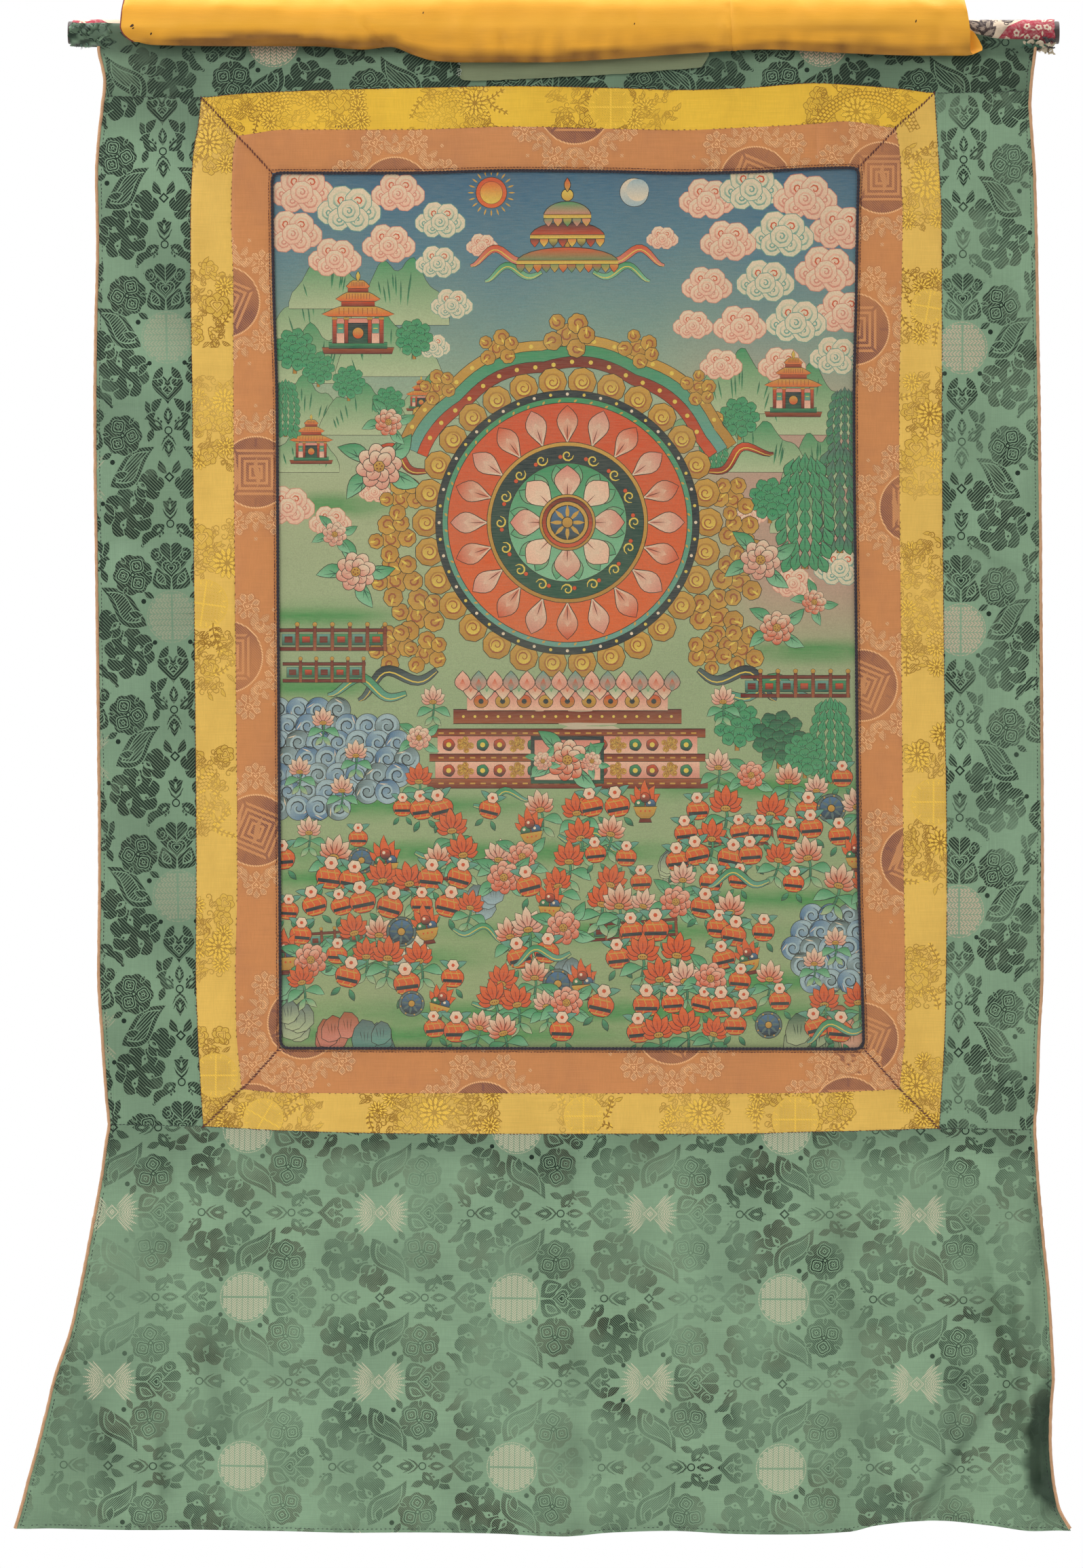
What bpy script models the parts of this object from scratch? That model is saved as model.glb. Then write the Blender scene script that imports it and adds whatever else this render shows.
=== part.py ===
"""Thangka scroll painting: a painted cloth panel in mitred silk borders, hung from a wooden top rod.

Metres, +Z up. The origin is the middle of the rod's axis, +X is to the right of somebody who faces
the picture, and the front faces -Y. A place on the cloth is given in millimetres as its ACROSS, to
the right of the rod's middle, and its DROP, below the rod's axis. The hung cloth is one rippled
surface: its folds are rows of a table, and every sewn panel is a patch cut from that surface.
"""
import math
from collections import namedtuple

import bmesh
import bpy
import numpy as np

MM = 0.001

# ---- driving sizes, in millimetres ---------------------------------------------------------------
ROD_RADIUS = 9.7
ROD_LEFT, ROD_RIGHT = -424.5, 424.0
ROD_SIDES = 24
FIT_GAP = 0.3                  # between pieces that touch
SEAM_GAP = 0.4                 # between panels sewn edge to edge
BROCADE = 1.4                  # thickness of the silk brocade and of the painted canvas
COTTON = 1.2                   # thickness of the printed cotton round the rod
SATIN = 1.4                    # thickness of the cover's doubled satin
STRIP_SILK = 1.0
CORD_RADIUS = 1.5              # navy cord round the picture
PIPING_RADIUS = 1.4            # tan piping down both sides
PIPING_TOP = 17.0              # drop at which the piping starts, under the rod
PIPING_GAP = 0.5               # measured level, so that it is still 0.3 where the edge slants

COTTON_LEFT, COTTON_RIGHT = -421.5, 420.5
COTTON_MIDDLE = ROD_RADIUS + FIT_GAP + COTTON / 2
HANG = COTTON_MIDDLE + COTTON / 2 + FIT_GAP + BROCADE / 2      # cloth's distance in front of the axis

PANEL_CELL = 24.0              # grid cell of the wide panels
CANVAS_CELL = 35.0             # grid cell of the stiffer painted canvas
STRIP_CELL = 22.0              # grid cell along the narrow strips
SIDE_SIZE = (82.0, 880.0)
BOTTOM_SIZE = (850.0, 345.0)
PICTURE_SIZE = (496.0, 750.0)
CORD_STEP = 28.0

# ---- outlines ------------------------------------------------------------------------------------
# The cloth's outer edges, piping included, from under the rod to the hem.
Side = namedtuple("Side", "drop, left, right")
SIDES = [
    Side(17, -399.0, 404.4), Side(44, -393.8, 400.9), Side(62, -395.6, 399.8),
    Side(92, -399.0, 401.6), Side(122, -400.8, 403.7), Side(180, -399.9, 405.4),
    Side(253, -401.4, 406.6), Side(320, -402.2, 407.8), Side(524, -400.0, 409.5),
    Side(727, -398.1, 410.6), Side(805, -399.0, 410.2), Side(861, -395.8, 407.4),
    Side(912, -392.4, 405.7), Side(935, -390.3, 403.7), Side(951, -392.7, 404.6),
    Side(977, -396.1, 406.2), Side(1030, -406.0, 410.6), Side(1070, -413.6, 414.7),
    Side(1112, -423.4, 417.8), Side(1152, -437.0, 419.9), Side(1176, -442.6, 418.2),
    Side(1205, -449.5, 417.6), Side(1241, -459.4, 420.2), Side(1262, -464.8, 424.2),
    Side(1281, -470.6, 434.5),
]
# The long edges of the borders round the picture.
Upright = namedtuple("Upright", "drop, yellow_left, copper_left, picture_left, "
                     "picture_right, copper_right, yellow_right")
UPRIGHTS = [
    Upright(55, -309.6, -277.0, -249.4, 252.6, 282.8, 316.7),
    Upright(80, -312.2, -277.5, -249.4, 252.5, 283.4, 318.4),
    Upright(105, -316.6, -282.8, -249.4, 252.3, 287.3, 319.8),
    Upright(160, -319.0, -284.3, -249.2, 250.8, 289.4, 322.7),
    Upright(216, -318.8, -282.6, -248.3, 250.0, 288.8, 323.1),
    Upright(320, -317.3, -282.4, -245.2, 247.9, 286.6, 323.1),
    Upright(524, -315.5, -280.7, -244.2, 250.0, 288.4, 324.8),
    Upright(727, -314.0, -279.3, -243.0, 252.0, 290.6, 327.4),
    Upright(803, -314.4, -280.8, -242.6, 254.3, 291.6, 326.7),
    Upright(853, -313.0, -280.1, -242.4, 255.9, 291.6, 325.6),
    Upright(904, -310.3, -275.5, -242.4, 256.6, 287.1, 322.8),
    Upright(937, -308.0, -274.0, -242.4, 257.0, 286.0, 320.7),
]
# The short edges of the borders; the outer columns run on across the green side strips.
Crossing = namedtuple("Crossing", "across, yellow_top, copper_top, picture_top, "
                      "picture_bottom, copper_bottom, yellow_bottom")
CROSSINGS = [
    Crossing(-400, 55.6, 91.0, 121.2, 869.4, 902.0, 934.2),
    Crossing(-310, 56.8, 91.0, 121.2, 869.4, 902.0, 936.1),
    Crossing(-280, 54.0, 89.5, 121.2, 869.4, 904.0, 937.5),
    Crossing(-238, 51.6, 84.1, 121.2, 869.4, 907.6, 939.8),
    Crossing(-134, 48.7, 84.1, 121.2, 869.6, 908.0, 942.2),
    Crossing(-45, 47.2, 81.7, 119.3, 869.6, 907.8, 942.5),
    Crossing(43, 48.7, 83.5, 120.2, 869.7, 908.0, 942.5),
    Crossing(100, 50.4, 84.7, 121.6, 869.8, 908.0, 942.5),
    Crossing(154, 48.7, 82.4, 120.8, 869.8, 908.0, 942.3),
    Crossing(214, 44.7, 79.4, 117.7, 869.9, 907.6, 940.6),
    Crossing(240, 45.8, 77.2, 117.0, 870.0, 906.6, 940.2),
    Crossing(288, 49.5, 83.2, 116.6, 870.0, 904.3, 938.8),
    Crossing(318, 52.8, 84.0, 116.6, 870.0, 903.0, 937.9),
    Crossing(405, 51.0, 84.0, 116.6, 870.0, 903.0, 939.2),
]
HemPoint = namedtuple("HemPoint", "across, drop")
HEM = [
    HemPoint(-472, 1279.5), HemPoint(-370, 1281.2), HemPoint(-240, 1281.8), HemPoint(-178, 1283.5),
    HemPoint(-68, 1284.1), HemPoint(0, 1286.4), HemPoint(40, 1283.4), HemPoint(89, 1282.4),
    HemPoint(154, 1284.7), HemPoint(210, 1284.7), HemPoint(244, 1283.5), HemPoint(267, 1277.7),
    HemPoint(312, 1272.5), HemPoint(362, 1277.7), HemPoint(408, 1281.8), HemPoint(436, 1280.6),
]
# Where the pieced strips are joined from two lengths of silk.
YELLOW_LEFT_JOIN = 803.0
YELLOW_BOTTOM_JOIN = 45.0
COPPER_TOP_JOIN = 216.0
COPPER_BOTTOM_JOIN = 206.5

# ---- folds ---------------------------------------------------------------------------------------
# Each fold runs from one place to another; its rise is towards the viewer, a trough is negative.
Fold = namedtuple("Fold", "across_1, drop_1, across_2, drop_2, width, rise")
FOLDS = [
    # long soft ripples of the whole hanging
    Fold(-345, 80, -352, 900, 60, 3.0), Fold(-150, 120, -120, 880, 120, -3.5),
    Fold(95, 110, 80, 860, 110, 2.5), Fold(365, 90, 362, 880, 55, -3.0),
    Fold(250, 150, 262, 820, 60, -2.5), Fold(-260, 500, -262, 900, 45, -2.0),
    Fold(-230, 300, 240, 330, 90, 2.0), Fold(-210, 640, 230, 600, 110, -2.5),
    # header, between rod and borders
    Fold(-300, 40, -290, 110, 30, 2.0), Fold(-40, 35, -30, 110, 40, 2.0), Fold(215, 30, 230, 105, 32, 2.5),
    # cross creases of the right side strip and of the left one
    Fold(350, 133, 392, 136, 9, -2.0), Fold(352, 213, 390, 212, 9, -2.5), Fold(330, 376, 390, 378, 10, -3.0),
    Fold(344, 438, 398, 460, 11, -3.5), Fold(352, 640, 398, 634, 14, 2.0),
    Fold(-388, 436, -340, 437, 12, -2.0), Fold(-390, 700, -330, 712, 16, 2.0),
    Fold(-385, 905, -330, 915, 12, -2.0),
    # bottom panel: soft flutes on the left
    Fold(-352, 960, -366, 1280, 26, 6.0), Fold(-318, 945, -330, 1060, 15, -4.0),
    Fold(-300, 1150, -316, 1285, 24, -6.0), Fold(-410, 1090, -432, 1285, 22, -6.0),
    Fold(-452, 1180, -466, 1285, 16, 7.0), Fold(-215, 1080, -222, 1290, 42, 5.0),
    Fold(-120, 1120, -118, 1290, 40, -5.0), Fold(-20, 1040, -6, 1290, 40, 6.0),
    Fold(8, 972, 10, 1005, 10, -2.5), Fold(84, 1130, 90, 1290, 34, -5.0),
    Fold(158, 950, 184, 1016, 12, -3.5), Fold(185, 1090, 180, 1290, 34, 5.0),
    # bottom panel: the deep crease, the lifted hem and the turned corner on the right
    Fold(352, 1010, 378, 1098, 13, -7.0), Fold(374, 1090, 398, 1200, 12, -9.0),
    Fold(330, 1040, 352, 1180, 20, 6.0), Fold(362, 1168, 296, 1278, 20, 9.0),
    Fold(262, 1180, 240, 1290, 22, -7.0), Fold(330, 1240, 362, 1290, 17, -6.0),
    Fold(408, 1120, 408, 1250, 11, -9.0), Fold(388, 1225, 396, 1290, 14, 7.0),
    Fold(434, 1268, 440, 1290, 14, 12.0), Fold(392, 1010, 404, 1110, 12, 5.0),
]
FOLDS_START, FOLDS_FULL = 12.0, 70.0        # drops between which the folds grow in under the rod
FOLD_FADE = 0.12               # share of a fold's run over which each of its ends fades out

# ---- header and what hangs over it ---------------------------------------------------------------
# The header's top edge laps up the rod's front at the left and stays under it at the right.
Lap = namedtuple("Lap", "across, drop")
HEADER_LAP = [Lap(-424, -7.6), Lap(-375, -7.0), Lap(-300, -3.0), Lap(330, -2.0), Lap(375, 6.5), Lap(408, 7.0)]
HeaderEnd = namedtuple("HeaderEnd", "drop, left, right")
HEADER_ENDS = [
    HeaderEnd(-8, -421.0, 406.0), HeaderEnd(0, -422.6, 407.0), HeaderEnd(5, -411.0, 407.0),
    HeaderEnd(9, -400.0, 404.0), HeaderEnd(14, -395.3, 400.8), HeaderEnd(17, -395.1, 400.6),
    HeaderEnd(44, -390.7, 397.8), HeaderEnd(62, -392.5, 396.7),
]
HEADER_TUCK = 2.2              # how far the right end of the header sits back under the rod
HEADER_ROWS = 11
HEADER_CROWDING = 1.5          # the header's rows stand closer together round the rod

StripPoint = namedtuple("StripPoint", "across, top, bottom")
SILK_STRIP = [
    StripPoint(-88, 5.0, 41.0), StripPoint(-84, 4.0, 42.5), StripPoint(-46, 4.0, 41.8),
    StripPoint(0, 4.0, 39.4), StripPoint(44, 4.0, 37.0), StripPoint(88, 4.0, 33.6),
    StripPoint(117, 4.0, 31.2), StripPoint(124, 6.0, 21.0),
]
STRIP_LIFT = 1.8               # the strip stands this much further forward at its lower edge
STRIP_COLUMNS, STRIP_ROWS = 12, 3

# The satin cover's fold line, and how far its two layers reach at either end.
FoldLine = namedtuple("FoldLine", "across, drop")
COVER_FOLD = [
    FoldLine(-366, 10.0), FoldLine(-350, 13.0), FoldLine(-275, 14.0), FoldLine(-216, 14.0),
    FoldLine(-171, 16.8), FoldLine(-148, 14.6), FoldLine(-127, 22.0), FoldLine(-109, 26.7),
    FoldLine(-85, 27.8), FoldLine(-18, 27.8), FoldLine(41, 25.0), FoldLine(114, 19.7),
    FoldLine(173, 16.8), FoldLine(247, 20.3), FoldLine(306, 22.0), FoldLine(344, 22.0), FoldLine(352, 20.3),
]
COVER_SEAM = 142.7             # the cover is joined from two widths of satin here
COVER_TURN = 4.4               # radius of the rolled lower edge
# Along the cover, from its sewn edge on the rod, round the rolled edge and over the top to the back.
CoverStation = namedtuple("CoverStation", "forward, rise, left, right")
COVER_OVER_ROD = [
    CoverStation(-3.0, 12.2, -357.0, 359.0), CoverStation(5.0, 13.2, -357.0, 359.0),
    CoverStation(12.0, 8.6, -357.0, 359.0), CoverStation(16.6, 0.0, -358.0, 359.5),
]
COVER_INNER = 18.6             # inner layer, in front of the axis
COVER_TURN_STEPS = 4
COVER_TURN_LEFT, COVER_TURN_RIGHT = (-359.0, -374.0), (357.0, 348.0)
COVER_OVER_TOP = [
    CoverStation(29.0, 2.0, -378.0, 347.0), CoverStation(27.5, 15.0, -377.0, 344.0),
    CoverStation(21.5, 27.0, -375.0, 341.5), CoverStation(12.0, 33.5, -374.0, 340.0),
    CoverStation(1.0, 34.5, -373.0, 339.5), CoverStation(-9.0, 28.0, -373.0, 339.5),
    CoverStation(-14.5, 15.0, -373.5, 340.0), CoverStation(-15.8, -6.0, -374.0, 340.5),
    CoverStation(-15.0, -40.0, -374.0, 341.0), CoverStation(-15.0, -74.0, -374.0, 341.0),
    CoverStation(-15.0, -108.0, -374.0, 341.0),
]
COVER_CELL = 30.0

# ---- finishes: colour and roughness --------------------------------------------------------------
Finish = namedtuple("Finish", "colour, roughness")
DARK_WOOD = Finish((0.16, 0.08, 0.04), 0.6)
PRINTED_COTTON = Finish((0.42, 0.10, 0.10), 0.85)
GREEN_BROCADE = Finish((0.13, 0.28, 0.19), 0.5)
YELLOW_SILK = Finish((0.72, 0.50, 0.11), 0.45)
COPPER_SILK = Finish((0.55, 0.26, 0.12), 0.45)
PAINTED_CANVAS = Finish((0.25, 0.42, 0.33), 0.75)
NAVY_CORD = Finish((0.02, 0.015, 0.025), 0.8)
TAN_PIPING = Finish((0.62, 0.38, 0.24), 0.8)
PALE_SILK = Finish((0.35, 0.42, 0.34), 0.5)
ORANGE_SATIN = Finish((0.78, 0.40, 0.05), 0.35)


def smooth_curve(stations, values):
    """Return a smooth function through the given values that never overshoots them."""
    x = np.array(stations, dtype=float)
    y = np.array(values, dtype=float)
    climbs = np.diff(y) / np.diff(x)
    slopes = np.concatenate([climbs[:1], np.zeros(len(x) - 2), climbs[-1:]])
    for i in range(1, len(x) - 1):
        if climbs[i - 1] * climbs[i] > 0:
            slopes[i] = 2 * climbs[i - 1] * climbs[i] / (climbs[i - 1] + climbs[i])

    def value(at):
        at = min(max(at, x[0]), x[-1])
        i = min(max(int(np.searchsorted(x, at)) - 1, 0), len(x) - 2)
        span = x[i + 1] - x[i]
        t = (at - x[i]) / span
        return float((1 + 2 * t) * (1 - t) ** 2 * y[i] + t * (1 - t) ** 2 * span * slopes[i]
                     + t * t * (3 - 2 * t) * y[i + 1] + t * t * (t - 1) * span * slopes[i + 1])
    return value


def column(table, name, along):
    """Return one named column of a table as a smooth function of its first column."""
    return smooth_curve([getattr(row, along) for row in table], [getattr(row, name) for row in table])


def ease(t):
    """Return 0 to 1 with soft ends."""
    t = min(max(t, 0.0), 1.0)
    return t * t * (3 - 2 * t)


def blend(a, b, t):
    return a + (b - a) * t


def even(start, stop, count):
    """Return evenly spaced stations from start, without the stop."""
    return [blend(start, stop, i / count) for i in range(count)]


def fold_rise(across, drop):
    """Return how far the folds lift the cloth towards the viewer at a place."""
    rise = 0.0
    for fold in FOLDS:
        run = np.array([fold.across_2 - fold.across_1, fold.drop_2 - fold.drop_1])
        reach = np.array([across - fold.across_1, drop - fold.drop_1])
        t = float(reach @ run) / float(run @ run)
        nearest = min(max(t, FOLD_FADE), 1 - FOLD_FADE)
        away = np.linalg.norm(reach - nearest * run) / fold.width
        rise += fold.rise * math.exp(-away * away)
    return rise * ease((drop - FOLDS_START) / (FOLDS_FULL - FOLDS_START))


def cloth_forward(across, drop):
    """Return the hung cloth's distance in front of the rod's axis."""
    round_rod = math.sqrt(max(HANG * HANG - drop * drop, 0.0))
    if drop < 0:
        return round_rod
    tuck = HEADER_TUCK * ease((across - 330) / 50) * (1 - ease((drop - 20) / 30))
    return max(HANG + fold_rise(across, drop) - tuck, round_rod)


def point(across, drop, forward):
    """Turn a place in millimetres into metres."""
    return (across * MM, -forward * MM, -drop * MM)


# ---- edges of the panels -------------------------------------------------------------------------
cloth_left = column(SIDES, "left", "drop")
cloth_right = column(SIDES, "right", "drop")
hem = column(HEM, "drop", "across")
seam_above = column(CROSSINGS, "yellow_top", "across")
seam_below = column(CROSSINGS, "yellow_bottom", "across")
EDGE_INSET = 2 * PIPING_RADIUS + PIPING_GAP     # the cloth ends this far inside its piping


def edge_drops(edge):
    """Return the drops of a side edge's ends: at the seam above, the seam below and the hem."""
    return seam_above(edge(55)), seam_below(edge(937)), hem(edge(1281))


class Ring:
    """The four edges of one border outline, each a function of 0 to 1, and its corners."""

    def __init__(self, name):
        self.left_at = column(UPRIGHTS, name + "_left", "drop")
        self.right_at = column(UPRIGHTS, name + "_right", "drop")
        self.top_at = column(CROSSINGS, name + "_top", "across")
        self.bottom_at = column(CROSSINGS, name + "_bottom", "across")
        self.top_left = self.corner(self.left_at, self.top_at)
        self.top_right = self.corner(self.right_at, self.top_at)
        self.bottom_left = self.corner(self.left_at, self.bottom_at)
        self.bottom_right = self.corner(self.right_at, self.bottom_at)

    @staticmethod
    def corner(upright, crossing):
        across, drop = 0.0, crossing(0.0)
        for _ in range(8):
            across = upright(drop)
            drop = crossing(across)
        return np.array([across, drop])

    def edge(self, side, first=None, last=None):
        """Return a side of the ring between two stations; None stands for the ring's corner."""
        if side in ("top", "bottom"):
            curve = self.top_at if side == "top" else self.bottom_at
            ends = (self.top_left, self.top_right) if side == "top" else (self.bottom_left, self.bottom_right)
            start = ends[0][0] if first is None else first
            stop = ends[1][0] if last is None else last
            return lambda t: np.array([blend(start, stop, t), curve(blend(start, stop, t))])
        curve = self.left_at if side == "left" else self.right_at
        ends = (self.top_left, self.bottom_left) if side == "left" else (self.top_right, self.bottom_right)
        start = ends[0][1] if first is None else first
        stop = ends[1][1] if last is None else last
        return lambda t: np.array([curve(blend(start, stop, t)), blend(start, stop, t)])


def line(start, end):
    return lambda t: blend(np.array(start), np.array(end), t)


def patch(top, bottom, left, right):
    """Return the smooth patch inside four edges; t runs left to right and s runs down."""
    def place(t, s):
        corners = blend(blend(top(0), top(1), t), blend(bottom(0), bottom(1), t), s)
        return blend(top(t), bottom(t), s) + blend(left(s), right(s), t) - corners
    return place


# ---- making the pieces ---------------------------------------------------------------------------
def material(name, finish):
    made = bpy.data.materials.new(name)
    made.use_nodes = True
    shader = made.node_tree.nodes["Principled BSDF"]
    shader.inputs["Base Color"].default_value = (*finish.colour, 1.0)
    shader.inputs["Roughness"].default_value = finish.roughness
    shader.inputs["Metallic"].default_value = 0.0
    return made


def add_object(name, data, finish, collection):
    piece = bpy.data.objects.new(name, data)
    data.materials.append(material(name, finish))
    collection.objects.link(piece)
    return piece


def add_thickness(piece, thickness):
    """Give an open surface its thickness, half to either side."""
    solidify = piece.modifiers.new("thickness", "SOLIDIFY")
    solidify.thickness = thickness * MM
    solidify.offset = 0.0


def add_sheet(name, place, columns, rows, thickness, finish, collection):
    """Make a cloth sheet: a grid laid on a surface and given its thickness."""
    mesh = bpy.data.meshes.new(name)
    grid = bmesh.new()
    bmesh.ops.create_grid(grid, x_segments=columns, y_segments=rows, size=0.5)
    for vert in grid.verts:
        vert.co = place(vert.co.x + 0.5, 0.5 - vert.co.y)
    grid.to_mesh(mesh)
    grid.free()
    mesh.shade_smooth()
    add_thickness(add_object(name, mesh, finish, collection), thickness)


def add_panel(name, patch_place, size, cell, finish, collection):
    """Make a sewn panel on the hung cloth's surface, drawn in by half a seam gap all round."""
    width, height = size
    inset_t = SEAM_GAP / 2 / width
    inset_s = SEAM_GAP / 2 / height

    def place(t, s):
        across, drop = patch_place(blend(inset_t, 1 - inset_t, t), blend(inset_s, 1 - inset_s, s))
        return point(across, drop, cloth_forward(across, drop))
    columns = max(round(width / cell), 2)
    rows = max(round(height / cell), 2)
    add_sheet(name, place, columns, rows, BROCADE, finish, collection)


def add_cord(name, route, radius, closed, finish, collection):
    """Make a sewn-on cord as a bevelled curve through its route."""
    curve = bpy.data.curves.new(name, "CURVE")
    curve.dimensions = "3D"
    curve.bevel_depth = radius * MM
    curve.bevel_resolution = 1
    curve.use_fill_caps = True
    spline = curve.splines.new("POLY")
    spline.points.add(len(route) - 1)
    for spot, place in zip(spline.points, route):
        spot.co = (*place, 1.0)
    spline.use_cyclic_u = closed
    add_object(name, curve, finish, collection)


def add_round(name, radius, left, right, capped, finish, collection):
    """Make a round bar or an open tube along X."""
    mesh = bpy.data.meshes.new(name)
    body = bmesh.new()
    bmesh.ops.create_cone(body, cap_ends=capped, segments=ROD_SIDES, radius1=radius * MM,
                          radius2=radius * MM, depth=(right - left) * MM)
    body.to_mesh(mesh)
    body.free()
    mesh.shade_smooth()
    mesh.set_sharp_from_angle(angle=math.radians(40))
    piece = add_object(name, mesh, finish, collection)
    piece.rotation_euler = (0.0, math.radians(90), 0.0)
    piece.location = ((left + right) / 2 * MM, 0.0, 0.0)
    return piece


def add_rod(collection):
    """Make the wooden rod and the printed cotton sewn round it."""
    add_round("rod", ROD_RADIUS, ROD_LEFT, ROD_RIGHT, True, DARK_WOOD, collection)
    cotton = add_round("rod_cotton", COTTON_MIDDLE, COTTON_LEFT, COTTON_RIGHT, False,
                       PRINTED_COTTON, collection)
    add_thickness(cotton, COTTON)


def add_header(collection):
    """Make the green header: lapped round the rod's front, down to the borders' top seam."""
    lap = column(HEADER_LAP, "drop", "across")
    left = column(HEADER_ENDS, "left", "drop")
    right = column(HEADER_ENDS, "right", "drop")

    def place(t, s):
        top = lap(blend(HEADER_LAP[0].across, HEADER_LAP[-1].across, t))
        bottom = seam_above(blend(left(55), right(55), t)) - SEAM_GAP / 2
        drop = blend(top, bottom, s ** HEADER_CROWDING)
        across = blend(left(drop), right(drop), t)
        return point(across, drop, cloth_forward(across, drop))
    columns = round((HEADER_ENDS[0].right - HEADER_ENDS[0].left) / PANEL_CELL)
    add_sheet("header", place, columns, HEADER_ROWS, BROCADE, GREEN_BROCADE, collection)


def add_green_sides(yellow, collection):
    """Make the green strips beside the borders, from the seam above to the seam below."""
    for name, edge, inward in (("side_left", cloth_left, 1), ("side_right", cloth_right, -1)):
        def outer(t, edge=edge, inward=inward):
            upper, lower, _ = edge_drops(edge)
            drop = blend(upper, lower, t)
            return np.array([edge(drop) + inward * EDGE_INSET, drop])
        inner = yellow.edge("left" if inward > 0 else "right")
        first, second = (outer, inner) if inward > 0 else (inner, outer)
        place = patch(line(first(0), second(0)), line(first(1), second(1)), first, second)
        add_panel(name, place, SIDE_SIZE, STRIP_CELL, GREEN_BROCADE, collection)


def add_bottom_panel(collection):
    """Make the flared green panel below the borders, down to its hem."""
    def side(s, edge, inward):
        _, upper, lower = edge_drops(edge)
        drop = blend(upper, lower, s)
        return np.array([edge(drop) + inward * EDGE_INSET, drop])

    def left(s):
        return side(s, cloth_left, 1)

    def right(s):
        return side(s, cloth_right, -1)

    def top(t):
        across = blend(left(0)[0], right(0)[0], t)
        return np.array([across, blend(left(0)[1], right(0)[1], t) + seam_below(across)
                         - blend(seam_below(left(0)[0]), seam_below(right(0)[0]), t)])

    def bottom(t):
        across = blend(left(1)[0], right(1)[0], t)
        return np.array([across, blend(left(1)[1], right(1)[1], t) + hem(across)
                         - blend(hem(left(1)[0]), hem(right(1)[0]), t)])
    place = patch(top, bottom, left, right)
    add_panel("bottom_panel", place, BOTTOM_SIZE, PANEL_CELL, GREEN_BROCADE, collection)


Border = namedtuple("Border", "name, side, first, last")
BORDER_JOINS = {
    "yellow": [Border("top", "top", None, None), Border("right", "right", None, None),
               Border("bottom_left", "bottom", None, YELLOW_BOTTOM_JOIN),
               Border("bottom_right", "bottom", YELLOW_BOTTOM_JOIN, None),
               Border("left_upper", "left", None, YELLOW_LEFT_JOIN),
               Border("left_lower", "left", YELLOW_LEFT_JOIN, None)],
    "copper": [Border("left", "left", None, None), Border("right", "right", None, None),
               Border("top_left", "top", None, COPPER_TOP_JOIN),
               Border("top_right", "top", COPPER_TOP_JOIN, None),
               Border("bottom_left", "bottom", None, COPPER_BOTTOM_JOIN),
               Border("bottom_right", "bottom", COPPER_BOTTOM_JOIN, None)],
}


def add_border(name, outer_ring, inner_ring, finish, collection):
    """Make one mitred border between two rings, in the lengths that it is pieced from."""
    for border in BORDER_JOINS[name]:
        outer = outer_ring.edge(border.side, border.first, border.last)
        inner = inner_ring.edge(border.side, border.first, border.last)
        if border.side == "top" or border.side == "bottom":
            upper, lower = (outer, inner) if border.side == "top" else (inner, outer)
            place = patch(upper, lower, line(upper(0), lower(0)), line(upper(1), lower(1)))
            size = (outer(1)[0] - outer(0)[0], abs(outer(0.5)[1] - inner(0.5)[1]))
        else:
            first, second = (outer, inner) if border.side == "left" else (inner, outer)
            place = patch(line(first(0), second(0)), line(first(1), second(1)), first, second)
            size = (abs(outer(0.5)[0] - inner(0.5)[0]), outer(1)[1] - outer(0)[1])
        add_panel(f"{name}_{border.name}", place, size, STRIP_CELL, finish, collection)


def add_picture(ring, collection):
    """Make the painted canvas and the navy cord laid over its seam."""
    place = patch(ring.edge("top"), ring.edge("bottom"), ring.edge("left"), ring.edge("right"))
    add_panel("painting", place, PICTURE_SIZE, CANVAS_CELL, PAINTED_CANVAS, collection)

    sides = [("top", False), ("right", False), ("bottom", True), ("left", True)]
    route = []
    for side, backwards in sides:
        edge = ring.edge(side)
        length = np.linalg.norm(edge(1) - edge(0))
        count = round(length / CORD_STEP)
        for i in range(count):
            t = (i + 0.12) / (count - 0.76)
            across, drop = edge(1 - t if backwards else t)
            forward = cloth_forward(across, drop) + BROCADE / 2 + FIT_GAP + CORD_RADIUS
            route.append(point(across, drop, forward))
    add_cord("picture_cord", route, CORD_RADIUS, True, NAVY_CORD, collection)


def add_piping(collection):
    """Make the two piping cords down the side edges, with the panels' own rows as their stations."""
    side_rows, bottom_rows = round(SIDE_SIZE[1] / STRIP_CELL), round(BOTTOM_SIZE[1] / PANEL_CELL)
    for name, edge, inward in (("piping_left", cloth_left, 1), ("piping_right", cloth_right, -1)):
        above, below, low = edge_drops(edge)
        drops = even(PIPING_TOP, above, 2) + even(above, below, side_rows) + even(below, low, bottom_rows)
        route = []
        for drop in drops + [low]:
            forward = cloth_forward(edge(drop) + inward * EDGE_INSET, drop)
            route.append(point(edge(drop) + inward * PIPING_RADIUS, drop, forward))
        add_cord(name, route, PIPING_RADIUS, False, TAN_PIPING, collection)


def add_silk_strip(collection):
    """Make the loose strip of pale silk that hangs out from under the cover."""
    top = column(SILK_STRIP, "top", "across")
    bottom = column(SILK_STRIP, "bottom", "across")
    lift = BROCADE / 2 + FIT_GAP + STRIP_SILK / 2

    def place(t, s):
        across = blend(SILK_STRIP[0].across, SILK_STRIP[-1].across, t)
        drop = blend(top(across), bottom(across), s)
        return point(across, drop, cloth_forward(across, drop) + lift + STRIP_LIFT * ease(s))
    add_sheet("silk_strip", place, STRIP_COLUMNS, STRIP_ROWS, STRIP_SILK, PALE_SILK, collection)


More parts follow.
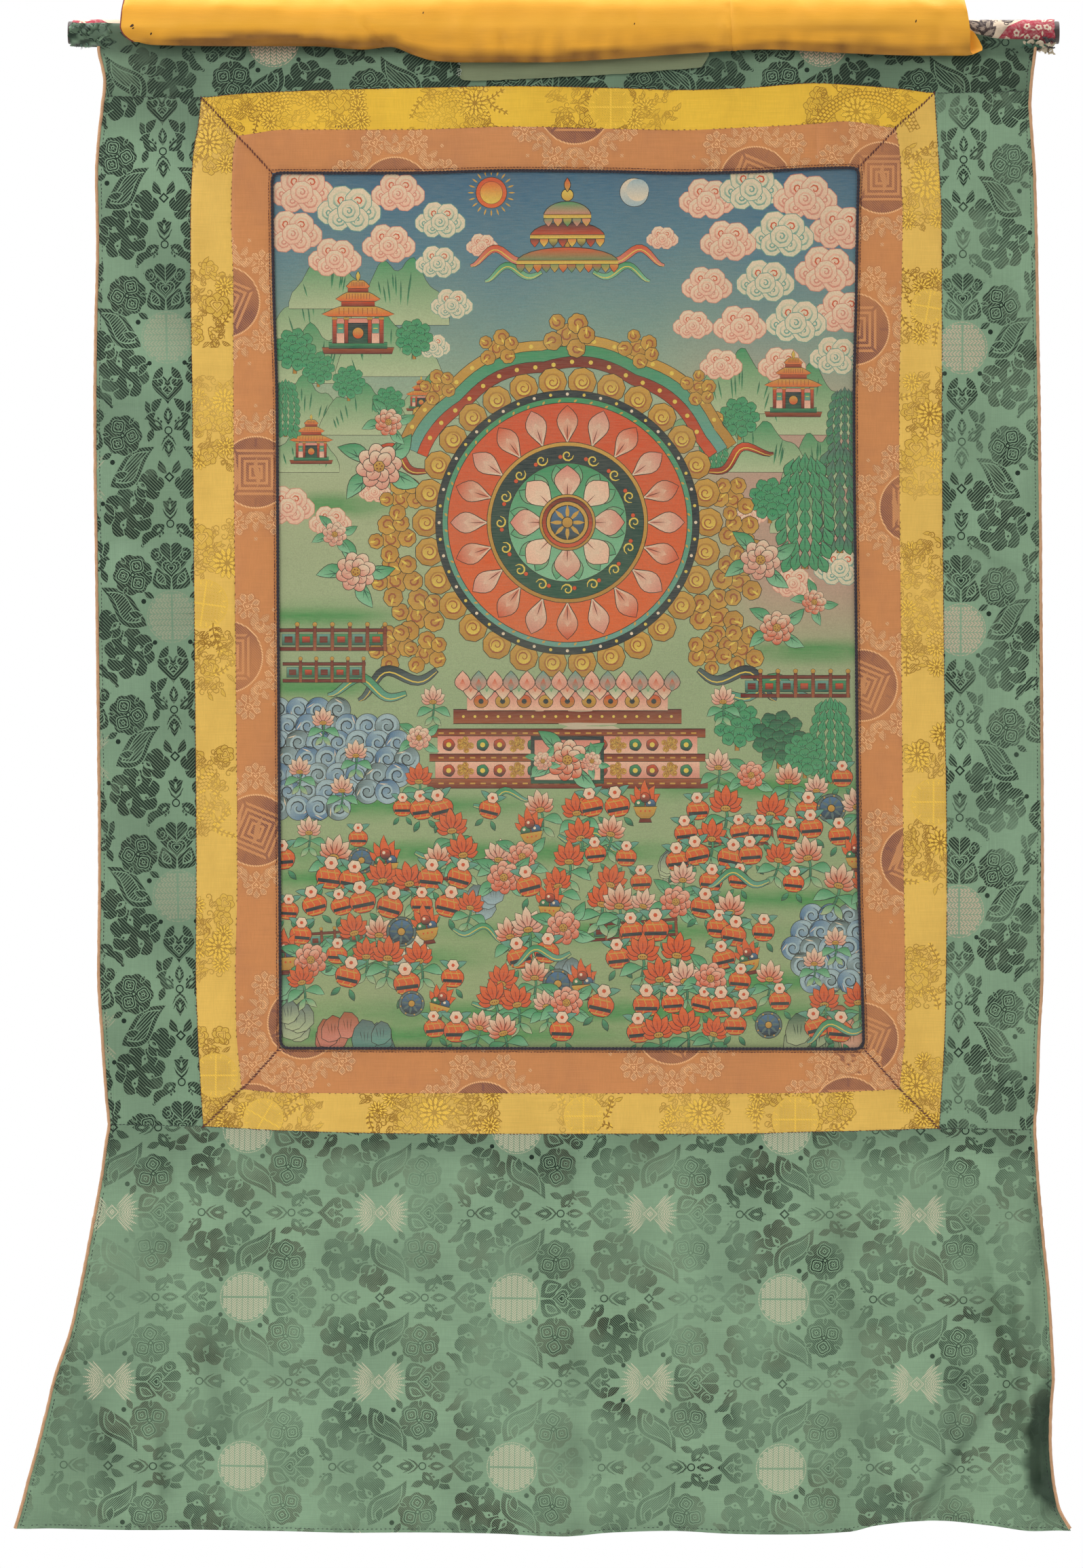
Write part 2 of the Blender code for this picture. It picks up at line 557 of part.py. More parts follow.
def cover_section(fold_drop):
    """Return the cover's stations in order for one fold line: rod, rolled edge, top and back."""
    stations = list(COVER_OVER_ROD)
    middle = max(fold_drop - COVER_TURN, 4.0)
    for step in range(COVER_TURN_STEPS + 1):
        share = step / COVER_TURN_STEPS
        forward = COVER_INNER + COVER_TURN * (1 - math.cos(math.pi * share))
        rise = -middle - COVER_TURN * math.sin(math.pi * share)
        left, right = blend(*COVER_TURN_LEFT, share), blend(*COVER_TURN_RIGHT, share)
        stations.append(CoverStation(forward, rise, left, right))
    return stations + COVER_OVER_TOP


def add_cover(collection):
    """Make the satin cover: rolled up in front of the rod and thrown over it, in two widths."""
    fold_line = column(COVER_FOLD, "drop", "across")
    rows = len(cover_section(0.0)) - 1
    left_end, right_end = COVER_FOLD[0].across, COVER_FOLD[-1].across
    seam_left, seam_right = COVER_SEAM - SEAM_GAP / 2, COVER_SEAM + SEAM_GAP / 2

    def wide(t, s):
        station = cover_section(fold_line(blend(left_end, seam_left, t)))[round(s * rows)]
        return point(blend(station.left, seam_left, t), -station.rise, station.forward)

    def narrow(t, s):
        station = cover_section(fold_line(blend(seam_right, right_end, t)))[round(s * rows)]
        return point(blend(seam_right, station.right, t), -station.rise, station.forward)
    for name, place, width in (("cover_wide", wide, seam_left - left_end),
                               ("cover_narrow", narrow, right_end - seam_right)):
        add_sheet(name, place, round(width / COVER_CELL), rows, SATIN, ORANGE_SATIN, collection)


def build():
    for old in list(bpy.data.objects):
        bpy.data.objects.remove(old)
    collection = bpy.data.collections.new("thangka_scroll")
    bpy.context.scene.collection.children.link(collection)
    yellow, copper, picture = Ring("yellow"), Ring("copper"), Ring("picture")
    add_rod(collection)
    add_header(collection)
    add_green_sides(yellow, collection)
    add_bottom_panel(collection)
    add_border("yellow", yellow, copper, YELLOW_SILK, collection)
    add_border("copper", copper, picture, COPPER_SILK, collection)
    add_picture(picture, collection)
    add_piping(collection)
    add_silk_strip(collection)
    add_cover(collection)


build()
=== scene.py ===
"""Thangka scroll: painted canvas in mitred damask borders and green brocade, hung from its rod.

Places on the cloth are millimetres: ACROSS to the right of the rod's middle, DROP below its axis.
Every sewn panel is cut from one hung surface. Its woven or painted figures are outlines cut into
the sheet's own mesh, and each corner of the mesh keeps the figure's values for the materials.
"""
import math
from collections import namedtuple

import bpy
import numpy as np
from bpy.props import FloatProperty, FloatVectorProperty, PointerProperty
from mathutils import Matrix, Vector
from mathutils.bvhtree import BVHTree
from mathutils.geometry import delaunay_2d_cdt


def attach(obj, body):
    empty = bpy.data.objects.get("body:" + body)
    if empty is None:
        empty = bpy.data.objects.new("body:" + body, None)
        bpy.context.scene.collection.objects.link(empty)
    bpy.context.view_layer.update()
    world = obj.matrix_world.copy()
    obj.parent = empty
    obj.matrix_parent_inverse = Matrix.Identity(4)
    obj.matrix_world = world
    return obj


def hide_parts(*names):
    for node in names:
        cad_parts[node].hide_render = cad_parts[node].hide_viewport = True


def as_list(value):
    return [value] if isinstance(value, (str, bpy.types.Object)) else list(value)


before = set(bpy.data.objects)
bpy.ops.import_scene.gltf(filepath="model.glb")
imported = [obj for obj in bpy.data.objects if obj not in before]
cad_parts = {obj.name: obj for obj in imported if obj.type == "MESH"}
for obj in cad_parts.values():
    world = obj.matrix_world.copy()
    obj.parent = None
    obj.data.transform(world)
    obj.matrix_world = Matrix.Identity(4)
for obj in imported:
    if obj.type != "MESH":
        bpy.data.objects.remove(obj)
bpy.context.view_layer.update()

bl_info = {
    "name": "Thangka scroll",
    "version": (1, 0, 0),
    "blender": (4, 5, 0),
    "location": "View3D > Sidebar > Scroll",
    "description": "Dresses a hung scroll painting: brocade, damask borders, canvas, cords, rod and cover",
    "category": "Object",
}

MM = 0.001


# ==== sizes of the hung cloth, in millimetres =====================================================
def table(names, *rows):
    """Return the columns of a table of sizes by name."""
    return dict(zip(names.split(), np.array(rows, dtype=float).T))


SIDES = table(
    "drop left right",
    (17, -399.0, 404.4), (44, -393.8, 400.9), (62, -395.6, 399.8), (92, -399.0, 401.6),
    (122, -400.8, 403.7), (180, -399.9, 405.4), (253, -401.4, 406.6), (320, -402.2, 407.8),
    (524, -400.0, 409.5), (727, -398.1, 410.6), (805, -399.0, 410.2), (861, -395.8, 407.4),
    (912, -392.4, 405.7), (935, -390.3, 403.7), (951, -392.7, 404.6), (977, -396.1, 406.2),
    (1030, -406.0, 410.6), (1070, -413.6, 414.7), (1112, -423.4, 417.8), (1152, -437.0, 419.9),
    (1176, -442.6, 418.2), (1205, -449.5, 417.6), (1241, -459.4, 420.2), (1262, -464.8, 424.2),
    (1281, -470.6, 434.5))
UPRIGHTS = table(
    "drop yellow_left copper_left picture_left picture_right copper_right yellow_right",
    (55, -309.6, -277.0, -249.4, 252.6, 282.8, 316.7), (80, -312.2, -277.5, -249.4, 252.5, 283.4, 318.4),
    (105, -316.6, -282.8, -249.4, 252.3, 287.3, 319.8), (160, -319.0, -284.3, -249.2, 250.8, 289.4, 322.7),
    (216, -318.8, -282.6, -248.3, 250.0, 288.8, 323.1), (320, -317.3, -282.4, -245.2, 247.9, 286.6, 323.1),
    (524, -315.5, -280.7, -244.2, 250.0, 288.4, 324.8), (727, -314.0, -279.3, -243.0, 252.0, 290.6, 327.4),
    (803, -314.4, -280.8, -242.6, 254.3, 291.6, 326.7), (853, -313.0, -280.1, -242.4, 255.9, 291.6, 325.6),
    (904, -310.3, -275.5, -242.4, 256.6, 287.1, 322.8), (937, -308.0, -274.0, -242.4, 257.0, 286.0, 320.7))
CROSSINGS = table(
    "across yellow_top copper_top picture_top picture_bottom copper_bottom yellow_bottom",
    (-400, 55.6, 91.0, 121.2, 869.4, 902.0, 934.2), (-310, 56.8, 91.0, 121.2, 869.4, 902.0, 936.1),
    (-280, 54.0, 89.5, 121.2, 869.4, 904.0, 937.5), (-238, 51.6, 84.1, 121.2, 869.4, 907.6, 939.8),
    (-134, 48.7, 84.1, 121.2, 869.6, 908.0, 942.2), (-45, 47.2, 81.7, 119.3, 869.6, 907.8, 942.5),
    (43, 48.7, 83.5, 120.2, 869.7, 908.0, 942.5), (100, 50.4, 84.7, 121.6, 869.8, 908.0, 942.5),
    (154, 48.7, 82.4, 120.8, 869.8, 908.0, 942.3), (214, 44.7, 79.4, 117.7, 869.9, 907.6, 940.6),
    (240, 45.8, 77.2, 117.0, 870.0, 906.6, 940.2), (288, 49.5, 83.2, 116.6, 870.0, 904.3, 938.8),
    (318, 52.8, 84.0, 116.6, 870.0, 903.0, 937.9), (405, 51.0, 84.0, 116.6, 870.0, 903.0, 939.2))
HEM = table(
    "across drop",
    (-472, 1279.5), (-370, 1281.2), (-240, 1281.8), (-178, 1283.5), (-68, 1284.1), (0, 1286.4),
    (40, 1283.4), (89, 1282.4), (154, 1284.7), (210, 1284.7), (244, 1283.5), (267, 1277.7),
    (312, 1272.5), (362, 1277.7), (408, 1281.8), (436, 1280.6))
HEADER_LAP = table("across drop", (-424, -7.6), (-375, -7.0), (-300, -3.0), (330, -2.0),
                   (375, 6.5), (408, 7.0))
HEADER_ENDS = table(
    "drop left right", (-8, -421.0, 406.0), (0, -422.6, 407.0), (5, -411.0, 407.0), (9, -400.6, 404.4),
    (14, -396.4, 401.9), (17, -396.2, 401.7), (44, -391.8, 398.9), (62, -393.6, 397.8))
SILK_STRIP = table(
    "across top bottom", (-88, 5.0, 41.0), (-84, 4.0, 42.5), (-46, 4.0, 41.8), (0, 4.0, 39.4),
    (44, 4.0, 37.0), (88, 4.0, 33.6), (117, 4.0, 31.2), (124, 6.0, 21.0))
COVER_FOLD = table(
    "across drop", (-366, 10.0), (-350, 13.0), (-275, 14.0), (-216, 14.0), (-171, 16.8), (-148, 14.6),
    (-127, 22.0), (-109, 26.7), (-85, 27.8), (-18, 27.8), (41, 25.0), (114, 19.7), (173, 16.8),
    (247, 20.3), (306, 22.0), (344, 22.0), (352, 20.3))
# The satin cover from its hem behind, over the top, round the rolled edge and back over the rod.
COVER_SECTION = table(
    "forward rise rolled left right",
    (-15.0, -108.0, 0, -374.0, 341.0), (-15.0, -74.0, 0, -374.0, 341.0), (-15.0, -40.0, 0, -374.0, 341.0),
    (-15.8, -6.0, 0, -374.0, 340.5), (-14.5, 15.0, 0, -373.5, 340.0), (-9.0, 28.0, 0, -373.0, 339.5),
    (1.0, 34.5, 0, -373.0, 339.5), (12.0, 33.5, 0, -374.0, 340.0), (21.5, 27.0, 0, -375.0, 341.5),
    (27.5, 15.0, 0, -377.0, 344.0), (29.0, 2.0, 0, -378.0, 346.0), (27.4, 0.0, 1, -374.0, 346.5),
    (26.1, -3.1, 1, -370.2, 347.0), (23.0, -4.4, 1, -366.5, 349.0), (19.9, -3.1, 1, -362.8, 355.0),
    (18.6, 0.0, 1, -359.0, 358.0), (16.6, 0.0, 0, -358.0, 348.0), (12.0, 8.6, 0, -357.0, 341.0),
    (5.0, 13.2, 0, -357.0, 340.0), (-3.0, 12.2, 0, -357.0, 340.0))
COVER_SEAM = 142.7
COVER_TURN = 4.4
COVER_FOLD_DEPTH = 17.0        # how far the rolled edge usually hangs below the rod's axis

ROD_RADIUS, ROD_LEFT, ROD_RIGHT = 9.7, -424.5, 424.0
COTTON_LEFT, COTTON_RIGHT, COTTON_RADIUS = -421.5, 420.5, 10.6
HANG = 12.2                    # the cloth's distance in front of the rod's axis
HEADER_TUCK = 2.2
WRAP_UPPER, WRAP_LOWER = 12.5, 37.0    # the wrapped end's edges, measured round the rod from its top
EDGE_INSET = 2.0               # the cloth ends this far inside its piping
PIPING_TOP = 13.0
YELLOW_LEFT_JOIN, YELLOW_BOTTOM_JOIN = 803.0, 45.0
UPPER_SEAM, LOWER_SEAM, HEM_LEVEL = 55, 937, 1281    # where these lines meet the side edges
COPPER_TOP_JOIN, COPPER_BOTTOM_JOIN = 216.0, 206.5

# Folds: across and drop where each starts and ends, its width, and its rise towards the viewer.
FOLDS = np.array([
    (-345, 80, -352, 900, 60, 3.0), (-150, 120, -120, 880, 120, -3.5), (95, 110, 80, 860, 110, 2.5),
    (365, 90, 362, 880, 55, -3.0), (250, 150, 262, 820, 60, -2.5), (-260, 500, -262, 900, 45, -2.0),
    (-230, 300, 240, 330, 90, 2.0), (-210, 640, 230, 600, 110, -2.5), (-300, 40, -290, 110, 30, 2.0),
    (-40, 35, -30, 110, 40, 2.0), (215, 30, 230, 105, 32, 2.5), (350, 133, 392, 136, 9, -2.0),
    (352, 213, 390, 212, 9, -2.5), (330, 376, 390, 378, 10, -3.0), (344, 438, 398, 460, 11, -3.5),
    (352, 640, 398, 634, 14, 2.0), (-388, 436, -340, 437, 12, -2.0), (-390, 700, -330, 712, 16, 2.0),
    (-385, 905, -330, 915, 12, -2.0), (-352, 960, -366, 1280, 26, 6.0), (-318, 945, -330, 1060, 15, -4.0),
    (-300, 1150, -316, 1285, 24, -6.0), (-410, 1090, -432, 1285, 22, -6.0), (-452, 1180, -466, 1285, 16, 7.0),
    (-215, 1080, -222, 1290, 42, 5.0), (-120, 1120, -118, 1290, 40, -5.0), (-20, 1040, -6, 1290, 40, 6.0),
    (8, 972, 10, 1005, 10, -2.5), (84, 1130, 90, 1290, 34, -5.0), (158, 950, 184, 1016, 12, -3.5),
    (185, 1090, 180, 1290, 34, 5.0), (352, 1010, 378, 1098, 13, -7.0), (374, 1090, 398, 1200, 12, -9.0),
    (330, 1040, 352, 1180, 20, 6.0), (362, 1168, 296, 1278, 20, 9.0), (262, 1180, 240, 1290, 22, -7.0),
    (330, 1240, 362, 1290, 17, -6.0), (408, 1120, 408, 1250, 11, -9.0), (388, 1225, 396, 1290, 14, 7.0),
    (434, 1268, 440, 1290, 14, 12.0), (392, 1010, 404, 1110, 12, 5.0)])
FOLDS_START, FOLDS_FULL, FOLD_FADE = 12.0, 70.0, 0.12
# Small sharp creases, too fine for the solids, in the same columns.
CREASES = np.array([
    (355, 1020, 363, 1041, 2.2, -1.1), (363, 1041, 376, 1104, 2.0, -1.3), (376, 1104, 381, 1146, 2.0, -1.4),
    (381, 1146, 393, 1162, 2.0, -1.2), (352, 1172, 322, 1232, 3.0, 1.3), (340, 1204, 297, 1272, 2.6, 1.1),
    (-346, 1204, -341, 1264, 2.0, -1.3), (-350, 1200, -347, 1262, 2.6, 1.0), (7, 974, 9, 1000, 1.8, -0.9),
    (-96, 1117, -84, 1121, 1.6, -0.7), (50, 1098, 77, 1103, 1.5, -1.0), (-333, 942, -331, 1050, 3.0, -1.1),
    (-326, 944, -322, 1046, 3.0, 0.9), (158, 952, 171, 990, 2.4, -1.0), (171, 990, 186, 1012, 2.2, -0.8),
    (262, 1180, 254, 1240, 3.0, -0.9), (400, 1130, 402, 1190, 2.4, 1.1), (410, 1190, 408, 1250, 2.2, -1.1),
    (384, 1226, 392, 1278, 2.4, 0.9), (-432, 1120, -452, 1240, 3.0, 0.9), (-424, 1160, -440, 1270, 3.0, -0.8),
    (352, 134, 396, 137, 1.8, -0.7), (348, 214, 392, 212, 1.8, -0.8), (326, 377, 392, 379, 1.8, -0.9),
    (340, 436, 400, 462, 2.0, -1.0), (356, 452, 402, 470, 1.8, 0.7), (354, 638, 400, 633, 2.4, 0.7),
    (-392, 434, -338, 438, 2.0, -0.7), (-392, 700, -330, 713, 2.4, 0.6), (-388, 320, -352, 322, 1.8, -0.5),
    (240, 90, 262, 118, 1.6, -1.1), (232, 92, 244, 100, 1.4, 0.6), (-262, 96, -300, 80, 1.6, -0.5),
    (286, 116, 318, 121, 3.0, -0.5), (-300, 560, -284, 575, 3.0, -0.4), (-296, 700, -290, 760, 3.0, -0.4),
    (-214, 1010, -196, 1060, 2.4, -0.6), (-30, 1090, -22, 1150, 2.6, -0.6), (120, 1060, 132, 1130, 2.6, 0.6),
    (236, 1020, 262, 1080, 2.6, -0.6), (-170, 1180, -176, 1250, 2.6, 0.5), (60, 1200, 66, 1276, 2.6, -0.6)])
ROLLING_CREASES = 26           # faint level lines that rolling up leaves on the whole hanging


def ease(t):
    """Return 0 to 1 with soft ends."""
    t = np.clip(t, 0.0, 1.0)
    return t * t * (3 - 2 * t)


def smooth_curve(stations, values):
    """Return a smooth function through the given values that never overshoots them."""
    x, y = np.array(stations, dtype=float), np.array(values, dtype=float)
    climbs = np.diff(y) / np.diff(x)
    slopes = np.concatenate([climbs[:1], np.zeros(len(x) - 2), climbs[-1:]])
    for i in range(1, len(x) - 1):
        if climbs[i - 1] * climbs[i] > 0:
            slopes[i] = 2 * climbs[i - 1] * climbs[i] / (climbs[i - 1] + climbs[i])

    def value(at):
        at = np.clip(at, x[0], x[-1])
        i = np.clip(np.searchsorted(x, at) - 1, 0, len(x) - 2)
        span = x[i + 1] - x[i]
        t = (at - x[i]) / span
        return ((1 + 2 * t) * (1 - t) ** 2 * y[i] + t * (1 - t) ** 2 * span * slopes[i]
                + t * t * (3 - 2 * t) * y[i + 1] + t * t * (t - 1) * span * slopes[i + 1])
    return value


def column(sizes, name, along):
    """Return one named column of a table as a smooth function of another."""
    return smooth_curve(sizes[along], sizes[name])


def waves(across, drop, length, seed, count=9):
    """Return soft seeded unevenness between about -1 and 1, of the given wavelength."""
    draw = np.random.default_rng(seed)
    total = np.zeros(np.shape(across))
    for _ in range(count):
        angle, phase = draw.uniform(0, 2 * math.pi, 2)
        turns = 2 * math.pi / (length * draw.uniform(0.7, 1.5))
        total += np.sin((across * math.cos(angle) + drop * math.sin(angle)) * turns + phase)
    return total / math.sqrt(count)


def creased(across, drop, folds):
    """Return the height of a table of folds at each place."""
    height = np.zeros(np.shape(across))
    for across_1, drop_1, across_2, drop_2, width, rise in folds:
        run = np.array([across_2 - across_1, drop_2 - drop_1])
        reach_across, reach_drop = across - across_1, drop - drop_1
        t = (reach_across * run[0] + reach_drop * run[1]) / (run @ run)
        nearest = np.clip(t, FOLD_FADE, 1 - FOLD_FADE)
        away = ((reach_across - nearest * run[0]) ** 2 + (reach_drop - nearest * run[1]) ** 2) / width ** 2
        height += rise * np.exp(-away)
    return height


def rolling_marks(across, drop):
    """Return the faint level creases left by rolling the hanging up."""
    draw = np.random.default_rng(41)
    height = np.zeros(np.shape(across))
    for i in range(ROLLING_CREASES):
        level = 75 + i * 46 + draw.uniform(-14, 14)
        tilt = draw.uniform(-0.02, 0.02)
        middle, reach = draw.uniform(-260, 260), draw.uniform(110, 300)
        away = (drop - level - tilt * across - 1.5 * np.sin(across / 37 + i)) / draw.uniform(1.6, 3.2)
        height += draw.uniform(-0.34, 0.24) * np.exp(-away ** 2 - ((across - middle) / reach) ** 2)
    return height


def cloth_forward(across, drop):
    """Return the hung cloth's distance in front of the rod's axis."""
    across, drop = np.asarray(across, dtype=float), np.asarray(drop, dtype=float)
    round_rod = np.sqrt(np.maximum(HANG * HANG - drop * drop, 0.0))
    grown_in = ease((drop - FOLDS_START) / (FOLDS_FULL - FOLDS_START))
    folds = creased(across, drop, FOLDS) + creased(across, drop, CREASES) + rolling_marks(across, drop)
    folds += 0.45 * waves(across, drop, 110, 3) + 0.16 * waves(across, drop, 34, 4)
    tuck = HEADER_TUCK * ease((across - 330) / 50) * (1 - ease((drop - 20) / 30))
    hung = np.maximum(HANG + folds * grown_in - tuck, round_rod)
    return np.where(drop < 0, round_rod, hung)


def hung_cloth(lift=0.0):
    """Return the surface of the hung cloth, in metres, lifted towards the viewer."""
    def surface(across, drop):
        gathered = 0.9 * ease((-378 - across) / 20) * ease((24 - drop) / 20)
        ruck = gathered * (np.sin(across * 0.55 + drop * 0.5) + 0.6 * np.sin(across * 0.9 - drop))
        forward = cloth_forward(across, drop) + lift + ruck
        return np.stack([across * MM, -forward * MM, -drop * MM], 1)
    return surface


# ---- edges of the panels -------------------------------------------------------------------------
cloth_left, cloth_right = column(SIDES, "left", "drop"), column(SIDES, "right", "drop")
hem = column(HEM, "drop", "across")
seam_above = column(CROSSINGS, "yellow_top", "across")
seam_below = column(CROSSINGS, "yellow_bottom", "across")


class Ring:
    """The four edges of one border outline and its corners."""

    def __init__(self, name):
        self.curves = {
            "left": column(UPRIGHTS, name + "_left", "drop"),
            "right": column(UPRIGHTS, name + "_right", "drop"),
            "top": column(CROSSINGS, name + "_top", "across"),
            "bottom": column(CROSSINGS, name + "_bottom", "across")}
        self.corners = {}
        for level in ("top", "bottom"):
            for side in ("left", "right"):
                across, drop = 0.0, 500.0
                for _ in range(8):
                    drop = self.curves[level](across)
                    across = self.curves[side](drop)
                self.corners[level, side] = np.array([float(across), float(drop)])

    def edge(self, side, first=None, last=None, step=6.0):
        """Return the points along a side between two stations; None stands for the ring's corner."""
        if side in ("top", "bottom"):
            start = self.corners[side, "left"][0] if first is None else first
            stop = self.corners[side, "right"][0] if last is None else last
            at = np.linspace(start, stop, max(round((stop - start) / step), 2) + 1)
            return np.stack([at, self.curves[side](at)], 1)
        start = self.corners["top", side][1] if first is None else first
        stop = self.corners["bottom", side][1] if last is None else last
        at = np.linspace(start, stop, max(round((stop - start) / step), 2) + 1)
        return np.stack([self.curves[side](at), at], 1)


YELLOW, COPPER, PICTURE = Ring("yellow"), Ring("copper"), Ring("picture")


def closed(*edges):
    """Join edges that follow one another into one outline without doubled points."""
    points = []
    for edge in edges:
        for place in edge:
            if not points or np.hypot(*(place - points[-1])) > 0.02:
                points.append(np.array(place, dtype=float))
    while np.hypot(*(points[0] - points[-1])) < 0.02:
        points.pop()
    return np.array(points)


def side_outline(edge, inward, yellow_side):
    """Return the outline of the green strip beside the borders."""
    upper, lower = seam_above(edge(UPPER_SEAM)), seam_below(edge(LOWER_SEAM))
    drops = np.linspace(upper, lower, 130)
    outer = np.stack([edge(drops) + inward * EDGE_INSET, drops], 1)
    return closed(outer, YELLOW.edge(yellow_side)[::-1])


def bottom_outline():
    """Return the outline of the flared panel, from the seam below the borders to the hem."""
    edges = []
    for edge, inward in ((cloth_left, 1), (cloth_right, -1)):
        upper, lower = float(seam_below(edge(LOWER_SEAM))), float(hem(edge(HEM_LEVEL)))
        drops = np.linspace(upper, lower, 60)
        edges.append(np.stack([edge(drops) + inward * EDGE_INSET, drops], 1))
    left, right = edges
    top = np.linspace(left[0][0], right[0][0], 150)
    bottom = np.linspace(left[-1][0], right[-1][0], 150)
    return closed(left[::-1], np.stack([top, seam_below(top)], 1), right,
                  np.stack([bottom, hem(bottom)], 1)[::-1])


def header_outline():
    """Return the outline of the header: lapped on the rod above, sewn to the borders below."""
    lap = column(HEADER_LAP, "drop", "across")
    left, right = column(HEADER_ENDS, "left", "drop"), column(HEADER_ENDS, "right", "drop")
    top = np.linspace(left(-8) + 1, right(6.8), 140)
    ragged = 0.5 * waves(top, top, 6, 5) * ease((-370 - top) / 30)
    upper = np.stack([top, lap(top) + ragged], 1)
    end_right = np.linspace(6.8, seam_above(right(UPPER_SEAM)), 16)
    bottom = np.linspace(right(UPPER_SEAM), left(UPPER_SEAM), 140)
    end_left = np.linspace(seam_above(left(UPPER_SEAM)), -7, 40)
    return closed(upper, np.stack([right(end_right), end_right], 1),
                  np.stack([bottom, seam_above(bottom)], 1), np.stack([left(end_left), end_left], 1))


# ==== outlines of figures =========================================================================
Shape = namedtuple("Shape", "points, colour, fade, start, end")


def shape(points, colour, fade=None, start=None, end=None):
    """Return a figure: its outline, and its value at the top and at the bottom, or from start to end."""
    points = np.asarray(points, dtype=float)
    start = (0.0, points[:, 1].min()) if start is None else start
    end = (0.0, points[:, 1].max() + 1e-6) if end is None else end
    return Shape(points, tuple(colour), tuple(colour if fade is None else fade), np.array(start),
                 np.array(end))


def moved(shapes, at=(0.0, 0.0), turn=0.0, size=1.0, flip=False):
    """Copy figures to another place, turned by degrees, resized or mirrored upside down."""
    c, s = math.cos(math.radians(turn)), math.sin(math.radians(turn))
    change = np.array([[c, -s], [s, c]]) @ np.array([[size, 0], [0, -size if flip else size]])
    at = np.array(at, dtype=float)
    return [Shape(one.points @ change.T + at, one.colour, one.fade, change @ one.start + at,
                  change @ one.end + at)
            for one in shapes]


def polar(radius, degrees, at=(0.0, 0.0)):
    angle = math.radians(degrees)
    return at[0] + radius * math.cos(angle), at[1] + radius * math.sin(angle)


def turned(points, degrees, at):
    c, s = math.cos(math.radians(degrees)), math.sin(math.radians(degrees))
    return points @ np.array([[c, s], [-s, c]]) + np.array(at, dtype=float)


def ring(radius, count=12, at=(0.0, 0.0), squash=1.0, turn=0.0, lobes=0, depth=0.2):
    """Return a round outline, scalloped where it has lobes."""
    angle = np.linspace(0, 2 * math.pi, count, endpoint=False)
    reach = radius * (1 - depth + depth * np.abs(np.cos(angle * lobes / 2))) if lobes else radius
    return turned(np.stack([reach * np.cos(angle), reach * squash * np.sin(angle)], 1), turn, at)


def lens(length, width, at=(0.0, 0.0), turn=0.0, bow=0.0, sway=0.0, fat=0.5, count=7):
    """Return a leaf's outline from its foot: bow bends it one way, sway gives it an S."""
    t = np.linspace(0, 1, count)
    half = width / 2 * np.sin(math.pi * t ** (math.log(0.5) / math.log(fat)))
    middle = bow * np.sin(math.pi * t) + sway * np.sin(2 * math.pi * t)
    upper = np.stack([t * length, middle - half], 1)
    lower = np.stack([t * length, middle + half], 1)[-2:0:-1]
    return turned(np.concatenate([upper, lower]), turn, at)


def heart(size, at=(0.0, 0.0), turn=0.0, count=18):
    """Return a heart outline whose point looks down the page before it is turned."""
    t = np.linspace(0, 2 * math.pi, count, endpoint=False) + 0.05
    x = 16 * np.sin(t) ** 3
    y = -(13 * np.cos(t) - 5 * np.cos(2 * t) - 2 * np.cos(3 * t) - np.cos(4 * t))
    return turned(np.stack([x, y], 1) * size / 16, turn, at)


def box(width, height, at=(0.0, 0.0), turn=0.0, taper=0.0):
    w, h = width / 2, height / 2
    return turned(np.array([(-w + taper, -h), (w - taper, -h), (w, h), (-w, h)]), turn, at)


def grown(points, by):
    """Return an outline moved outwards, or inwards where by is negative."""
    points = np.asarray(points, dtype=float)
    before, after = np.roll(points, 1, 0), np.roll(points, -1, 0)
    along = after - before
    across = np.stack([along[:, 1], -along[:, 0]], 1) / (np.hypot(*along.T)[:, None] + 1e-9)
    x, y = points.T
    turning = np.sign(np.sum(x * np.roll(y, -1) - y * np.roll(x, -1)) + 1e-12)
    return points + across * by * turning


def shrunk(points, by):
    """Return an outline drawn in on itself along its own length and width, so that it can't cross over."""
    middle = (points.max(0) + points.min(0)) / 2
    _, axes = np.linalg.eigh(np.cov((points - middle).T))
    local = (points - middle) @ axes
    reach = (local.max(0) - local.min(0)) / 2
    centre = (local.max(0) + local.min(0)) / 2
    return (centre + (local - centre) * np.maximum((reach - by) / reach, 0.12)) @ axes.T + middle


def stroke(spine, width):
    """Return the outline of a line of the given width, one number or one for each point."""
    spine = np.asarray(spine, dtype=float)
    along = np.gradient(spine, axis=0)
    side = np.stack([-along[:, 1], along[:, 0]], 1) / (np.hypot(*along.T)[:, None] + 1e-9)
    half = (np.ones(len(spine)) * width)[:, None] / 2
    return np.concatenate([spine + side * half, (spine - side * half)[::-1]])


def curl(radius, width, turns=1.3, at=(0.0, 0.0), turn=0.0, hand=1, count=13):
    """Return the outline of a tapering spiral line."""
    t = np.linspace(0, 1, count)
    angle = hand * t * turns * 2 * math.pi
    reach = radius * (1 - 0.8 * t)
    spine = np.stack([reach * np.cos(angle), reach * np.sin(angle)], 1)
    return turned(stroke(spine, width * np.interp(t, [0, 0.2, 1], [0.3, 1, 0.5])), turn, at)


# ==== woven figures of the green brocade ==========================================================
# The values are hatching, solid dark, bright thread, and 1 where the hatching leans the other way.
GROUND, HATCH, RIBS, DARK = (0, 0, 0, 0), (1, 0.4, 0, 0), (0.9, 0.12, 0, 1), (0, 1, 0, 0)
THREAD, THREAD_BACK, THREAD_THIN = (0, 0, 0.85, 0), (0, 0, 0.85, 1), (0, 0, 0.6, 0)
REPEAT_WIDE, REPEAT_TALL = 230.0, 144.5
FOLDED_IN = 400                # right of this the edge folds in and hides the medallions


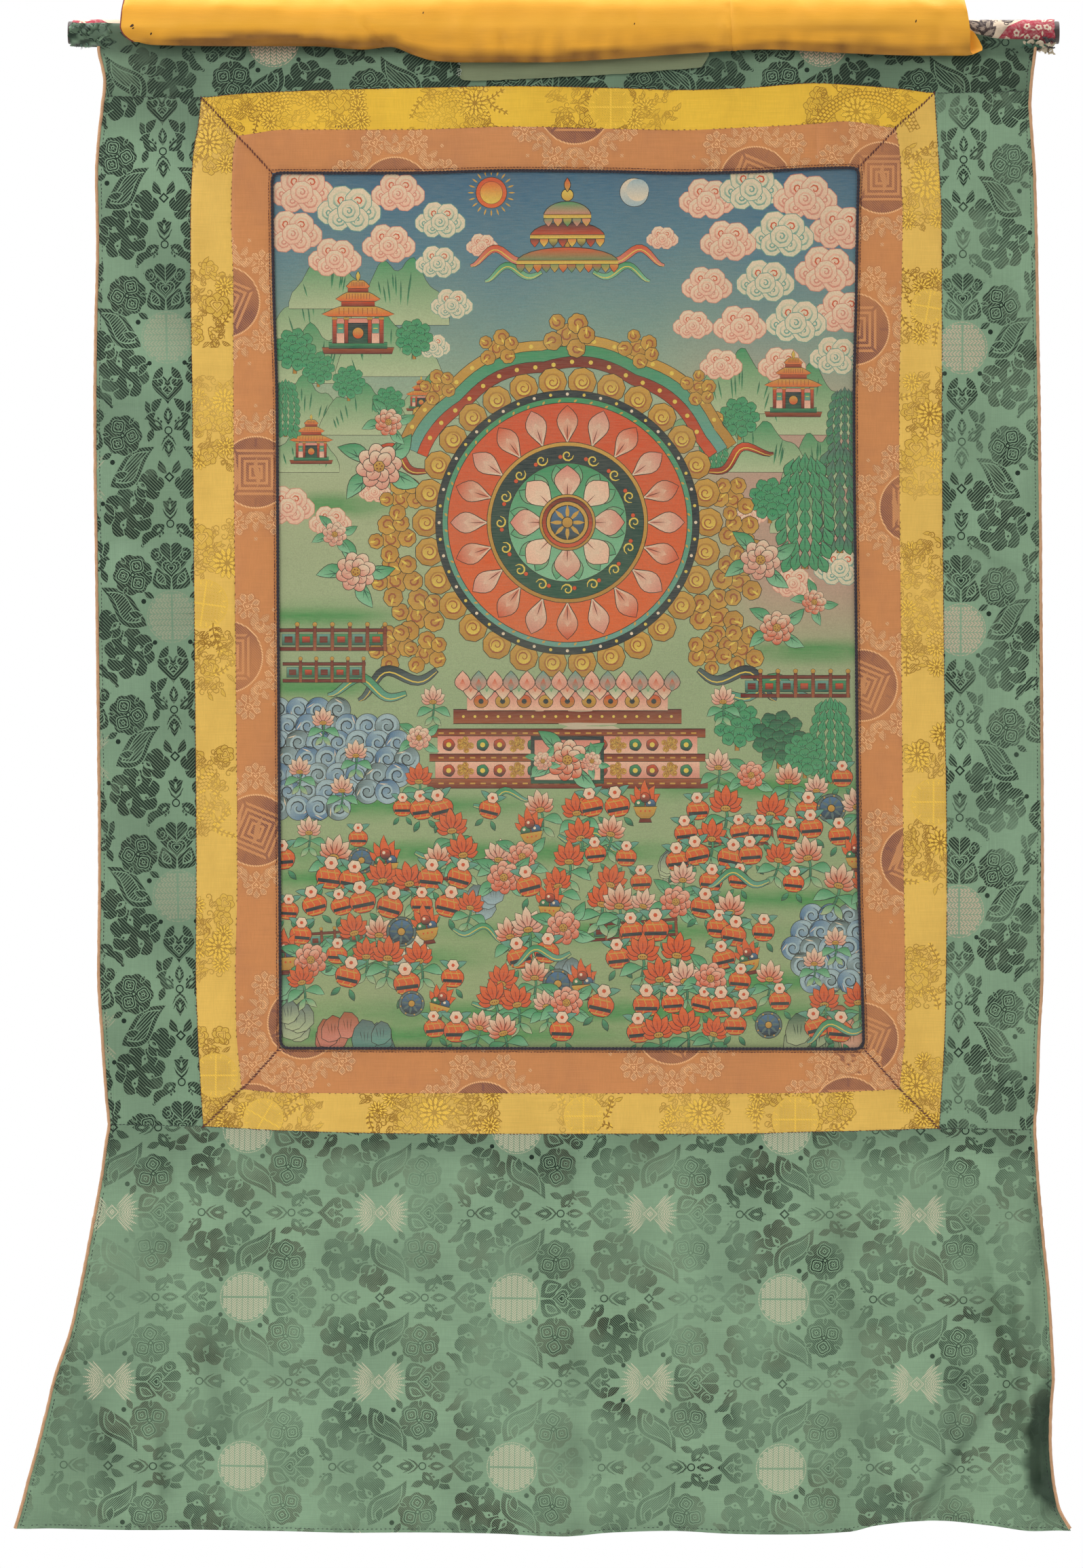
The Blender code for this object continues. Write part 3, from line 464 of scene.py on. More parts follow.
def gapped(points, value, gap=0.9):
    """Return a figure with a thin line of ground round it."""
    return [shape(grown(points, gap), GROUND), shape(points, value)]


def petal_lines(radius, count, shift):
    """Light lines that run in from the notches between petals."""
    lines = []
    for k in range(count):
        notch = 360 / count * (k + 0.5)
        spine = [polar(radius * share, notch + lean)
                 for share, lean in ((0.93, 0), (0.76, shift), (0.6, shift * 3))]
        lines.append(shape(stroke(spine, 0.85), GROUND))
    return lines


def plum_cluster():
    """A rounded mass with three outlined four-petalled blossoms."""
    shapes = gapped(ring(17, 63, lobes=9, depth=0.12), HATCH)
    for k in range(3):
        at = polar(8.0, 80 + 120 * k)
        for radius, value in ((6.9, GROUND), (6.1, DARK), (4.9, GROUND), (3.9, HATCH), (1.7, GROUND)):
            shapes.append(shape(ring(radius, 20, at, lobes=4, depth=0.24, turn=k * 20), value))
        shapes.append(shape(ring(0.8, 5, at), DARK))
        shapes += gapped(lens(6.4, 3.0, polar(11.2, 20 + 120 * k), 20 + 120 * k), HATCH, 0.6)
    return shapes + [shape(ring(2.7, 4), DARK), shape(ring(1.3, 4), GROUND)]


def brocade_peony(radius):
    """A big scalloped bloom with light drops in its petals."""
    shapes = gapped(ring(radius, 72, lobes=8, depth=0.2), HATCH) + petal_lines(radius, 8, 5)
    for angle, size in ((20, 0.5), (112, 0.44), (205, 0.52), (290, 0.4)):
        drop = lens(radius * size, radius * 0.27, polar(radius * 0.16, angle), angle + 12, fat=0.66, bow=1.4)
        shapes += [shape(drop, GROUND), shape(ring(radius * 0.05, 6, polar(radius * 0.5, angle + 14)), HATCH)]
    return shapes


def brocade_blossom(radius):
    shapes = gapped(ring(radius, 45, lobes=5, depth=0.24), HATCH) + petal_lines(radius, 5, 6)
    return shapes + [shape(lens(radius * 0.9, radius * 0.44, (-radius * 0.4, 0), -60, fat=0.62), GROUND),
                     shape(lens(radius * 0.4, radius * 0.2, (-radius * 0.2, -radius * 0.25), -60), HATCH)]


def brocade_leaf(length, width):
    """A leaf with a dark hatched border, a thin light line and a ribbed middle."""
    def one(share, value):
        foot = -length / 2 * share
        return shape(lens(length * share, width * share ** 1.7, (foot, 0), sway=width * 0.13, fat=0.42,
                          count=13), value)
    return [*gapped(one(1.0, HATCH).points, HATCH), one(0.79, GROUND), one(0.72, RIBS)]


def palmette():
    """The heart-topped palmette beside a medallion, with two eyed leaves at its foot."""
    shapes = []
    for side in (-1, 1):
        shapes += gapped(lens(21, 16, (22.5, 1.2 * side), 32 * side, bow=2.2 * side, count=10), HATCH)
        shapes += [shape(lens(13.5, 8.0, (26, 4.6 * side), 32 * side, bow=1.2 * side), GROUND),
                   shape(lens(11, 5.4, (27.2, 5.4 * side), 32 * side, bow=0.9 * side), RIBS)]
        shapes += gapped(lens(24, 11.5, (35, 3.5 * side), 40 * side, bow=-4.2 * side, count=10), HATCH)
        shapes += gapped(ring(5.4, 14, (51.5, 12.6 * side), squash=0.9), HATCH)
        shapes += [shape(curl(3.4, 1.0, 0.9, (51.5, 12.6 * side), hand=side, turn=200), GROUND)]
        shapes += gapped(lens(10, 5.2, (15.5, 15 * side), 60 * side), HATCH, 0.7)
    shapes += gapped(heart(9.6, (54, 0), 90, 22), HATCH)
    shapes.append(shape(stroke([(60, 0), (53, 0), (46, 0)], 0.8), GROUND))
    shapes += gapped(heart(7.6, (40, 0), 90, 18), HATCH, 1.0)
    for size, value in ((5.4, GROUND), (4.4, DARK), (3.2, GROUND), (2.0, DARK)):
        shapes.append(shape(heart(size, (40, 0), 90, 14), value))
    return shapes


def scroll_heart():
    """The scrolled heart on a medallion's other side, with a leaf at its tip."""
    shapes = gapped(heart(13.5, (-41, 0), 90, 24), HATCH)
    for side in (-1, 1):
        shapes += [shape(curl(5.0, 1.5, 1.0, (-36, 6.6 * side), turn=160 * side, hand=side), GROUND)]
        shapes += gapped(lens(13, 6.6, (-24, 4 * side), (180 - 40) * side, bow=1.4 * side), HATCH)
        shapes += gapped(lens(15, 7, (-50, 5 * side), (180 - 32) * side, bow=-2 * side), HATCH)
        shapes += [shape(ring(2.0, 8, (-21, 15 * side)), DARK)]
    shapes += [shape(heart(5.6, (-43, 0), 90, 16), GROUND), shape(heart(4.2, (-43, 0), 90, 14), RIBS)]
    return shapes + gapped(lens(15, 7.6, (-57, 0), 180), HATCH) + [shape(lens(8, 2.6, (-60, 0), 180), GROUND)]


def surround():
    """All that stands round one lattice point, above and below the line through it."""
    half = moved(brocade_peony(22), (-29, 37), -12)
    half += moved(brocade_blossom(13), (-6, 55), 10)
    half += moved(brocade_leaf(50, 20), (9, 41), 50)
    half += moved(plum_cluster(), (35, 33), 14)
    for length, width, at, turn, bow in ((13, 6.5, (14, 64), 152, 1.5), (14, 7, (-52, 19), 196, 1.0),
                                         (13, 6, (-21, 16), 140, -1), (12, 6, (29, 55), 20, 0),
                                         (15, 7, (-44, 57), 215, 1.5), (11, 5.5, (48, 52), 60, 1),
                                         (12, 6, (2, 25), 80, 1), (9, 5.5, (-20, 66), 120, 0)):
        half += gapped(lens(length, width, at, turn, bow=bow), HATCH)
    half += [shape(ring(2.2, 8, (13, 24)), DARK), shape(ring(1.6, 7, (59, 24)), HATCH)]
    return half + moved(half, flip=True) + palmette() + scroll_heart()


def round_medallion(radius=21.5):
    """A plain geometric roundel: a thin ring round upright columns of herringbone thread."""
    shapes = [shape(ring(radius, 48), THREAD_THIN), shape(ring(radius - 0.9, 48), GROUND)]
    bars = ((0, 19.6, 2.15), (4.75, 19.0, 2.05), (9.3, 17.2, 2.0), (13.6, 14.2, 1.9), (17.3, 9.4, 1.4))
    for across, reach, half in bars:
        for side in ((-1, 1) if across else (1,)):
            for low, high in ((-reach, -0.8), (0.8, reach)):
                for lean, start, stop in ((THREAD, -half, 0), (THREAD_BACK, 0, half)):
                    x = across * side
                    corners = [(x + start, low), (x + stop, low), (x + stop, high), (x + start, high)]
                    shapes.append(shape(corners, lean))
    return shapes


def bow_medallion():
    """A plain geometric bow: two fans of thin strokes of thread, ragged at their ends."""
    shapes = [shape(ring(6.6, 4), THREAD), shape(ring(4.4, 4), GROUND), shape(ring(3.2, 4), THREAD_BACK)]
    for side in (0, 180):
        for k in range(-6, 7):
            lean = side + 8.2 * k
            reach = 15.5 + 3.4 * (k % 2) + 0.06 * k * k
            shapes.append(shape(lens(reach + 1.8, 2.2, polar(3.4, lean), lean, fat=0.66, count=6),
                                (0, 0, 0.85, 0 if (k + side // 180) % 2 else 1)))
    return shapes


def sprigs():
    """The small diamond, arrow buds, rings and leaf pairs between the medallions."""
    shapes = [shape(ring(4.4, 4), DARK), shape(ring(2.6, 4), GROUND)]
    for side in (-1, 1):
        shapes += [shape(lens(14, 7.5, (30 * side, 0), 90 + 90 * side, fat=0.4, count=8), HATCH),
                   shape(lens(6, 2.6, (27 * side, 0), 90 + 90 * side, fat=0.4), GROUND)]
        for tip, spread in ((34.5, 6.4), (30.5, 5.6)):
            spine = [((tip - 8.5) * side, -spread), ((tip - 3) * side, -spread * 0.55), (tip * side, 0),
                     ((tip - 3) * side, spread * 0.55), ((tip - 8.5) * side, spread)]
            shapes.append(shape(stroke(spine, np.array([0.4, 1.5, 2.1, 1.5, 0.4])), (1, 0.5, 0, 0)))
        shapes += [shape(ring(3.5, 12, (38.4 * side, 0)), DARK),
                   shape(ring(2.5, 10, (38.4 * side, 0)), GROUND)]
        for level in (-1, 1):
            lean = 90 - side * 90 + side * level * 46
            foot = (39 * side, 5 * level)
            shapes.append(shape(lens(17, 8.6, foot, lean, bow=1.6 * side * level, fat=0.4, count=8), HATCH))
            for along, out in ((4.0, 3.2), (7.5, 3.4), (4.5, -3.2), (8, -3.0)):
                at = turned(np.array([(along, out)]), lean, foot)[0]
                shapes.append(shape(lens(3.2, 2.0, at, lean + (30 if out > 0 else -30)), HATCH))
            shapes.append(shape(lens(6, 2.4, turned(np.array([(3.5, 0.4)]), lean, foot)[0], lean), GROUND))
    return shapes


class BrocadeLay:
    """How one panel's brocade lies: where a disc falls, and how the repeat is turned and stretched."""

    def __init__(self, disc, right, down):
        self.disc = np.array(disc, dtype=float)
        self.change = np.array([right, down], dtype=float).T

    def to_cloth(self, points):
        return self.disc + points @ self.change.T

    def to_repeat(self, across, drop):
        return (np.stack([across, drop], 1) - self.disc) @ np.linalg.inv(self.change).T

    def weave(self, across, drop):
        """Return the repeat's own coordinates, mirrored at every row as the loom's harness does."""
        along, up = self.to_repeat(across, drop).T
        mirrored = REPEAT_TALL * (0.5 - np.abs((up / REPEAT_TALL) % 1.0 - 0.5))
        return np.stack([along, mirrored], 1) * MM

    def figures(self, outline):
        """Return every woven figure that touches the outline."""
        corners = self.to_repeat(*outline.T)
        low, high = corners.min(0) - 75, corners.max(0) + 75
        found = []
        kinds = ((0, 0, surround(), round_medallion()), (0.5, 0.5, surround(), bow_medallion()),
                 (0.5, 0, sprigs(), []), (0, 0.5, sprigs(), []))
        for shift, rise, shapes, medallion in kinds:
            for i in range(-4, 9):
                for j in range(-12, 13):
                    at = np.array([(i + shift) * REPEAT_WIDE, (j + rise) * REPEAT_TALL])
                    if (at < low).any() or (at > high).any():
                        continue
                    whole = shapes + medallion if self.to_cloth(at)[0] < FOLDED_IN else shapes
                    found += [one._replace(points=self.to_cloth(one.points)) for one in moved(whole, at)]
        return touching(found, outline)


def touching(shapes, outline):
    """Keep the figures whose boxes meet the outline's box."""
    low, high = outline.min(0), outline.max(0)
    return [one for one in shapes
            if (one.points.max(0) > low).all() and (one.points.min(0) < high).all()]


# ==== making a sheet ==============================================================================
def far_from(points, outline):
    """Return each point's distance from the nearest edge of an outline."""
    nearest = np.full(len(points), 1e9)
    for start, stop in zip(outline, np.roll(outline, -1, 0)):
        run = stop - start
        t = np.clip((points - start) @ run / (run @ run), 0, 1)
        nearest = np.minimum(nearest, np.hypot(*(points - start - t[:, None] * run).T))
    return nearest


def facing_up(outline):
    """Return the outline the way round that the triangulation takes for the inside.

    It ends with a long edge that has the inside on its left, because the figure is filled from there;
    an outline without such an edge has crossed over itself and gives None.
    """
    x, y = outline.T
    if np.sum(x * np.roll(y, -1) - y * np.roll(x, -1)) < 0:
        outline = outline[::-1]
    after = np.roll(outline, -1, 0)
    run = after - outline
    length = np.hypot(*run.T)
    for k in np.argsort(-length)[:6]:
        if length[k] < 0.02:
            break
        left = np.array([-run[k][1], run[k][0]]) / length[k] * min(0.03, length[k] / 8)
        for share in (0.06, 0.5, 0.94):
            across, drop = outline[k] + run[k] * share + left
            spans = (outline[:, 1] > drop) != (after[:, 1] > drop)
            crossing = outline[spans, 0] + (drop - outline[spans, 1]) * run[spans, 0] / run[spans, 1]
            if np.sum(crossing > across) % 2 == 0:
                break
        else:
            return np.roll(outline, -k - 1, 0)
    return None


def crease_points():
    """Return points along every sharp crease and beside it, so that the sheets can bend there."""
    found = []
    for across_1, drop_1, across_2, drop_2, width, _ in np.concatenate([CREASES, FOLDS[FOLDS[:, 4] < 18]]):
        start, run = np.array([across_1, drop_1]), np.array([across_2 - across_1, drop_2 - drop_1])
        length = math.hypot(*run)
        side = np.array([-run[1], run[0]]) / length * width
        for t in np.linspace(0.0, 1.0, max(round(length / 5), 3)):
            found += [start + t * run + side * off for off in (-1.6, -0.8, 0.0, 0.8, 1.6)]
    return np.array(found)


CREASE_POINTS = crease_points()


def filling(outline, cell):
    """Return a loose grid over an outline's box, with the points of the creases in it."""
    low, high = outline.min(0), outline.max(0)
    across, drop = np.meshgrid(np.arange(low[0] + cell / 2, high[0], cell),
                               np.arange(low[1] + cell / 2, high[1], cell))
    grid = np.stack([across.ravel(), drop.ravel()], 1)
    grid[:, 0] += 0.31 * cell * ((grid[:, 1] / cell) % 2 > 1)
    near = ((CREASE_POINTS > low) & (CREASE_POINTS < high)).all(1)
    return np.concatenate([grid, CREASE_POINTS[near]])


def all_lines(outline, shapes):
    """Cut every figure into an outline: return points, triangles and each one's topmost figure."""
    corners, faces, used = [facing_up(outline)], [list(range(len(outline)))], []
    count = len(outline)
    for index, one in enumerate(shapes):
        upward = facing_up(one.points)
        if upward is not None:
            corners.append(upward)
            faces.append(list(range(count, count + len(upward))))
            used.append(index)
            count += len(upward)
    flat = [Vector(place) for place in np.concatenate(corners)]
    places, _, triangles, _, _, origins = delaunay_2d_cdt(flat, [], faces, 0, 1e-4, True)
    kept = [(face, max(origin) - 1) for face, origin in zip(triangles, origins) if 0 in origin]
    figures = np.array(used + [-1])[[figure for _, figure in kept]]
    return np.array([tuple(place) for place in places]), np.array([face for face, _ in kept]), figures


def rim_of(triangles):
    """Return the points round the edge of a flat mesh, in order."""
    edges = ({(a, b) for a, b, c in triangles} | {(b, c) for a, b, c in triangles}
             | {(c, a) for a, b, c in triangles})
    after = {a: b for a, b in edges if (b, a) not in edges}
    start = next(iter(after))
    loop = [start]
    while after[loop[-1]] != start and len(loop) <= len(after):
        loop.append(after[loop[-1]])
    return loop


def visible_lines(points, triangles, top, slack):
    """Return the points and edges where the topmost figure changes, thinned out, and the rim."""
    loop = rim_of(triangles.tolist())
    on_rim = set(loop)
    edges = np.concatenate([triangles[:, [0, 1]], triangles[:, [1, 2]], triangles[:, [2, 0]]])
    edges.sort(axis=1)
    sides = np.tile(top, 3)
    order = np.lexsort((edges[:, 1], edges[:, 0]))
    edges, sides = edges[order], sides[order]
    twin = np.zeros(len(edges), dtype=bool)
    twin[1:] = (edges[1:] == edges[:-1]).all(1)
    inner = np.roll(twin, -1) & ~twin
    same = inner & (sides == np.roll(sides, -1))
    lines = edges[~twin & ~same]
    near = {}
    for a, b in lines.tolist():
        near.setdefault(a, []).append(b)
        near.setdefault(b, []).append(a)
    place = points.tolist()
    for _ in range(3):
        held = set()
        for k in list(near):
            if k in held or len(near[k]) != 2:
                continue
            a, b = near[k]
            if a == b or b in near[a]:
                continue
            run = (place[b][0] - place[a][0], place[b][1] - place[a][1])
            length = math.hypot(*run)
            aside = run[0] * (place[k][1] - place[a][1]) - run[1] * (place[k][0] - place[a][0])
            away = abs(aside) / (length + 1e-9)
            if away < (0.02 if k in on_rim else slack) and length < 12:
                near[a][near[a].index(k)] = b
                near[b][near[b].index(k)] = a
                del near[k]
                held.update((a, b))
    kept = sorted(near)
    number = {old: new for new, old in enumerate(kept)}
    return (points[kept], [(number[a], number[b]) for a in near for b in near[a] if a < b],
            [number[k] for k in loop if k in near])


def cut_outline(outline, shapes, cell, slack=0.1):
    """Cut figures into an outline: return points, triangles and each triangle's topmost figure."""
    places, faces, top = all_lines(outline, shapes)
    kept, lines, loop = visible_lines(places, faces, top, slack)
    loose = [filling(outline, cell)] + [grown(outline, -by) for by in (1.2, 2.8)]
    flat = [Vector(place) for place in np.concatenate([kept] + loose)]
    points, _, triangles, _, _, origins = delaunay_2d_cdt(flat, lines, [loop], 0, 1e-4, True)
    points = np.array([tuple(place) for place in points])
    triangles = np.array([face for face, origin in zip(triangles, origins) if origin])
    tree = BVHTree.FromPolygons([(x, y, 0.0) for x, y in places.tolist()], faces.tolist())
    figures = np.array([top[tree.find_nearest((x, y, 0.0))[2]]
                        for x, y in points[triangles].mean(1).tolist()])
    used, triangles = np.unique(triangles, return_inverse=True)
    return points[used], triangles.reshape(-1, 3), figures


def values_at(points, triangles, top, shapes, ground):
    """Return the four figure values at every corner of every triangle."""
    corners = points[triangles].reshape(-1, 2)
    figure = np.repeat(top, 3)
    values = ground(*corners.T)
    if shapes:
        inside = figure >= 0
        index = figure[inside]
        colour, fade = np.array([s.colour for s in shapes])[index], np.array([s.fade for s in shapes])[index]
        start, end = np.array([s.start for s in shapes])[index], np.array([s.end for s in shapes])[index]
        run = end - start
        t = np.clip(((corners[inside] - start) * run).sum(1) / (run * run).sum(1), 0, 1)[:, None]
        values[inside] = colour + (fade - colour) * t
    return values


def normals_of(surface, across, drop, step=0.3):
    """Return the surface's unit normals, towards the cloth's right side."""
    along = surface(across + step, drop) - surface(across - step, drop)
    down = surface(across, drop + step) - surface(across, drop - step)
    normal = -np.cross(along, down)
    return normal / (np.linalg.norm(normal, axis=1)[:, None] + 1e-12)


def plain_ground(across, drop):
    return np.zeros((len(across), 4))


def flat_weave(across, drop):
    return np.stack([across, drop], 1) * MM


def make_sheet(name, outline, shapes, surface, materials, cell=8.0, thickness=1.0, weave=flat_weave,
               ground=plain_ground, weight=None, dip=0.42, pucker=0.22, back_cell=11.0, slack=0.1,
               shade=None, thread=1.0):
    """Make a sheet with its figures cut in, a plain reverse, and edges that draw in at the seams."""
    points, triangles, top = cut_outline(outline, shapes, cell, slack)
    edge = far_from(points, outline)
    right = surface(*points.T)
    normal = normals_of(surface, *points.T)
    sunk = -dip * np.exp(-(edge / 1.3) ** 2) + pucker * waves(*points.T, 13, 11) * np.exp(-(edge / 7) ** 2)
    front = right + normal * ((thickness / 2 + sunk) * MM)[:, None]

    loop = rim_of(triangles)
    grid = [Vector(place) for place in filling(outline, back_cell)]
    rim = [Vector(points[i]) for i in loop]
    places, _, back_faces, origin, _, inside = delaunay_2d_cdt(
        rim + grid, [], [list(range(len(rim)))], 0, 1e-5, True)
    back_faces = [face for face, source in zip(back_faces, inside) if 0 in source]
    back_flat = np.array([tuple(place) for place in places])
    partner = {source: i for i, sources in enumerate(origin) for source in sources}
    back = surface(*back_flat.T) - normals_of(surface, *back_flat.T) * thickness / 2 * MM
    base = len(front)

    corners = np.concatenate([front, back])
    faces = [tuple(face[::-1]) for face in triangles.tolist()]
    faces += [tuple(base + i for i in face) for face in back_faces]
    for k in range(len(loop)):
        a, b = loop[k], loop[(k + 1) % len(loop)]
        c, d = base + partner[(k + 1) % len(loop)], base + partner[k]
        faces.append((a, b, c, d) if c != d else (a, b, c))
    mesh = bpy.data.meshes.new(name)
    mesh.from_pydata(corners.tolist(), [], faces)

    values = values_at(points, triangles, top, shapes, ground)
    across, drop = points[triangles].reshape(-1, 2).T
    if weight is not None:
        values[:, :2] *= weight(across, drop)[:, None]
        values[:, 2] *= thread
    # Shade darkens the sheet towards its dark colour: painted shade, and on some panels darker tone.
    if shade is not None:
        values[:, 1] = 1 - (1 - values[:, 1]) * (1 - shade(across, drop))
    values = values.reshape(-1, 3, 4)[:, ::-1].reshape(-1, 4)
    everything = np.zeros((len(mesh.loops), 4))
    everything[:len(values)] = values
    attribute = mesh.color_attributes.new(name="figure", type="FLOAT_COLOR", domain="CORNER")
    attribute.data.foreach_set("color", everything.astype(np.float32).ravel())
    flat = np.concatenate([weave(*points.T), weave(*back_flat.T)])
    corner_points = np.empty(len(mesh.loops), dtype=np.int32)
    mesh.loops.foreach_get("vertex_index", corner_points)
    mesh.uv_layers.new(name="weave").data.foreach_set("uv", flat[corner_points].astype(np.float32).ravel())
    index = np.ones(len(mesh.polygons), dtype=np.int32)
    index[:len(triangles)] = 0
    for material in materials:
        mesh.materials.append(material)
    mesh.polygons.foreach_set("material_index", index)
    mesh.validate()
    mesh.shade_smooth()
    mesh.set_sharp_from_angle(angle=math.radians(55))
    return place_piece(bpy.data.objects.new(name, mesh))


def place_piece(piece):
    """Link a new piece to the scene; it rides on the hanging's one body."""
    bpy.context.scene.collection.objects.link(piece)
    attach(piece, "root")
    return piece


def area_of(outline):
    x, y = outline.T
    return abs(np.sum(x * np.roll(y, -1) - y * np.roll(x, -1))) / 2 * MM * MM


def declare_cloth(outline, node, rests_on):
    """Hide the node that the cloth stands for; its size and area are worked out but not kept."""
    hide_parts(node)
    size = (outline.max(0) - outline.min(0)) * MM
    float(min(area_of(outline), size[0] * size[1]))
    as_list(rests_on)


# ==== materials ===================================================================================
class Shader:
    """A material under construction, with short calls for the nodes that the finishes need."""

    def __init__(self, name):
        self.material = bpy.data.materials.new(name)
        self.material.use_nodes = True
        self.tree = self.material.node_tree
        self.principled = self.tree.nodes["Principled BSDF"]

    def node(self, kind, **inputs):
        made = self.tree.nodes.new(kind)
        for key, value in inputs.items():
            self.join(made.inputs[key], value)
        return made

    def join(self, socket, value):
        if isinstance(value, bpy.types.NodeSocket):
            self.tree.links.new(value, socket)
        else:
            socket.default_value = value

    def set(self, **inputs):
        for key, value in inputs.items():
            self.join(self.principled.inputs[key.replace("_", " ")], value)

    def math(self, operation, a, b=0.0, clamp=False):
        made = self.tree.nodes.new("ShaderNodeMath")
        made.operation, made.use_clamp = operation, clamp
        self.join(made.inputs[0], a)
        self.join(made.inputs[1], b)
        return made.outputs[0]

    def times(self, a, b, clamp=False):
        return self.math("MULTIPLY", a, b, clamp)

    def plus(self, a, b):
        return self.math("ADD", a, b)

    def mix(self, factor, a, b, kind="MIX"):
        made = self.tree.nodes.new("ShaderNodeMix")
        made.data_type, made.blend_type = "RGBA", kind
        self.join(made.inputs["Factor"], factor)
        for socket, value in ((made.inputs[6], a), (made.inputs[7], b)):
            self.join(socket, value if isinstance(value, bpy.types.NodeSocket) else (*tuple(value)[:3], 1.0))
        return made.outputs[2]

    def between(self, value, low, high, to_low=0.0, to_high=1.0):
        made = self.node("ShaderNodeMapRange", **{"Value": value, "From Min": low, "From Max": high,
                                                  "To Min": to_low, "To Max": to_high})
        return made.outputs[0]

    def place(self, scale=(1, 1, 1), uv=None):
        """Return the piece's own coordinates in metres, or those of its weave, stretched by scale."""
        if uv:
            source = self.tree.nodes.new("ShaderNodeUVMap")
            source.uv_map = uv
            out = source.outputs[0]
        else:
            out = self.tree.nodes.new("ShaderNodeTexCoord").outputs["Object"]
        made = self.node("ShaderNodeMapping", Vector=out)
        made.inputs["Scale"].default_value = scale
        return made.outputs[0]

    def noise(self, vector, scale, detail=3.0, roughness=0.55):
        return self.node("ShaderNodeTexNoise", Vector=vector, Scale=scale, Detail=detail,
                         Roughness=roughness).outputs[0]

    def figure(self):
        """Return the four figure values of the sheet."""
        source = self.tree.nodes.new("ShaderNodeAttribute")
        source.attribute_name = "figure"
        split = self.node("ShaderNodeSeparateColor", Color=source.outputs["Color"])
        return (*split.outputs, source.outputs["Alpha"])

    def bump(self, height, distance, strength=1.0):
        made = self.node("ShaderNodeBump", Height=height, Distance=distance, Strength=strength)
        return made.outputs[0]

    def stripes(self, value, pitch, low=-0.45, high=0.45):
        """Return soft stripes from 0 to 1 along a coordinate in metres."""
        wave = self.math("SINE", self.times(value, 2 * math.pi / pitch))
        return self.between(wave, low, high)


def woven_silk(name, ground, dark, bright, pitch, roughness=0.48, metal=0.0, streaks=0.5,
               mottle=0.35, tinted=0.0):
    """Figured silk: hatching, solid dark and bright threads over a satin ground with weft streaks."""
    made = Shader(name)
    hatch, solid, thread, lean = made.figure()
    split = made.node("ShaderNodeSeparateXYZ", Vector=made.place(uv="weave"))
    along, up = split.outputs[0], split.outputs[1]
    slope = made.math("SUBTRACT", made.times(lean, 2.0), 1.0)
    diagonal = made.plus(along, made.times(up, slope))
    stripe = made.stripes(diagonal, pitch * math.sqrt(2), -0.6, 0.15)
    worn = made.noise(made.place((1, 1, 1)), 55.0, 4.0, 0.6)
    hatched = made.times(made.times(hatch, stripe), made.between(worn, 0.3, 0.62, 0.7, 1.08))
    # The solid value also carries the painted shade from the sheet's shade and ground.
    darkness = made.math("MAXIMUM", hatched, solid, clamp=True)

    streak = made.noise(made.place((30, 1500, 1), uv="weave"), 1.0, 2.0, 0.7)
    fine = made.noise(made.place((900, 90, 1), uv="weave"), 1.0, 2.0, 0.6)
    cloudy = made.noise(made.place((1, 1, 1)), 9.0, 4.0, 0.6)
    base = made.mix(made.between(cloudy, 0.35, 0.68, 0.0, mottle), ground,
                    [c * f for c, f in zip(ground, (0.80, 0.84, 0.90))])
    base = made.mix(made.between(streak, 0.3, 0.7, 0.0, streaks), base,
                    [min(c * 1.22 + 0.01, 1) for c in ground[:3]])
    base = made.mix(made.between(fine, 0.35, 0.7, 0.0, 0.22), base, [c * 0.72 for c in ground[:3]])
    if tinted:
        patches = made.between(made.noise(made.place((1, 1, 1)), 26.0, 2.0, 0.5), 0.46, 0.6, 0.0, tinted)
        base = made.mix(made.times(hatch, patches, clamp=True), base, srgb(126, 92, 74))
    base = made.mix(darkness, base, dark)
    glint = made.times(thread, made.between(stripe, 0.0, 1.0, 0.12, 1.0), clamp=True)
    base = made.mix(glint, base, bright)
    height = made.plus(made.times(made.plus(hatch, thread), made.plus(stripe, 0.4)),
                       made.times(streak, 0.5))
    made.set(Base_Color=base, Normal=made.bump(height, 0.00022, 0.8),
             Roughness=made.between(made.plus(darkness, made.times(cloudy, 0.4)), 0.0, 1.4,
                                    roughness - 0.06, roughness + 0.14))
    if metal:
        made.set(Metallic=made.times(glint, metal))
    made.set(Sheen_Weight=0.05, Sheen_Roughness=0.4, Specular_IOR_Level=0.26)
    return made.material


def plain_cloth(name, colour, pitch=0.0008, roughness=0.85, mottle=0.3, sheen=0.2):
    """Plain-woven cloth: over and under threads, small slubs and uneven dye."""
    made = Shader(name)
    split = made.node("ShaderNodeSeparateXYZ", Vector=made.place())
    warp = made.stripes(split.outputs[0], pitch)
    weft = made.stripes(made.plus(split.outputs[2], split.outputs[1]), pitch)
    threads = made.times(made.plus(warp, weft), 0.5)
    slub = made.noise(made.place((60, 60, 900)), 1.0, 3.0, 0.6)
    cloudy = made.noise(made.place(), 14.0, 4.0, 0.6)
    base = made.mix(made.between(cloudy, 0.35, 0.7, 0.0, mottle), colour, [c * 0.68 for c in colour[:3]])
    base = made.mix(made.between(slub, 0.4, 0.75, 0.0, 0.3), base, [min(c * 1.25, 1) for c in colour[:3]])
    base = made.mix(made.between(threads, 0, 1, 0.25, 0.0), base, [c * 0.6 for c in colour[:3]])
    made.set(Base_Color=base, Normal=made.bump(made.plus(threads, slub), 0.00012, 0.7))
    made.set(Roughness=roughness, Sheen_Weight=sheen, Specular_IOR_Level=0.25)
    return made.material


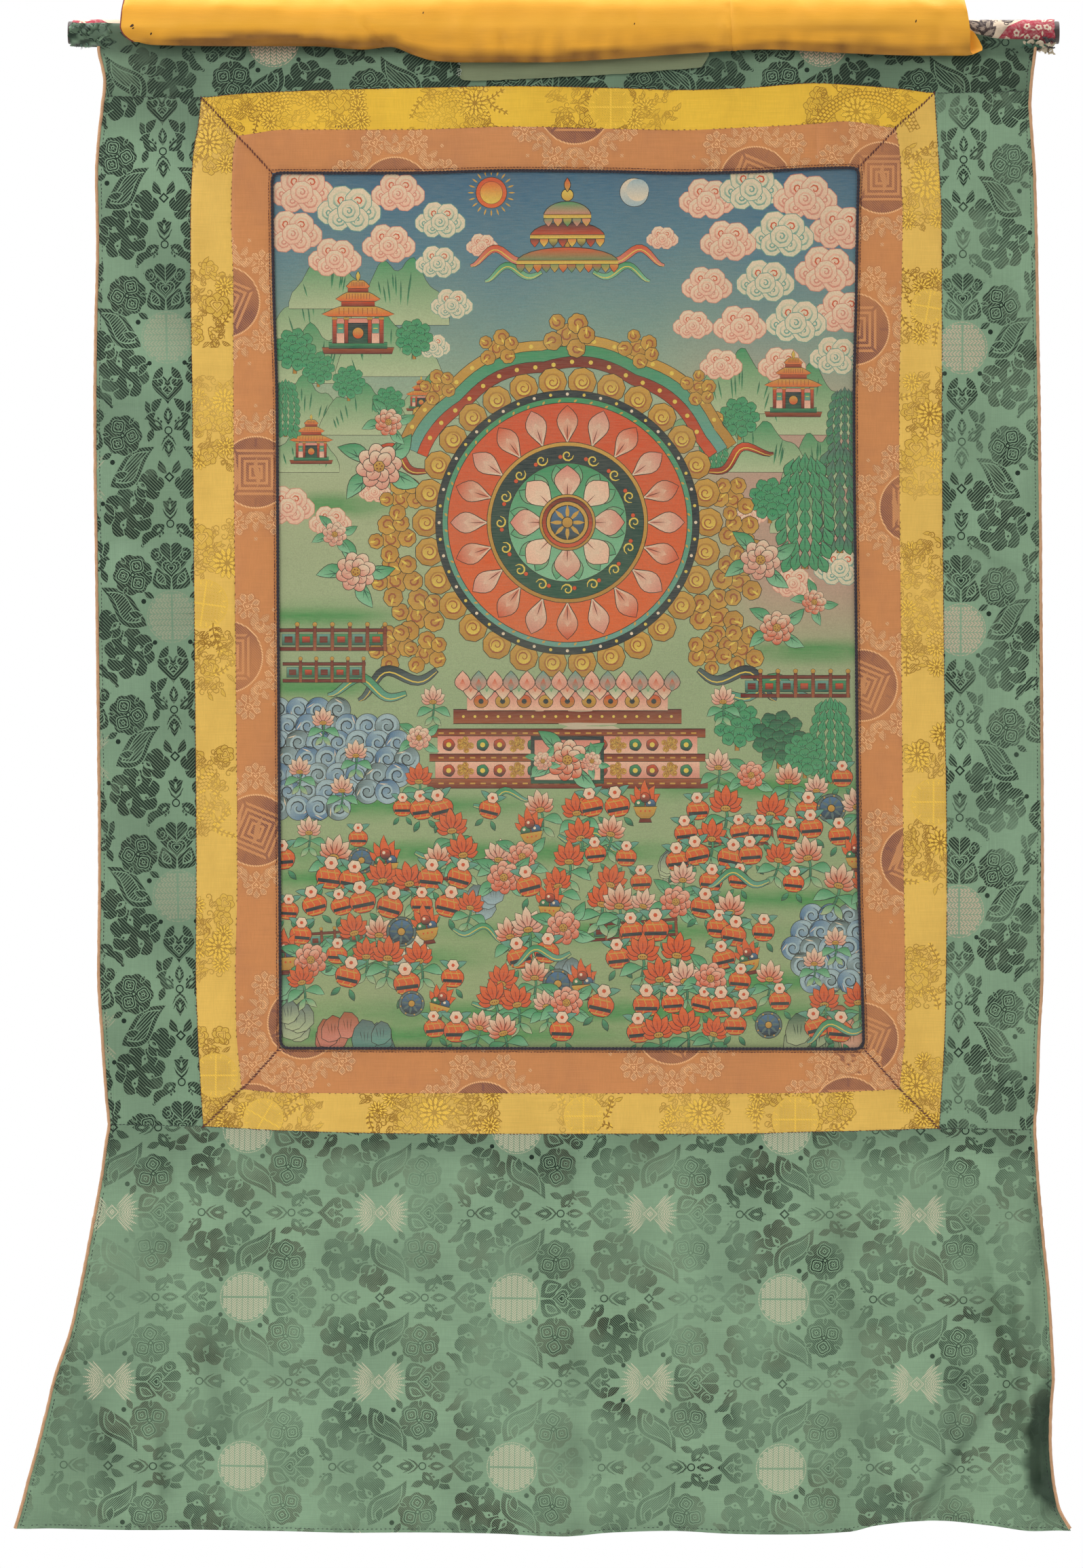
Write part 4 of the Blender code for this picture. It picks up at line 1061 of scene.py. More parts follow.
def painted(name):
    """Mineral colours on primed cotton: matt, streaked by the brush, worn thin on the threads."""
    made = Shader(name)
    source = made.tree.nodes.new("ShaderNodeAttribute")
    source.attribute_name = "figure"
    brush = made.noise(made.place((70, 1, 900)), 1.0, 4.0, 0.65)
    grain = made.noise(made.place(), 900.0, 3.0, 0.6)
    cloudy = made.noise(made.place(), 16.0, 4.0, 0.6)
    base = made.mix(made.between(brush, 0.3, 0.72, 0.0, 0.13), source.outputs["Color"], (0.62, 0.66, 0.56))
    base = made.mix(made.between(cloudy, 0.4, 0.75, 0.0, 0.14), base, (0.24, 0.30, 0.24))
    base = made.mix(made.between(grain, 0.35, 0.75, 0.0, 0.26), base, (0.10, 0.11, 0.10))
    base = made.mix(1.0, base, (1.0, 0.84, 0.68), "MULTIPLY")
    split = made.node("ShaderNodeSeparateXYZ", Vector=made.place())
    threads = made.plus(made.stripes(split.outputs[0], 0.0009), made.stripes(split.outputs[2], 0.0009))
    made.set(Base_Color=base, Normal=made.bump(made.plus(made.times(threads, 0.5), brush),
                                               0.00010, 0.6))
    made.set(Roughness=0.82, Specular_IOR_Level=0.25)
    return made.material


def satin(name, colour, brown, pale):
    """Plain satin: long floats give a soft sheen; marks, slubs, dirt with painted shade, and painted
    highlight bands.
    """
    made = Shader(name)
    stain_and_shade, spot, light, _ = made.figure()
    slub = made.noise(made.place((40, 1400, 1), uv="weave"), 1.0, 3.0, 0.7)
    cloudy = made.noise(made.place(), 12.0, 5.0, 0.6)
    fine = made.noise(made.place((250, 1500, 1), uv="weave"), 1.0, 3.0, 0.6)
    base = made.mix(made.between(cloudy, 0.3, 0.7, 0.0, 0.3), colour, pale)
    base = made.mix(made.between(slub, 0.35, 0.72, 0.0, 0.35), base, [c * 0.8 for c in colour[:3]])
    # Painted highlight: pale bands along the roll.
    base = made.mix(made.times(light, 0.8, clamp=True), base, pale)
    # Brown of dirt, and painted shade under the rolled edge.
    grime_and_shade = made.times(stain_and_shade, made.between(cloudy, 0.25, 0.7, 0.75, 1.15), clamp=True)
    base = made.mix(grime_and_shade, base, brown)
    base = made.mix(spot, base, [c * 0.25 for c in brown[:3]])
    made.set(Base_Color=base, Normal=made.bump(made.plus(slub, fine), 0.00012, 0.6),
             Roughness=made.between(fine, 0.3, 0.7, 0.46, 0.62))
    made.set(Sheen_Weight=0.06, Anisotropic=0.4, Specular_IOR_Level=0.3)
    return made.material


def printed(name):
    """Printed cotton: the figure's own colours, broken by the threads where the print has worn."""
    made = Shader(name)
    source = made.tree.nodes.new("ShaderNodeAttribute")
    source.attribute_name = "figure"
    worn = made.noise(made.place(), 420.0, 3.0, 0.6)
    cloudy = made.noise(made.place(), 40.0, 4.0, 0.6)
    base = made.mix(made.between(worn, 0.45, 0.75, 0.0, 0.5), source.outputs["Color"], (0.52, 0.42, 0.36))
    base = made.mix(made.between(cloudy, 0.35, 0.7, 0.0, 0.35), base, (0.10, 0.03, 0.03))
    split = made.node("ShaderNodeSeparateXYZ", Vector=made.place(uv="weave"))
    threads = made.plus(made.stripes(split.outputs[0], 0.0008), made.stripes(split.outputs[1], 0.0008))
    made.set(Base_Color=base, Normal=made.bump(threads, 0.00012, 0.6))
    made.set(Roughness=0.88)
    return made.material


def thread_material(name, colour, pitch=0.0006, roughness=0.75):
    """Spun thread: fine twist lines and uneven dye."""
    made = Shader(name)
    split = made.node("ShaderNodeSeparateXYZ", Vector=made.place())
    twist = made.stripes(made.plus(made.plus(split.outputs[0], split.outputs[2]),
                                   made.times(split.outputs[1], 1.5)), pitch)
    cloudy = made.noise(made.place(), 120.0, 3.0, 0.6)
    base = made.mix(made.between(cloudy, 0.3, 0.7, 0.0, 0.6), colour, [c * 0.55 for c in colour[:3]])
    base = made.mix(made.times(twist, 0.3), base, [min(c * 1.5 + 0.015, 1) for c in colour[:3]])
    made.set(Base_Color=base, Normal=made.bump(twist, 0.0001, 0.7))
    made.set(Roughness=roughness, Sheen_Weight=0.2)
    return made.material


def dark_wood(name, colour):
    """Old softwood, darkened by handling: long grain along the rod."""
    made = Shader(name)
    grain = made.noise(made.place((8, 420, 420)), 1.0, 5.0, 0.65)
    pores = made.noise(made.place((60, 1600, 1600)), 1.0, 2.0, 0.6)
    base = made.mix(made.between(grain, 0.3, 0.7), [c * 0.5 for c in colour[:3]],
                    [c * 1.7 for c in colour[:3]])
    base = made.mix(made.between(pores, 0.5, 0.75, 0.0, 0.6), base, [c * 0.25 for c in colour[:3]])
    made.set(Base_Color=base, Normal=made.bump(made.plus(grain, pores), 0.0003, 0.6),
             Roughness=made.between(grain, 0.3, 0.7, 0.5, 0.72))
    return made.material


# ==== the user's sizes and colours ================================================================
def srgb(red, green, blue):
    """Return a linear colour for one given as 0 to 255."""
    return tuple(c / 12.92 if c <= 0.04045 else ((c + 0.055) / 1.055) ** 2.4
                 for c in (red / 255, green / 255, blue / 255))


def colour_property(name, description, *value):
    return FloatVectorProperty(name=name, description=description, subtype="COLOR", size=3, min=0.0, max=1.0,
                               default=srgb(*value))


class ScrollSizes(bpy.types.PropertyGroup):
    cloth: FloatProperty(name="Cloth thickness", description="Thickness of the silk panels",
                         default=0.001, min=0.0004, max=0.002, unit="LENGTH")
    cord: FloatProperty(name="Picture cord", description="Diameter of the twisted cord round the picture",
                        default=0.0031, min=0.001, max=0.005, unit="LENGTH")
    piping: FloatProperty(name="Piping", description="Diameter of the covered piping on the side edges",
                          default=0.0028, min=0.001, max=0.004, unit="LENGTH")
    hatch_pitch: FloatProperty(name="Hatching pitch", description="Distance between the woven hatching lines",
                               default=0.0021, min=0.001, max=0.005, unit="LENGTH")
    damask_pitch: FloatProperty(name="Damask pitch",
                                description="Distance between the lines in the borders' figures",
                                default=0.0015, min=0.0008, max=0.004, unit="LENGTH")
    stitch: FloatProperty(name="Stitch length", description="Length of one visible hand stitch",
                          default=0.0024, min=0.001, max=0.006, unit="LENGTH")


class ScrollColours(bpy.types.PropertyGroup):
    green: colour_property("Green silk", "Ground of the green brocade", 131, 161, 130)
    # The green figure colour is also the colour of the brocade's painted shade.
    green_dark: colour_property("Green figure", "Hatching and solid figures of the brocade", 16, 36, 24)
    silver: colour_property("Silver thread", "Metal thread of the medallions", 220, 208, 180)
    yellow: colour_property("Yellow silk", "Ground of the top length of yellow damask", 230, 184, 58)
    yellow_faded: colour_property("Faded yellow silk",
                                  "Ground of the other lengths of yellow damask", 224, 182, 88)
    yellow_dark: colour_property("Yellow figure", "Shaded figure lines of the yellow damask", 150, 108, 34)
    yellow_bright: colour_property("Yellow gloss", "Glossy figure of the yellow damask", 246, 202, 74)
    copper: colour_property("Copper silk", "Ground of the copper damask", 200, 133, 80)
    copper_dark: colour_property("Copper figure", "Medallions of the copper damask", 112, 72, 70)
    copper_bright: colour_property("Copper gloss", "Pale flowers of the copper damask", 242, 190, 136)
    satin: colour_property("Satin cover", "Colour of the satin cover", 228, 160, 42)
    # This brown is dirt on the lower edge and also painted shade under the cover's roll.
    satin_brown: colour_property("Satin grime", "Worn lower edge of the satin cover", 78, 42, 18)
    cord: colour_property("Picture cord", "Colour of the cord round the picture", 34, 24, 38)
    piping: colour_property("Piping", "Colour of the side piping", 194, 150, 112)
    strip: colour_property("Silk strip", "Loose strip of silk under the cover", 124, 134, 100)
    wood: colour_property("Rod wood", "Wood of the rod", 60, 48, 44)
    red_thread: colour_property("Seam thread",
                                "Thread of the mitres and of the line round the picture", 92, 30, 26)


def scroll():
    scene = bpy.context.scene
    return scene.scroll_sizes, scene.scroll_colours


def finish_for(name, make, *arguments, **options):
    """Return a material by name, made the first time that it is asked for."""
    return bpy.data.materials.get(name) or make(name, *arguments, **options)


def green_silk(node, pitch):
    """Return the brocade's two faces: silver thread in the lower panel, dulled to pink brown elsewhere."""
    _, colours = scroll()
    bright = tuple(colours.silver) if node == "bottom_panel" else srgb(214, 182, 158)
    front = finish_for("green_brocade_" + node, woven_silk, tuple(colours.green), tuple(colours.green_dark),
                       bright, pitch, metal=0.3, streaks=0.6, tinted=0.3 if node == "bottom_panel" else 0.1)
    back = finish_for("green_brocade_back", plain_cloth, tuple(c * 0.72 for c in colours.green),
                      roughness=0.7)
    return [front, back]


# ==== operators: one for each piece or group of like pieces =======================================
class SCROLL_OT_stage(bpy.types.Operator):
    """Set up the pale floor and backdrop, the soft studio light and the camera"""
    bl_idname = "scroll.stage"
    bl_label = "Stage, light and camera"

    def execute(self, context):
        scene = context.scene
        make_backdrop()
        world = bpy.data.worlds.new("studio")
        scene.world = world
        world.use_nodes = True
        nodes, links = world.node_tree.nodes, world.node_tree.links
        sky, white, pick, path = nodes["Background"], *(
            nodes.new(kind) for kind in ("ShaderNodeBackground", "ShaderNodeMixShader",
                                         "ShaderNodeLightPath"))
        sky.inputs["Color"].default_value = (1.0, 0.99, 0.975, 1.0)
        sky.inputs["Strength"].default_value = 0.42
        white.inputs["Color"].default_value = (1.0, 1.0, 1.0, 1.0)
        links.new(path.outputs["Is Camera Ray"], pick.inputs["Fac"])
        links.new(sky.outputs["Background"], pick.inputs[1])
        links.new(white.outputs["Background"], pick.inputs[2])
        links.new(pick.outputs["Shader"], nodes["World Output"].inputs["Surface"])
        add_lamp("key", (-1.7, -2.6, 0.9), (0.0, 0.0, -0.6), 1.6, 43)
        add_lamp("fill", (1.9, -2.8, -0.2), (0.0, 0.0, -0.7), 2.0, 9)
        add_lamp("top", (-0.3, -0.9, 1.7), (0.0, 0.0, -0.3), 1.2, 4)
        add_lamp("wash_left", (-1.2, 0.5, 1.6), (-0.5, 2.8, -0.6), 1.6, 98)
        add_lamp("wash_right", (1.2, 0.5, 1.6), (0.5, 2.8, -0.6), 1.6, 98)
        scene.view_settings.view_transform = "Standard"
        add_camera(scene)
        return {"FINISHED"}


PHOTO_WIDTH, PHOTO_HEIGHT = 1596, 2311
PIXEL = 0.58                   # millimetres of cloth that one pixel of the photograph shows
ZERO_PIXEL = (831, 46)         # where the middle of the rod's axis falls
CAMERA_DISTANCE = 6.0


def on_cloth(x, y):
    """Return across and drop for a pixel of the photograph."""
    return (x - ZERO_PIXEL[0]) * PIXEL, (y - ZERO_PIXEL[1]) * PIXEL


def add_camera(scene):
    data = bpy.data.cameras.new("camera")
    camera = bpy.data.objects.new("camera", data)
    scene.collection.objects.link(camera)
    across, drop = on_cloth(PHOTO_WIDTH / 2, PHOTO_HEIGHT / 2)
    camera.location = (across * MM, -CAMERA_DISTANCE - HANG * MM, -drop * MM)
    camera.rotation_euler = (math.radians(90), 0, 0)
    data.sensor_fit = "VERTICAL"
    data.sensor_height = 36.0
    data.lens = 36.0 * CAMERA_DISTANCE / (PHOTO_HEIGHT * PIXEL * MM)
    data.clip_end = 30.0
    scene.camera = camera


def add_lamp(name, place, target, size, power):
    data = bpy.data.lights.new(name, "AREA")
    data.size, data.energy = size, power
    lamp = bpy.data.objects.new(name, data)
    lamp.visible_camera = False
    bpy.context.scene.collection.objects.link(lamp)
    lamp.location = place
    lamp.rotation_euler = (Vector(target) - Vector(place)).to_track_quat("-Z", "Y").to_euler()


def make_backdrop():
    """Make the pale floor and backdrop; they only throw light back, so that no view is blocked."""
    mesh = bpy.data.meshes.new("backdrop")
    depths, heights = [-8.0], [-1.62]
    for i in range(17):
        angle = math.radians(90 * i / 16)
        depths.append(1.6 + 1.2 * math.sin(angle))
        heights.append(-1.62 + 1.2 * (1 - math.cos(angle)))
    depths.append(2.8)
    heights.append(5.0)
    corners = [(x, y, z) for y, z in zip(depths, heights) for x in (-7.0, 7.0)]
    faces = [(2 * i, 2 * i + 1, 2 * i + 3, 2 * i + 2) for i in range(len(depths) - 1)]
    mesh.from_pydata(corners, [], faces)
    mesh.shade_smooth()
    made = Shader("pale_floor")
    made.set(Base_Color=(0.86, 0.86, 0.85, 1), Roughness=0.9)
    mesh.materials.append(made.material)
    backdrop = bpy.data.objects.new("backdrop", mesh)
    bpy.context.scene.collection.objects.link(backdrop)
    backdrop.visible_camera = False


HEADER_LAY = BrocadeLay(on_cloth(403, 62), (-234.6 / REPEAT_WIDE, 0), (0, 1))
LEFT_LAY = BrocadeLay(on_cloth(254, 909), (-0.021, -238.6 / REPEAT_WIDE), (1, -0.02))
RIGHT_LAY = BrocadeLay(on_cloth(1416, 928), (0.006, -241.0 / REPEAT_WIDE), (1, 0.0))
BOTTOM_LAY = BrocadeLay(on_cloth(758, 1913), (1, 0.004), (-0.015, 1))


def near_line(across, drop, start, stop, width):
    """Return 1 on a straight line, falling to 0 at its sides and past its ends."""
    run = np.array(stop) - start
    share = np.clip(((across - start[0]) * run[0] + (drop - start[1]) * run[1]) / (run @ run), 0, 1)
    away = np.hypot(across - start[0] - share * run[0], drop - start[1] - share * run[1])
    return np.exp(-(away / width) ** 2)


# Painted shade in the lower panel's deepest grooves: from and to in pixels, width in millimetres, and how
# dark.
BOTTOM_GROOVES = (((1492, 1900), (1508, 2085), 5, 0.34), ((1452, 2070), (1346, 2240), 5, 0.36),
                  ((1412, 2020), (1400, 2110), 6, 0.2), ((236, 2105), (244, 2200), 5, 0.26),
                  ((300, 1960), (330, 2110), 12, 0.22), ((120, 2040), (150, 2160), 18, 0.16),
                  ((840, 1700), (850, 2250), 7, 0.1), ((1235, 1800), (1300, 2225), 9, 0.14),
                  ((1530, 1760), (1520, 2010), 7, 0.3))


def left_weight(across, drop):
    return 1.22 + 0.1 * waves(across, drop, 120, 21)


def right_weight(across, drop):
    """The right strip's figures catch the light and pale, more so lower down."""
    return np.clip(0.9 + 0.2 * waves(across, drop, 90, 22) + 0.2 * np.exp(-((drop - 430) / 60) ** 2), 0.3, 1)


def header_weight(across, drop):
    # The figures grow fainter towards the header's left end.
    faint_left_end = 1 - 0.3 * ease((-330 - across) / 60)
    return np.clip(1.35 + 0.15 * waves(across, drop, 100, 23), 0.3, 1.5) * faint_left_end


def bottom_weight(across, drop):
    """The lower panel's figures are dark only just under the borders, and fainter elsewhere."""
    under = np.exp(-((drop - 945) / 16) ** 2) * (0.35 + 0.65 * np.exp(-((across + 20) / 90) ** 2))
    return np.clip(0.6 + 0.18 * waves(across, drop, 150, 24) + 0.14 * waves(across, drop, 60, 25)
                   + under, 0.3, 1)


def header_shade(across, drop):
    """Painted shade: the header is darker than the panels below, most of all under the cover and at its right
    end.
    """
    return np.clip(0.42 + 0.1 * ease((across - 180) / 90) + 0.08 * waves(across, drop, 90, 26)
                   + 0.5 * ease((26 - drop) / 14), 0, 0.7)


def left_shade(across, drop):
    return 0.22 + 0.08 * waves(across, drop, 110, 27) + 0.12 * ease((110 - drop) / 50)


def right_shade(across, drop):
    return (0.1 + 0.07 * waves(across, drop, 80, 28) + 0.3 * ease((80 - drop) / 40)
            + 0.1 * ease((drop - 860) / 60))


def bottom_shade(across, drop):
    """Painted shade on the lower panel: under the borders, at its left, along its hem, in its right edge's
    fold and grooves.
    """
    shade = 0.08 + 0.07 * waves(across, drop, 70, 29) + 0.22 * np.exp(-((drop - 942) / 20) ** 2)
    shade += 0.1 * ease((-330 - across) / 60) + 0.12 * ease((drop - 1262) / 20)
    # The right edge's fold in painted shade begins this far across.
    inner = (390 + 16 * ease((1196 - drop) / 60) + 14 * ease((drop - 1228) / 45)
             + 3 * waves(across, drop, 22, 71))
    shade += 0.78 * ease((across - inner) / 9) * ease((drop - 1126) / 60) * ease((1282 - drop) / 34)
    for start, stop, width, strength in BOTTOM_GROOVES:
        shade += strength * near_line(across, drop, on_cloth(*start), on_cloth(*stop), width)
    return np.clip(shade, 0, 0.88)


class SCROLL_OT_green_panels(bpy.types.Operator):
    """Weave and hang the green brocade: header, two side strips and the flared lower panel"""
    bl_idname = "scroll.green_panels"
    bl_label = "Green brocade"

    def execute(self, context):
        sizes, _ = scroll()
        panels = (
            ("header", header_outline(), HEADER_LAY, header_weight, header_shade, 0.8, ["rod"]),
            ("side_left", side_outline(cloth_left, 1, "left"), LEFT_LAY, left_weight, left_shade, 0.3,
             ["header_brocade"]),
            ("side_right", side_outline(cloth_right, -1, "right"), RIGHT_LAY, right_weight, right_shade, 0.78,
             ["header_brocade"]),
            ("bottom_panel", bottom_outline(), BOTTOM_LAY, bottom_weight, bottom_shade, 0.8,
             ["side_left_brocade"]))
        for node, outline, lay, weight, shade, thread, rests_on in panels:
            pitch = sizes.hatch_pitch * (0.68 if node == "bottom_panel" else 1.0)
            piece = make_sheet(node + "_brocade", outline, lay.figures(outline), hung_cloth(),
                               green_silk(node, pitch), thickness=sizes.cloth * 1000, weave=lay.weave,
                               weight=weight, shade=shade, thread=thread)
            declare_cloth(outline, node, rests_on)
        return {"FINISHED"}


# ==== damask figures of the two silk borders ======================================================
LINE, GLOSS, GLOSS_LINED, SHADE = (0, 0.75, 0, 0), (0, 0, 1, 0), (0.75, 0, 0.55, 0), (0.7, 0, 0, 1)


def lined(points, inner, width=0.75, line=LINE):
    """Return a figure with a raised line round it."""
    return [shape(points, line), shape(shrunk(points, width), inner)]


def contours(make, sizes, line=LINE, inner=GROUND, width=0.7):
    """Return nested lines of one outline, from the largest size to the smallest."""
    return [one for size in sizes for one in lined(make(size), inner, width, line)]


def chrysanthemum(radius, inner=GLOSS):
    shapes = [shape(ring(radius * 0.66, 18), LINE)]
    for k in range(13):
        foot = polar(radius * 0.25, 360 * k / 13)
        shapes += lined(lens(radius * 0.75, radius * 0.3, foot, 360 * k / 13, fat=0.64, count=6), inner, 0.45)
    shapes.append(shape(ring(radius * 0.5, 14), LINE))
    for k in range(9):
        shapes.append(shape(lens(radius * 0.34, radius * 0.2, polar(radius * 0.15, 40 * k), 40 * k, fat=0.6,
                                 count=5), inner))
    return shapes + [shape(ring(radius * 0.17, 7), LINE)]


def heart_peony(radius, line=LINE, inner=GLOSS_LINED):
    shapes = []
    for k in range(6):
        at = polar(radius * 0.56, 60 * k - 90)
        shapes += lined(ring(radius * 0.46, 12, at, lobes=4, depth=0.16, turn=60 * k), inner, 0.7, line)
    shapes += contours(lambda size: heart(radius * size, count=12), (0.62, 0.38), line, GROUND, 0.8)
    return shapes + [shape(heart(radius * 0.2, count=8), inner)]


def fern(length):
    shapes = []
    for k in range(9):
        at = (length * (k / 9 - 0.45), 1.2 * math.sin(k * 0.6))
        for side in (-1, 1):
            shapes.append(shape(lens(length * (0.22 - 0.012 * k), 1.7, at, side * 62),
                                LINE if k % 2 else GLOSS))
    spine = np.stack([np.linspace(-0.5, 0.5, 7) * length, 1.2 * np.sin(np.linspace(0, 5.4, 7))], 1)
    return shapes + [shape(stroke(spine, 0.9), LINE)]


def scrolls(size, seed):
    """A tangle of curls and small leaves."""
    draw = np.random.default_rng(seed)
    shapes = []
    for k in range(5):
        at = draw.uniform(-0.5, 0.5, 2) * size
        turn = draw.uniform(0, 360)
        shapes += lined(lens(size * 0.6, size * 0.26, at, turn, bow=size * 0.06, count=6),
                        GLOSS_LINED if k % 2 else SHADE, 0.6)
        shapes.append(shape(curl(size * 0.24, 1.0, 1.1, at - draw.uniform(-3, 3, 2), turn, 1 if k % 2 else -1,
                                 count=9), LINE))
    return shapes


def net_arc(radius, width, start, stop):
    """An arched band of small diamond meshes."""
    angle = np.radians(np.linspace(start, stop, 14))
    edge = [np.stack([r * np.cos(angle), r * np.sin(angle)], 1)
            for r in (radius - width / 2, radius + width / 2)]
    shapes = [shape(np.concatenate([edge[0], edge[1][::-1]]), LINE)]
    steps = round(math.radians(stop - start) * radius / 3.4)
    for row in range(3):
        reach = radius + (row - 1) * width * 0.31
        for k in range(steps):
            at = polar(reach, start + (stop - start) * (k + 0.5 + 0.5 * (row % 2)) / steps)
            shapes.append(shape(ring(1.75, 4, at, squash=0.9), GLOSS if (k + row) % 5 == 0 else GROUND))
    return shapes


def meander(radius):
    """A round fret of squares in herringbone thread, with bright middle lines and no outline."""
    shapes = [shape(ring(radius, 40), (0.5, 0, 0.7, 1)), shape(ring(radius - 1.1, 40), (0.2, 0, 0.25, 0))]
    for k, share in enumerate((0.68, 0.54, 0.4, 0.26, 0.13)):
        side = radius * share * 2
        shapes.append(shape(box(side, side), (0.7, 0, 0.55, k % 2)))
        shapes.append(shape(box(side - 1.6, side - 1.6), (0.1, 0.12, 0.1, 0)))
    for turn in (0, 90):
        shapes.append(shape(box(radius * 1.85, 1.5, (0, 0), turn), (0.2, 0, 1, 0)))
    for turn in range(0, 360, 30):
        shapes.append(shape(lens(radius * 0.22, 1.5, polar(radius * 0.74, turn + 15), turn + 15),
                            (0, 0, 0.9, 0)))
    return shapes


# Bands of figures along each side of the yellow border, in pixels of the photograph.
YELLOW_BANDS = {
    "left": ((150, 262), (398, 502), (560, 680), (775, 845), (935, 1015), (1110, 1240), (1330, 1428),
             (1520, 1660)),
    "right": ((225, 330), (400, 500), (560, 730), (800, 985), (1100, 1150), (1220, 1312), (1402, 1490),
              (1560, 1660)),
    "top": ((302, 545), (612, 742), (815, 985), (1195, 1345)),
    "bottom": ((318, 462), (545, 742), (820, 905), (985, 1075), (1110, 1250))}
YELLOW_LINES = {"left": (312, 0.018), "right": (1362, 0.012), "top": (162, 0.0), "bottom": (1640, 0.003)}


def yellow_figures():
    """Return the yellow damask's figures, in bands with plain satin between them."""
    draw = np.random.default_rng(17)
    shapes = []
    for side, bands in YELLOW_BANDS.items():
        for start, stop in bands:
            for at in np.arange(start + 6, stop, 22):
                for row in (-22, -2, 18):
                    middle = YELLOW_LINES[side][0] + row + draw.uniform(-4, 4)
                    along = at + draw.uniform(-6, 6)
                    pixel = (middle, along) if side in ("left", "right") else (along, middle)
                    kind = draw.integers(0, 6)
                    made = (scrolls(15, int(draw.integers(1e6))) if kind < 3
                            else heart_peony(8.4) if kind == 3
                            else chrysanthemum(9.0) if kind == 4 else fern(20))
                    shapes += moved(made, on_cloth(*pixel), draw.uniform(0, 360))
    for x, y, made, turn in (
            (335, 830, chrysanthemum(14), 0), (297, 792, heart_peony(11), 0), (300, 890, meander(21), 8),
            (330, 962, scrolls(17, 5), 0), (318, 940, fern(26), 80), (352, 1176, net_arc(33, 8, 130, 230), 0),
            (300, 620, heart_peony(10), 20), (330, 590, chrysanthemum(11), 0),
            (322, 1395, chrysanthemum(12), 0), (318, 1585, meander(19), 0), (308, 210, chrysanthemum(13), 0),
            (320, 450, heart_peony(11), 0), (1340, 892, net_arc(37, 9, -62, 62), 0),
            (1352, 1112, chrysanthemum(12), 0), (1388, 1082, chrysanthemum(11), 0),
            (1386, 1242, chrysanthemum(12), 0), (1376, 1182, meander(20), 0), (1350, 660, heart_peony(11), 0),
            (1370, 610, chrysanthemum(12), 0), (1352, 1442, heart_peony(11), 0),
            (1365, 270, chrysanthemum(14), 0), (1368, 452, meander(15), 10),
            (1350, 1600, chrysanthemum(12), 0), (425, 200, net_arc(34, 9, 205, 322), 0),
            (352, 160, scrolls(20, 9), 0), (500, 150, heart_peony(11), 0),
            (672, 190, net_arc(28, 8, 200, 340), 0), (700, 152, chrysanthemum(12), 0),
            (900, 158, meander(19), 0), (1275, 222, net_arc(46, 10, 200, 338), 0),
            (1262, 165, chrysanthemum(14), 0), (388, 1648, meander(17), 30),
            (640, 1640, chrysanthemum(14), 0), (600, 1650, heart_peony(10), 0), (860, 1645, meander(17), 0),
            (1030, 1640, chrysanthemum(13), 0), (1172, 1650, meander(20), 0)):
        shapes += moved(made, on_cloth(x, y), turn)
    return shapes


COPPER_PALE, COPPER_PALE_LINED, COPPER_SHADE = (0, 0, 0.95, 0), (0.8, 0.03, 0.7, 0), (0, 0.12, 0, 0)
# Roundels of the copper damask, in pixels; the borders cut most of them short.
COPPER_DISCS = ((377, 696), (377, 1224), (334, 968), (1270, 1010), (1258, 485), (1271, 1531), (1349, 748),
                (1351, 1268), (582, 284), (1113, 269), (847, 160), (447, 1508), (712, 1647), (990, 1516),
                (1300, 262), (372, 1650), (1250, 1640), (330, 445))


def copper_peony(radius):
    """A pale peony of hatched, outlined petals round a small heart."""
    shapes = [shape(ring(radius, 40, lobes=8, depth=0.2), COPPER_SHADE)]
    for k in range(8):
        petal = lens(radius * 0.66, radius * 0.46, polar(radius * 0.28, 45 * k), 45 * k, fat=0.62, count=8)
        shapes += [shape(petal, COPPER_PALE), shape(shrunk(petal, 0.75), (0.8, 0.05, 0.6, k % 2))]
    for share, count, value in ((0.36, 14, COPPER_PALE), (0.26, 12, COPPER_SHADE), (0.15, 8, COPPER_PALE)):
        shapes.append(shape(heart(radius * share, count=count), value))
    return shapes


def copper_roundel():
    """A shaded roundel with a plain worn fret, a pale ring, and heart peonies all round."""
    shapes = []
    for k in range(8):
        turn = 45 * k
        shapes += moved(copper_peony(12.5), polar(46.5, turn + 22), turn + 112)
        for side in (-1, 1):
            for foot, length, width, lean in ((33.2, 17, 8.0, 42), (37.0, 12, 6.0, 74), (42.0, 10, 4.6, 20)):
                leaf = lens(length, width, polar(foot, turn - 4 * side), turn + lean * side,
                            bow=2 * side, count=8)
                shapes += [shape(grown(leaf, 0.7), COPPER_SHADE), shape(leaf, COPPER_PALE_LINED)]
        shapes += [shape(curl(5.2, 1.3, 1.1, polar(38.5, turn), turn), COPPER_PALE),
                   shape(ring(1.7, 8, polar(57, turn)), COPPER_PALE_LINED)]
    shapes += [shape(ring(31.2, 56), COPPER_PALE), shape(ring(29.9, 56), (0.8, 0.24, 0, 0))]
    for k, share in enumerate((0.78, 0.6, 0.42, 0.24)):
        side = 2 * 25 * share
        shapes += [shape(box(side, side), (0.1, 0.1, 0.2, 1)),
                   shape(box(side - 4.4, side - 4.4), (0.8, 0.26, 0, 0))]
    shapes += [shape(lens(26, 5, (-17 + 9 * k, -13), 90, sway=1.2), (0.3, 0.1, 0.25, 0)) for k in (0, 2)]
    for turn in range(0, 360, 45):
        shapes.append(shape(box(6.5, 2.2, polar(25.5, turn), turn), (0.2, 0.6, 0, 0)))
    return shapes


def copper_figures():
    shapes = []
    for k, (x, y) in enumerate(COPPER_DISCS):
        shapes += moved(copper_roundel(), on_cloth(x, y), 22.5 * (k % 2))
    return shapes


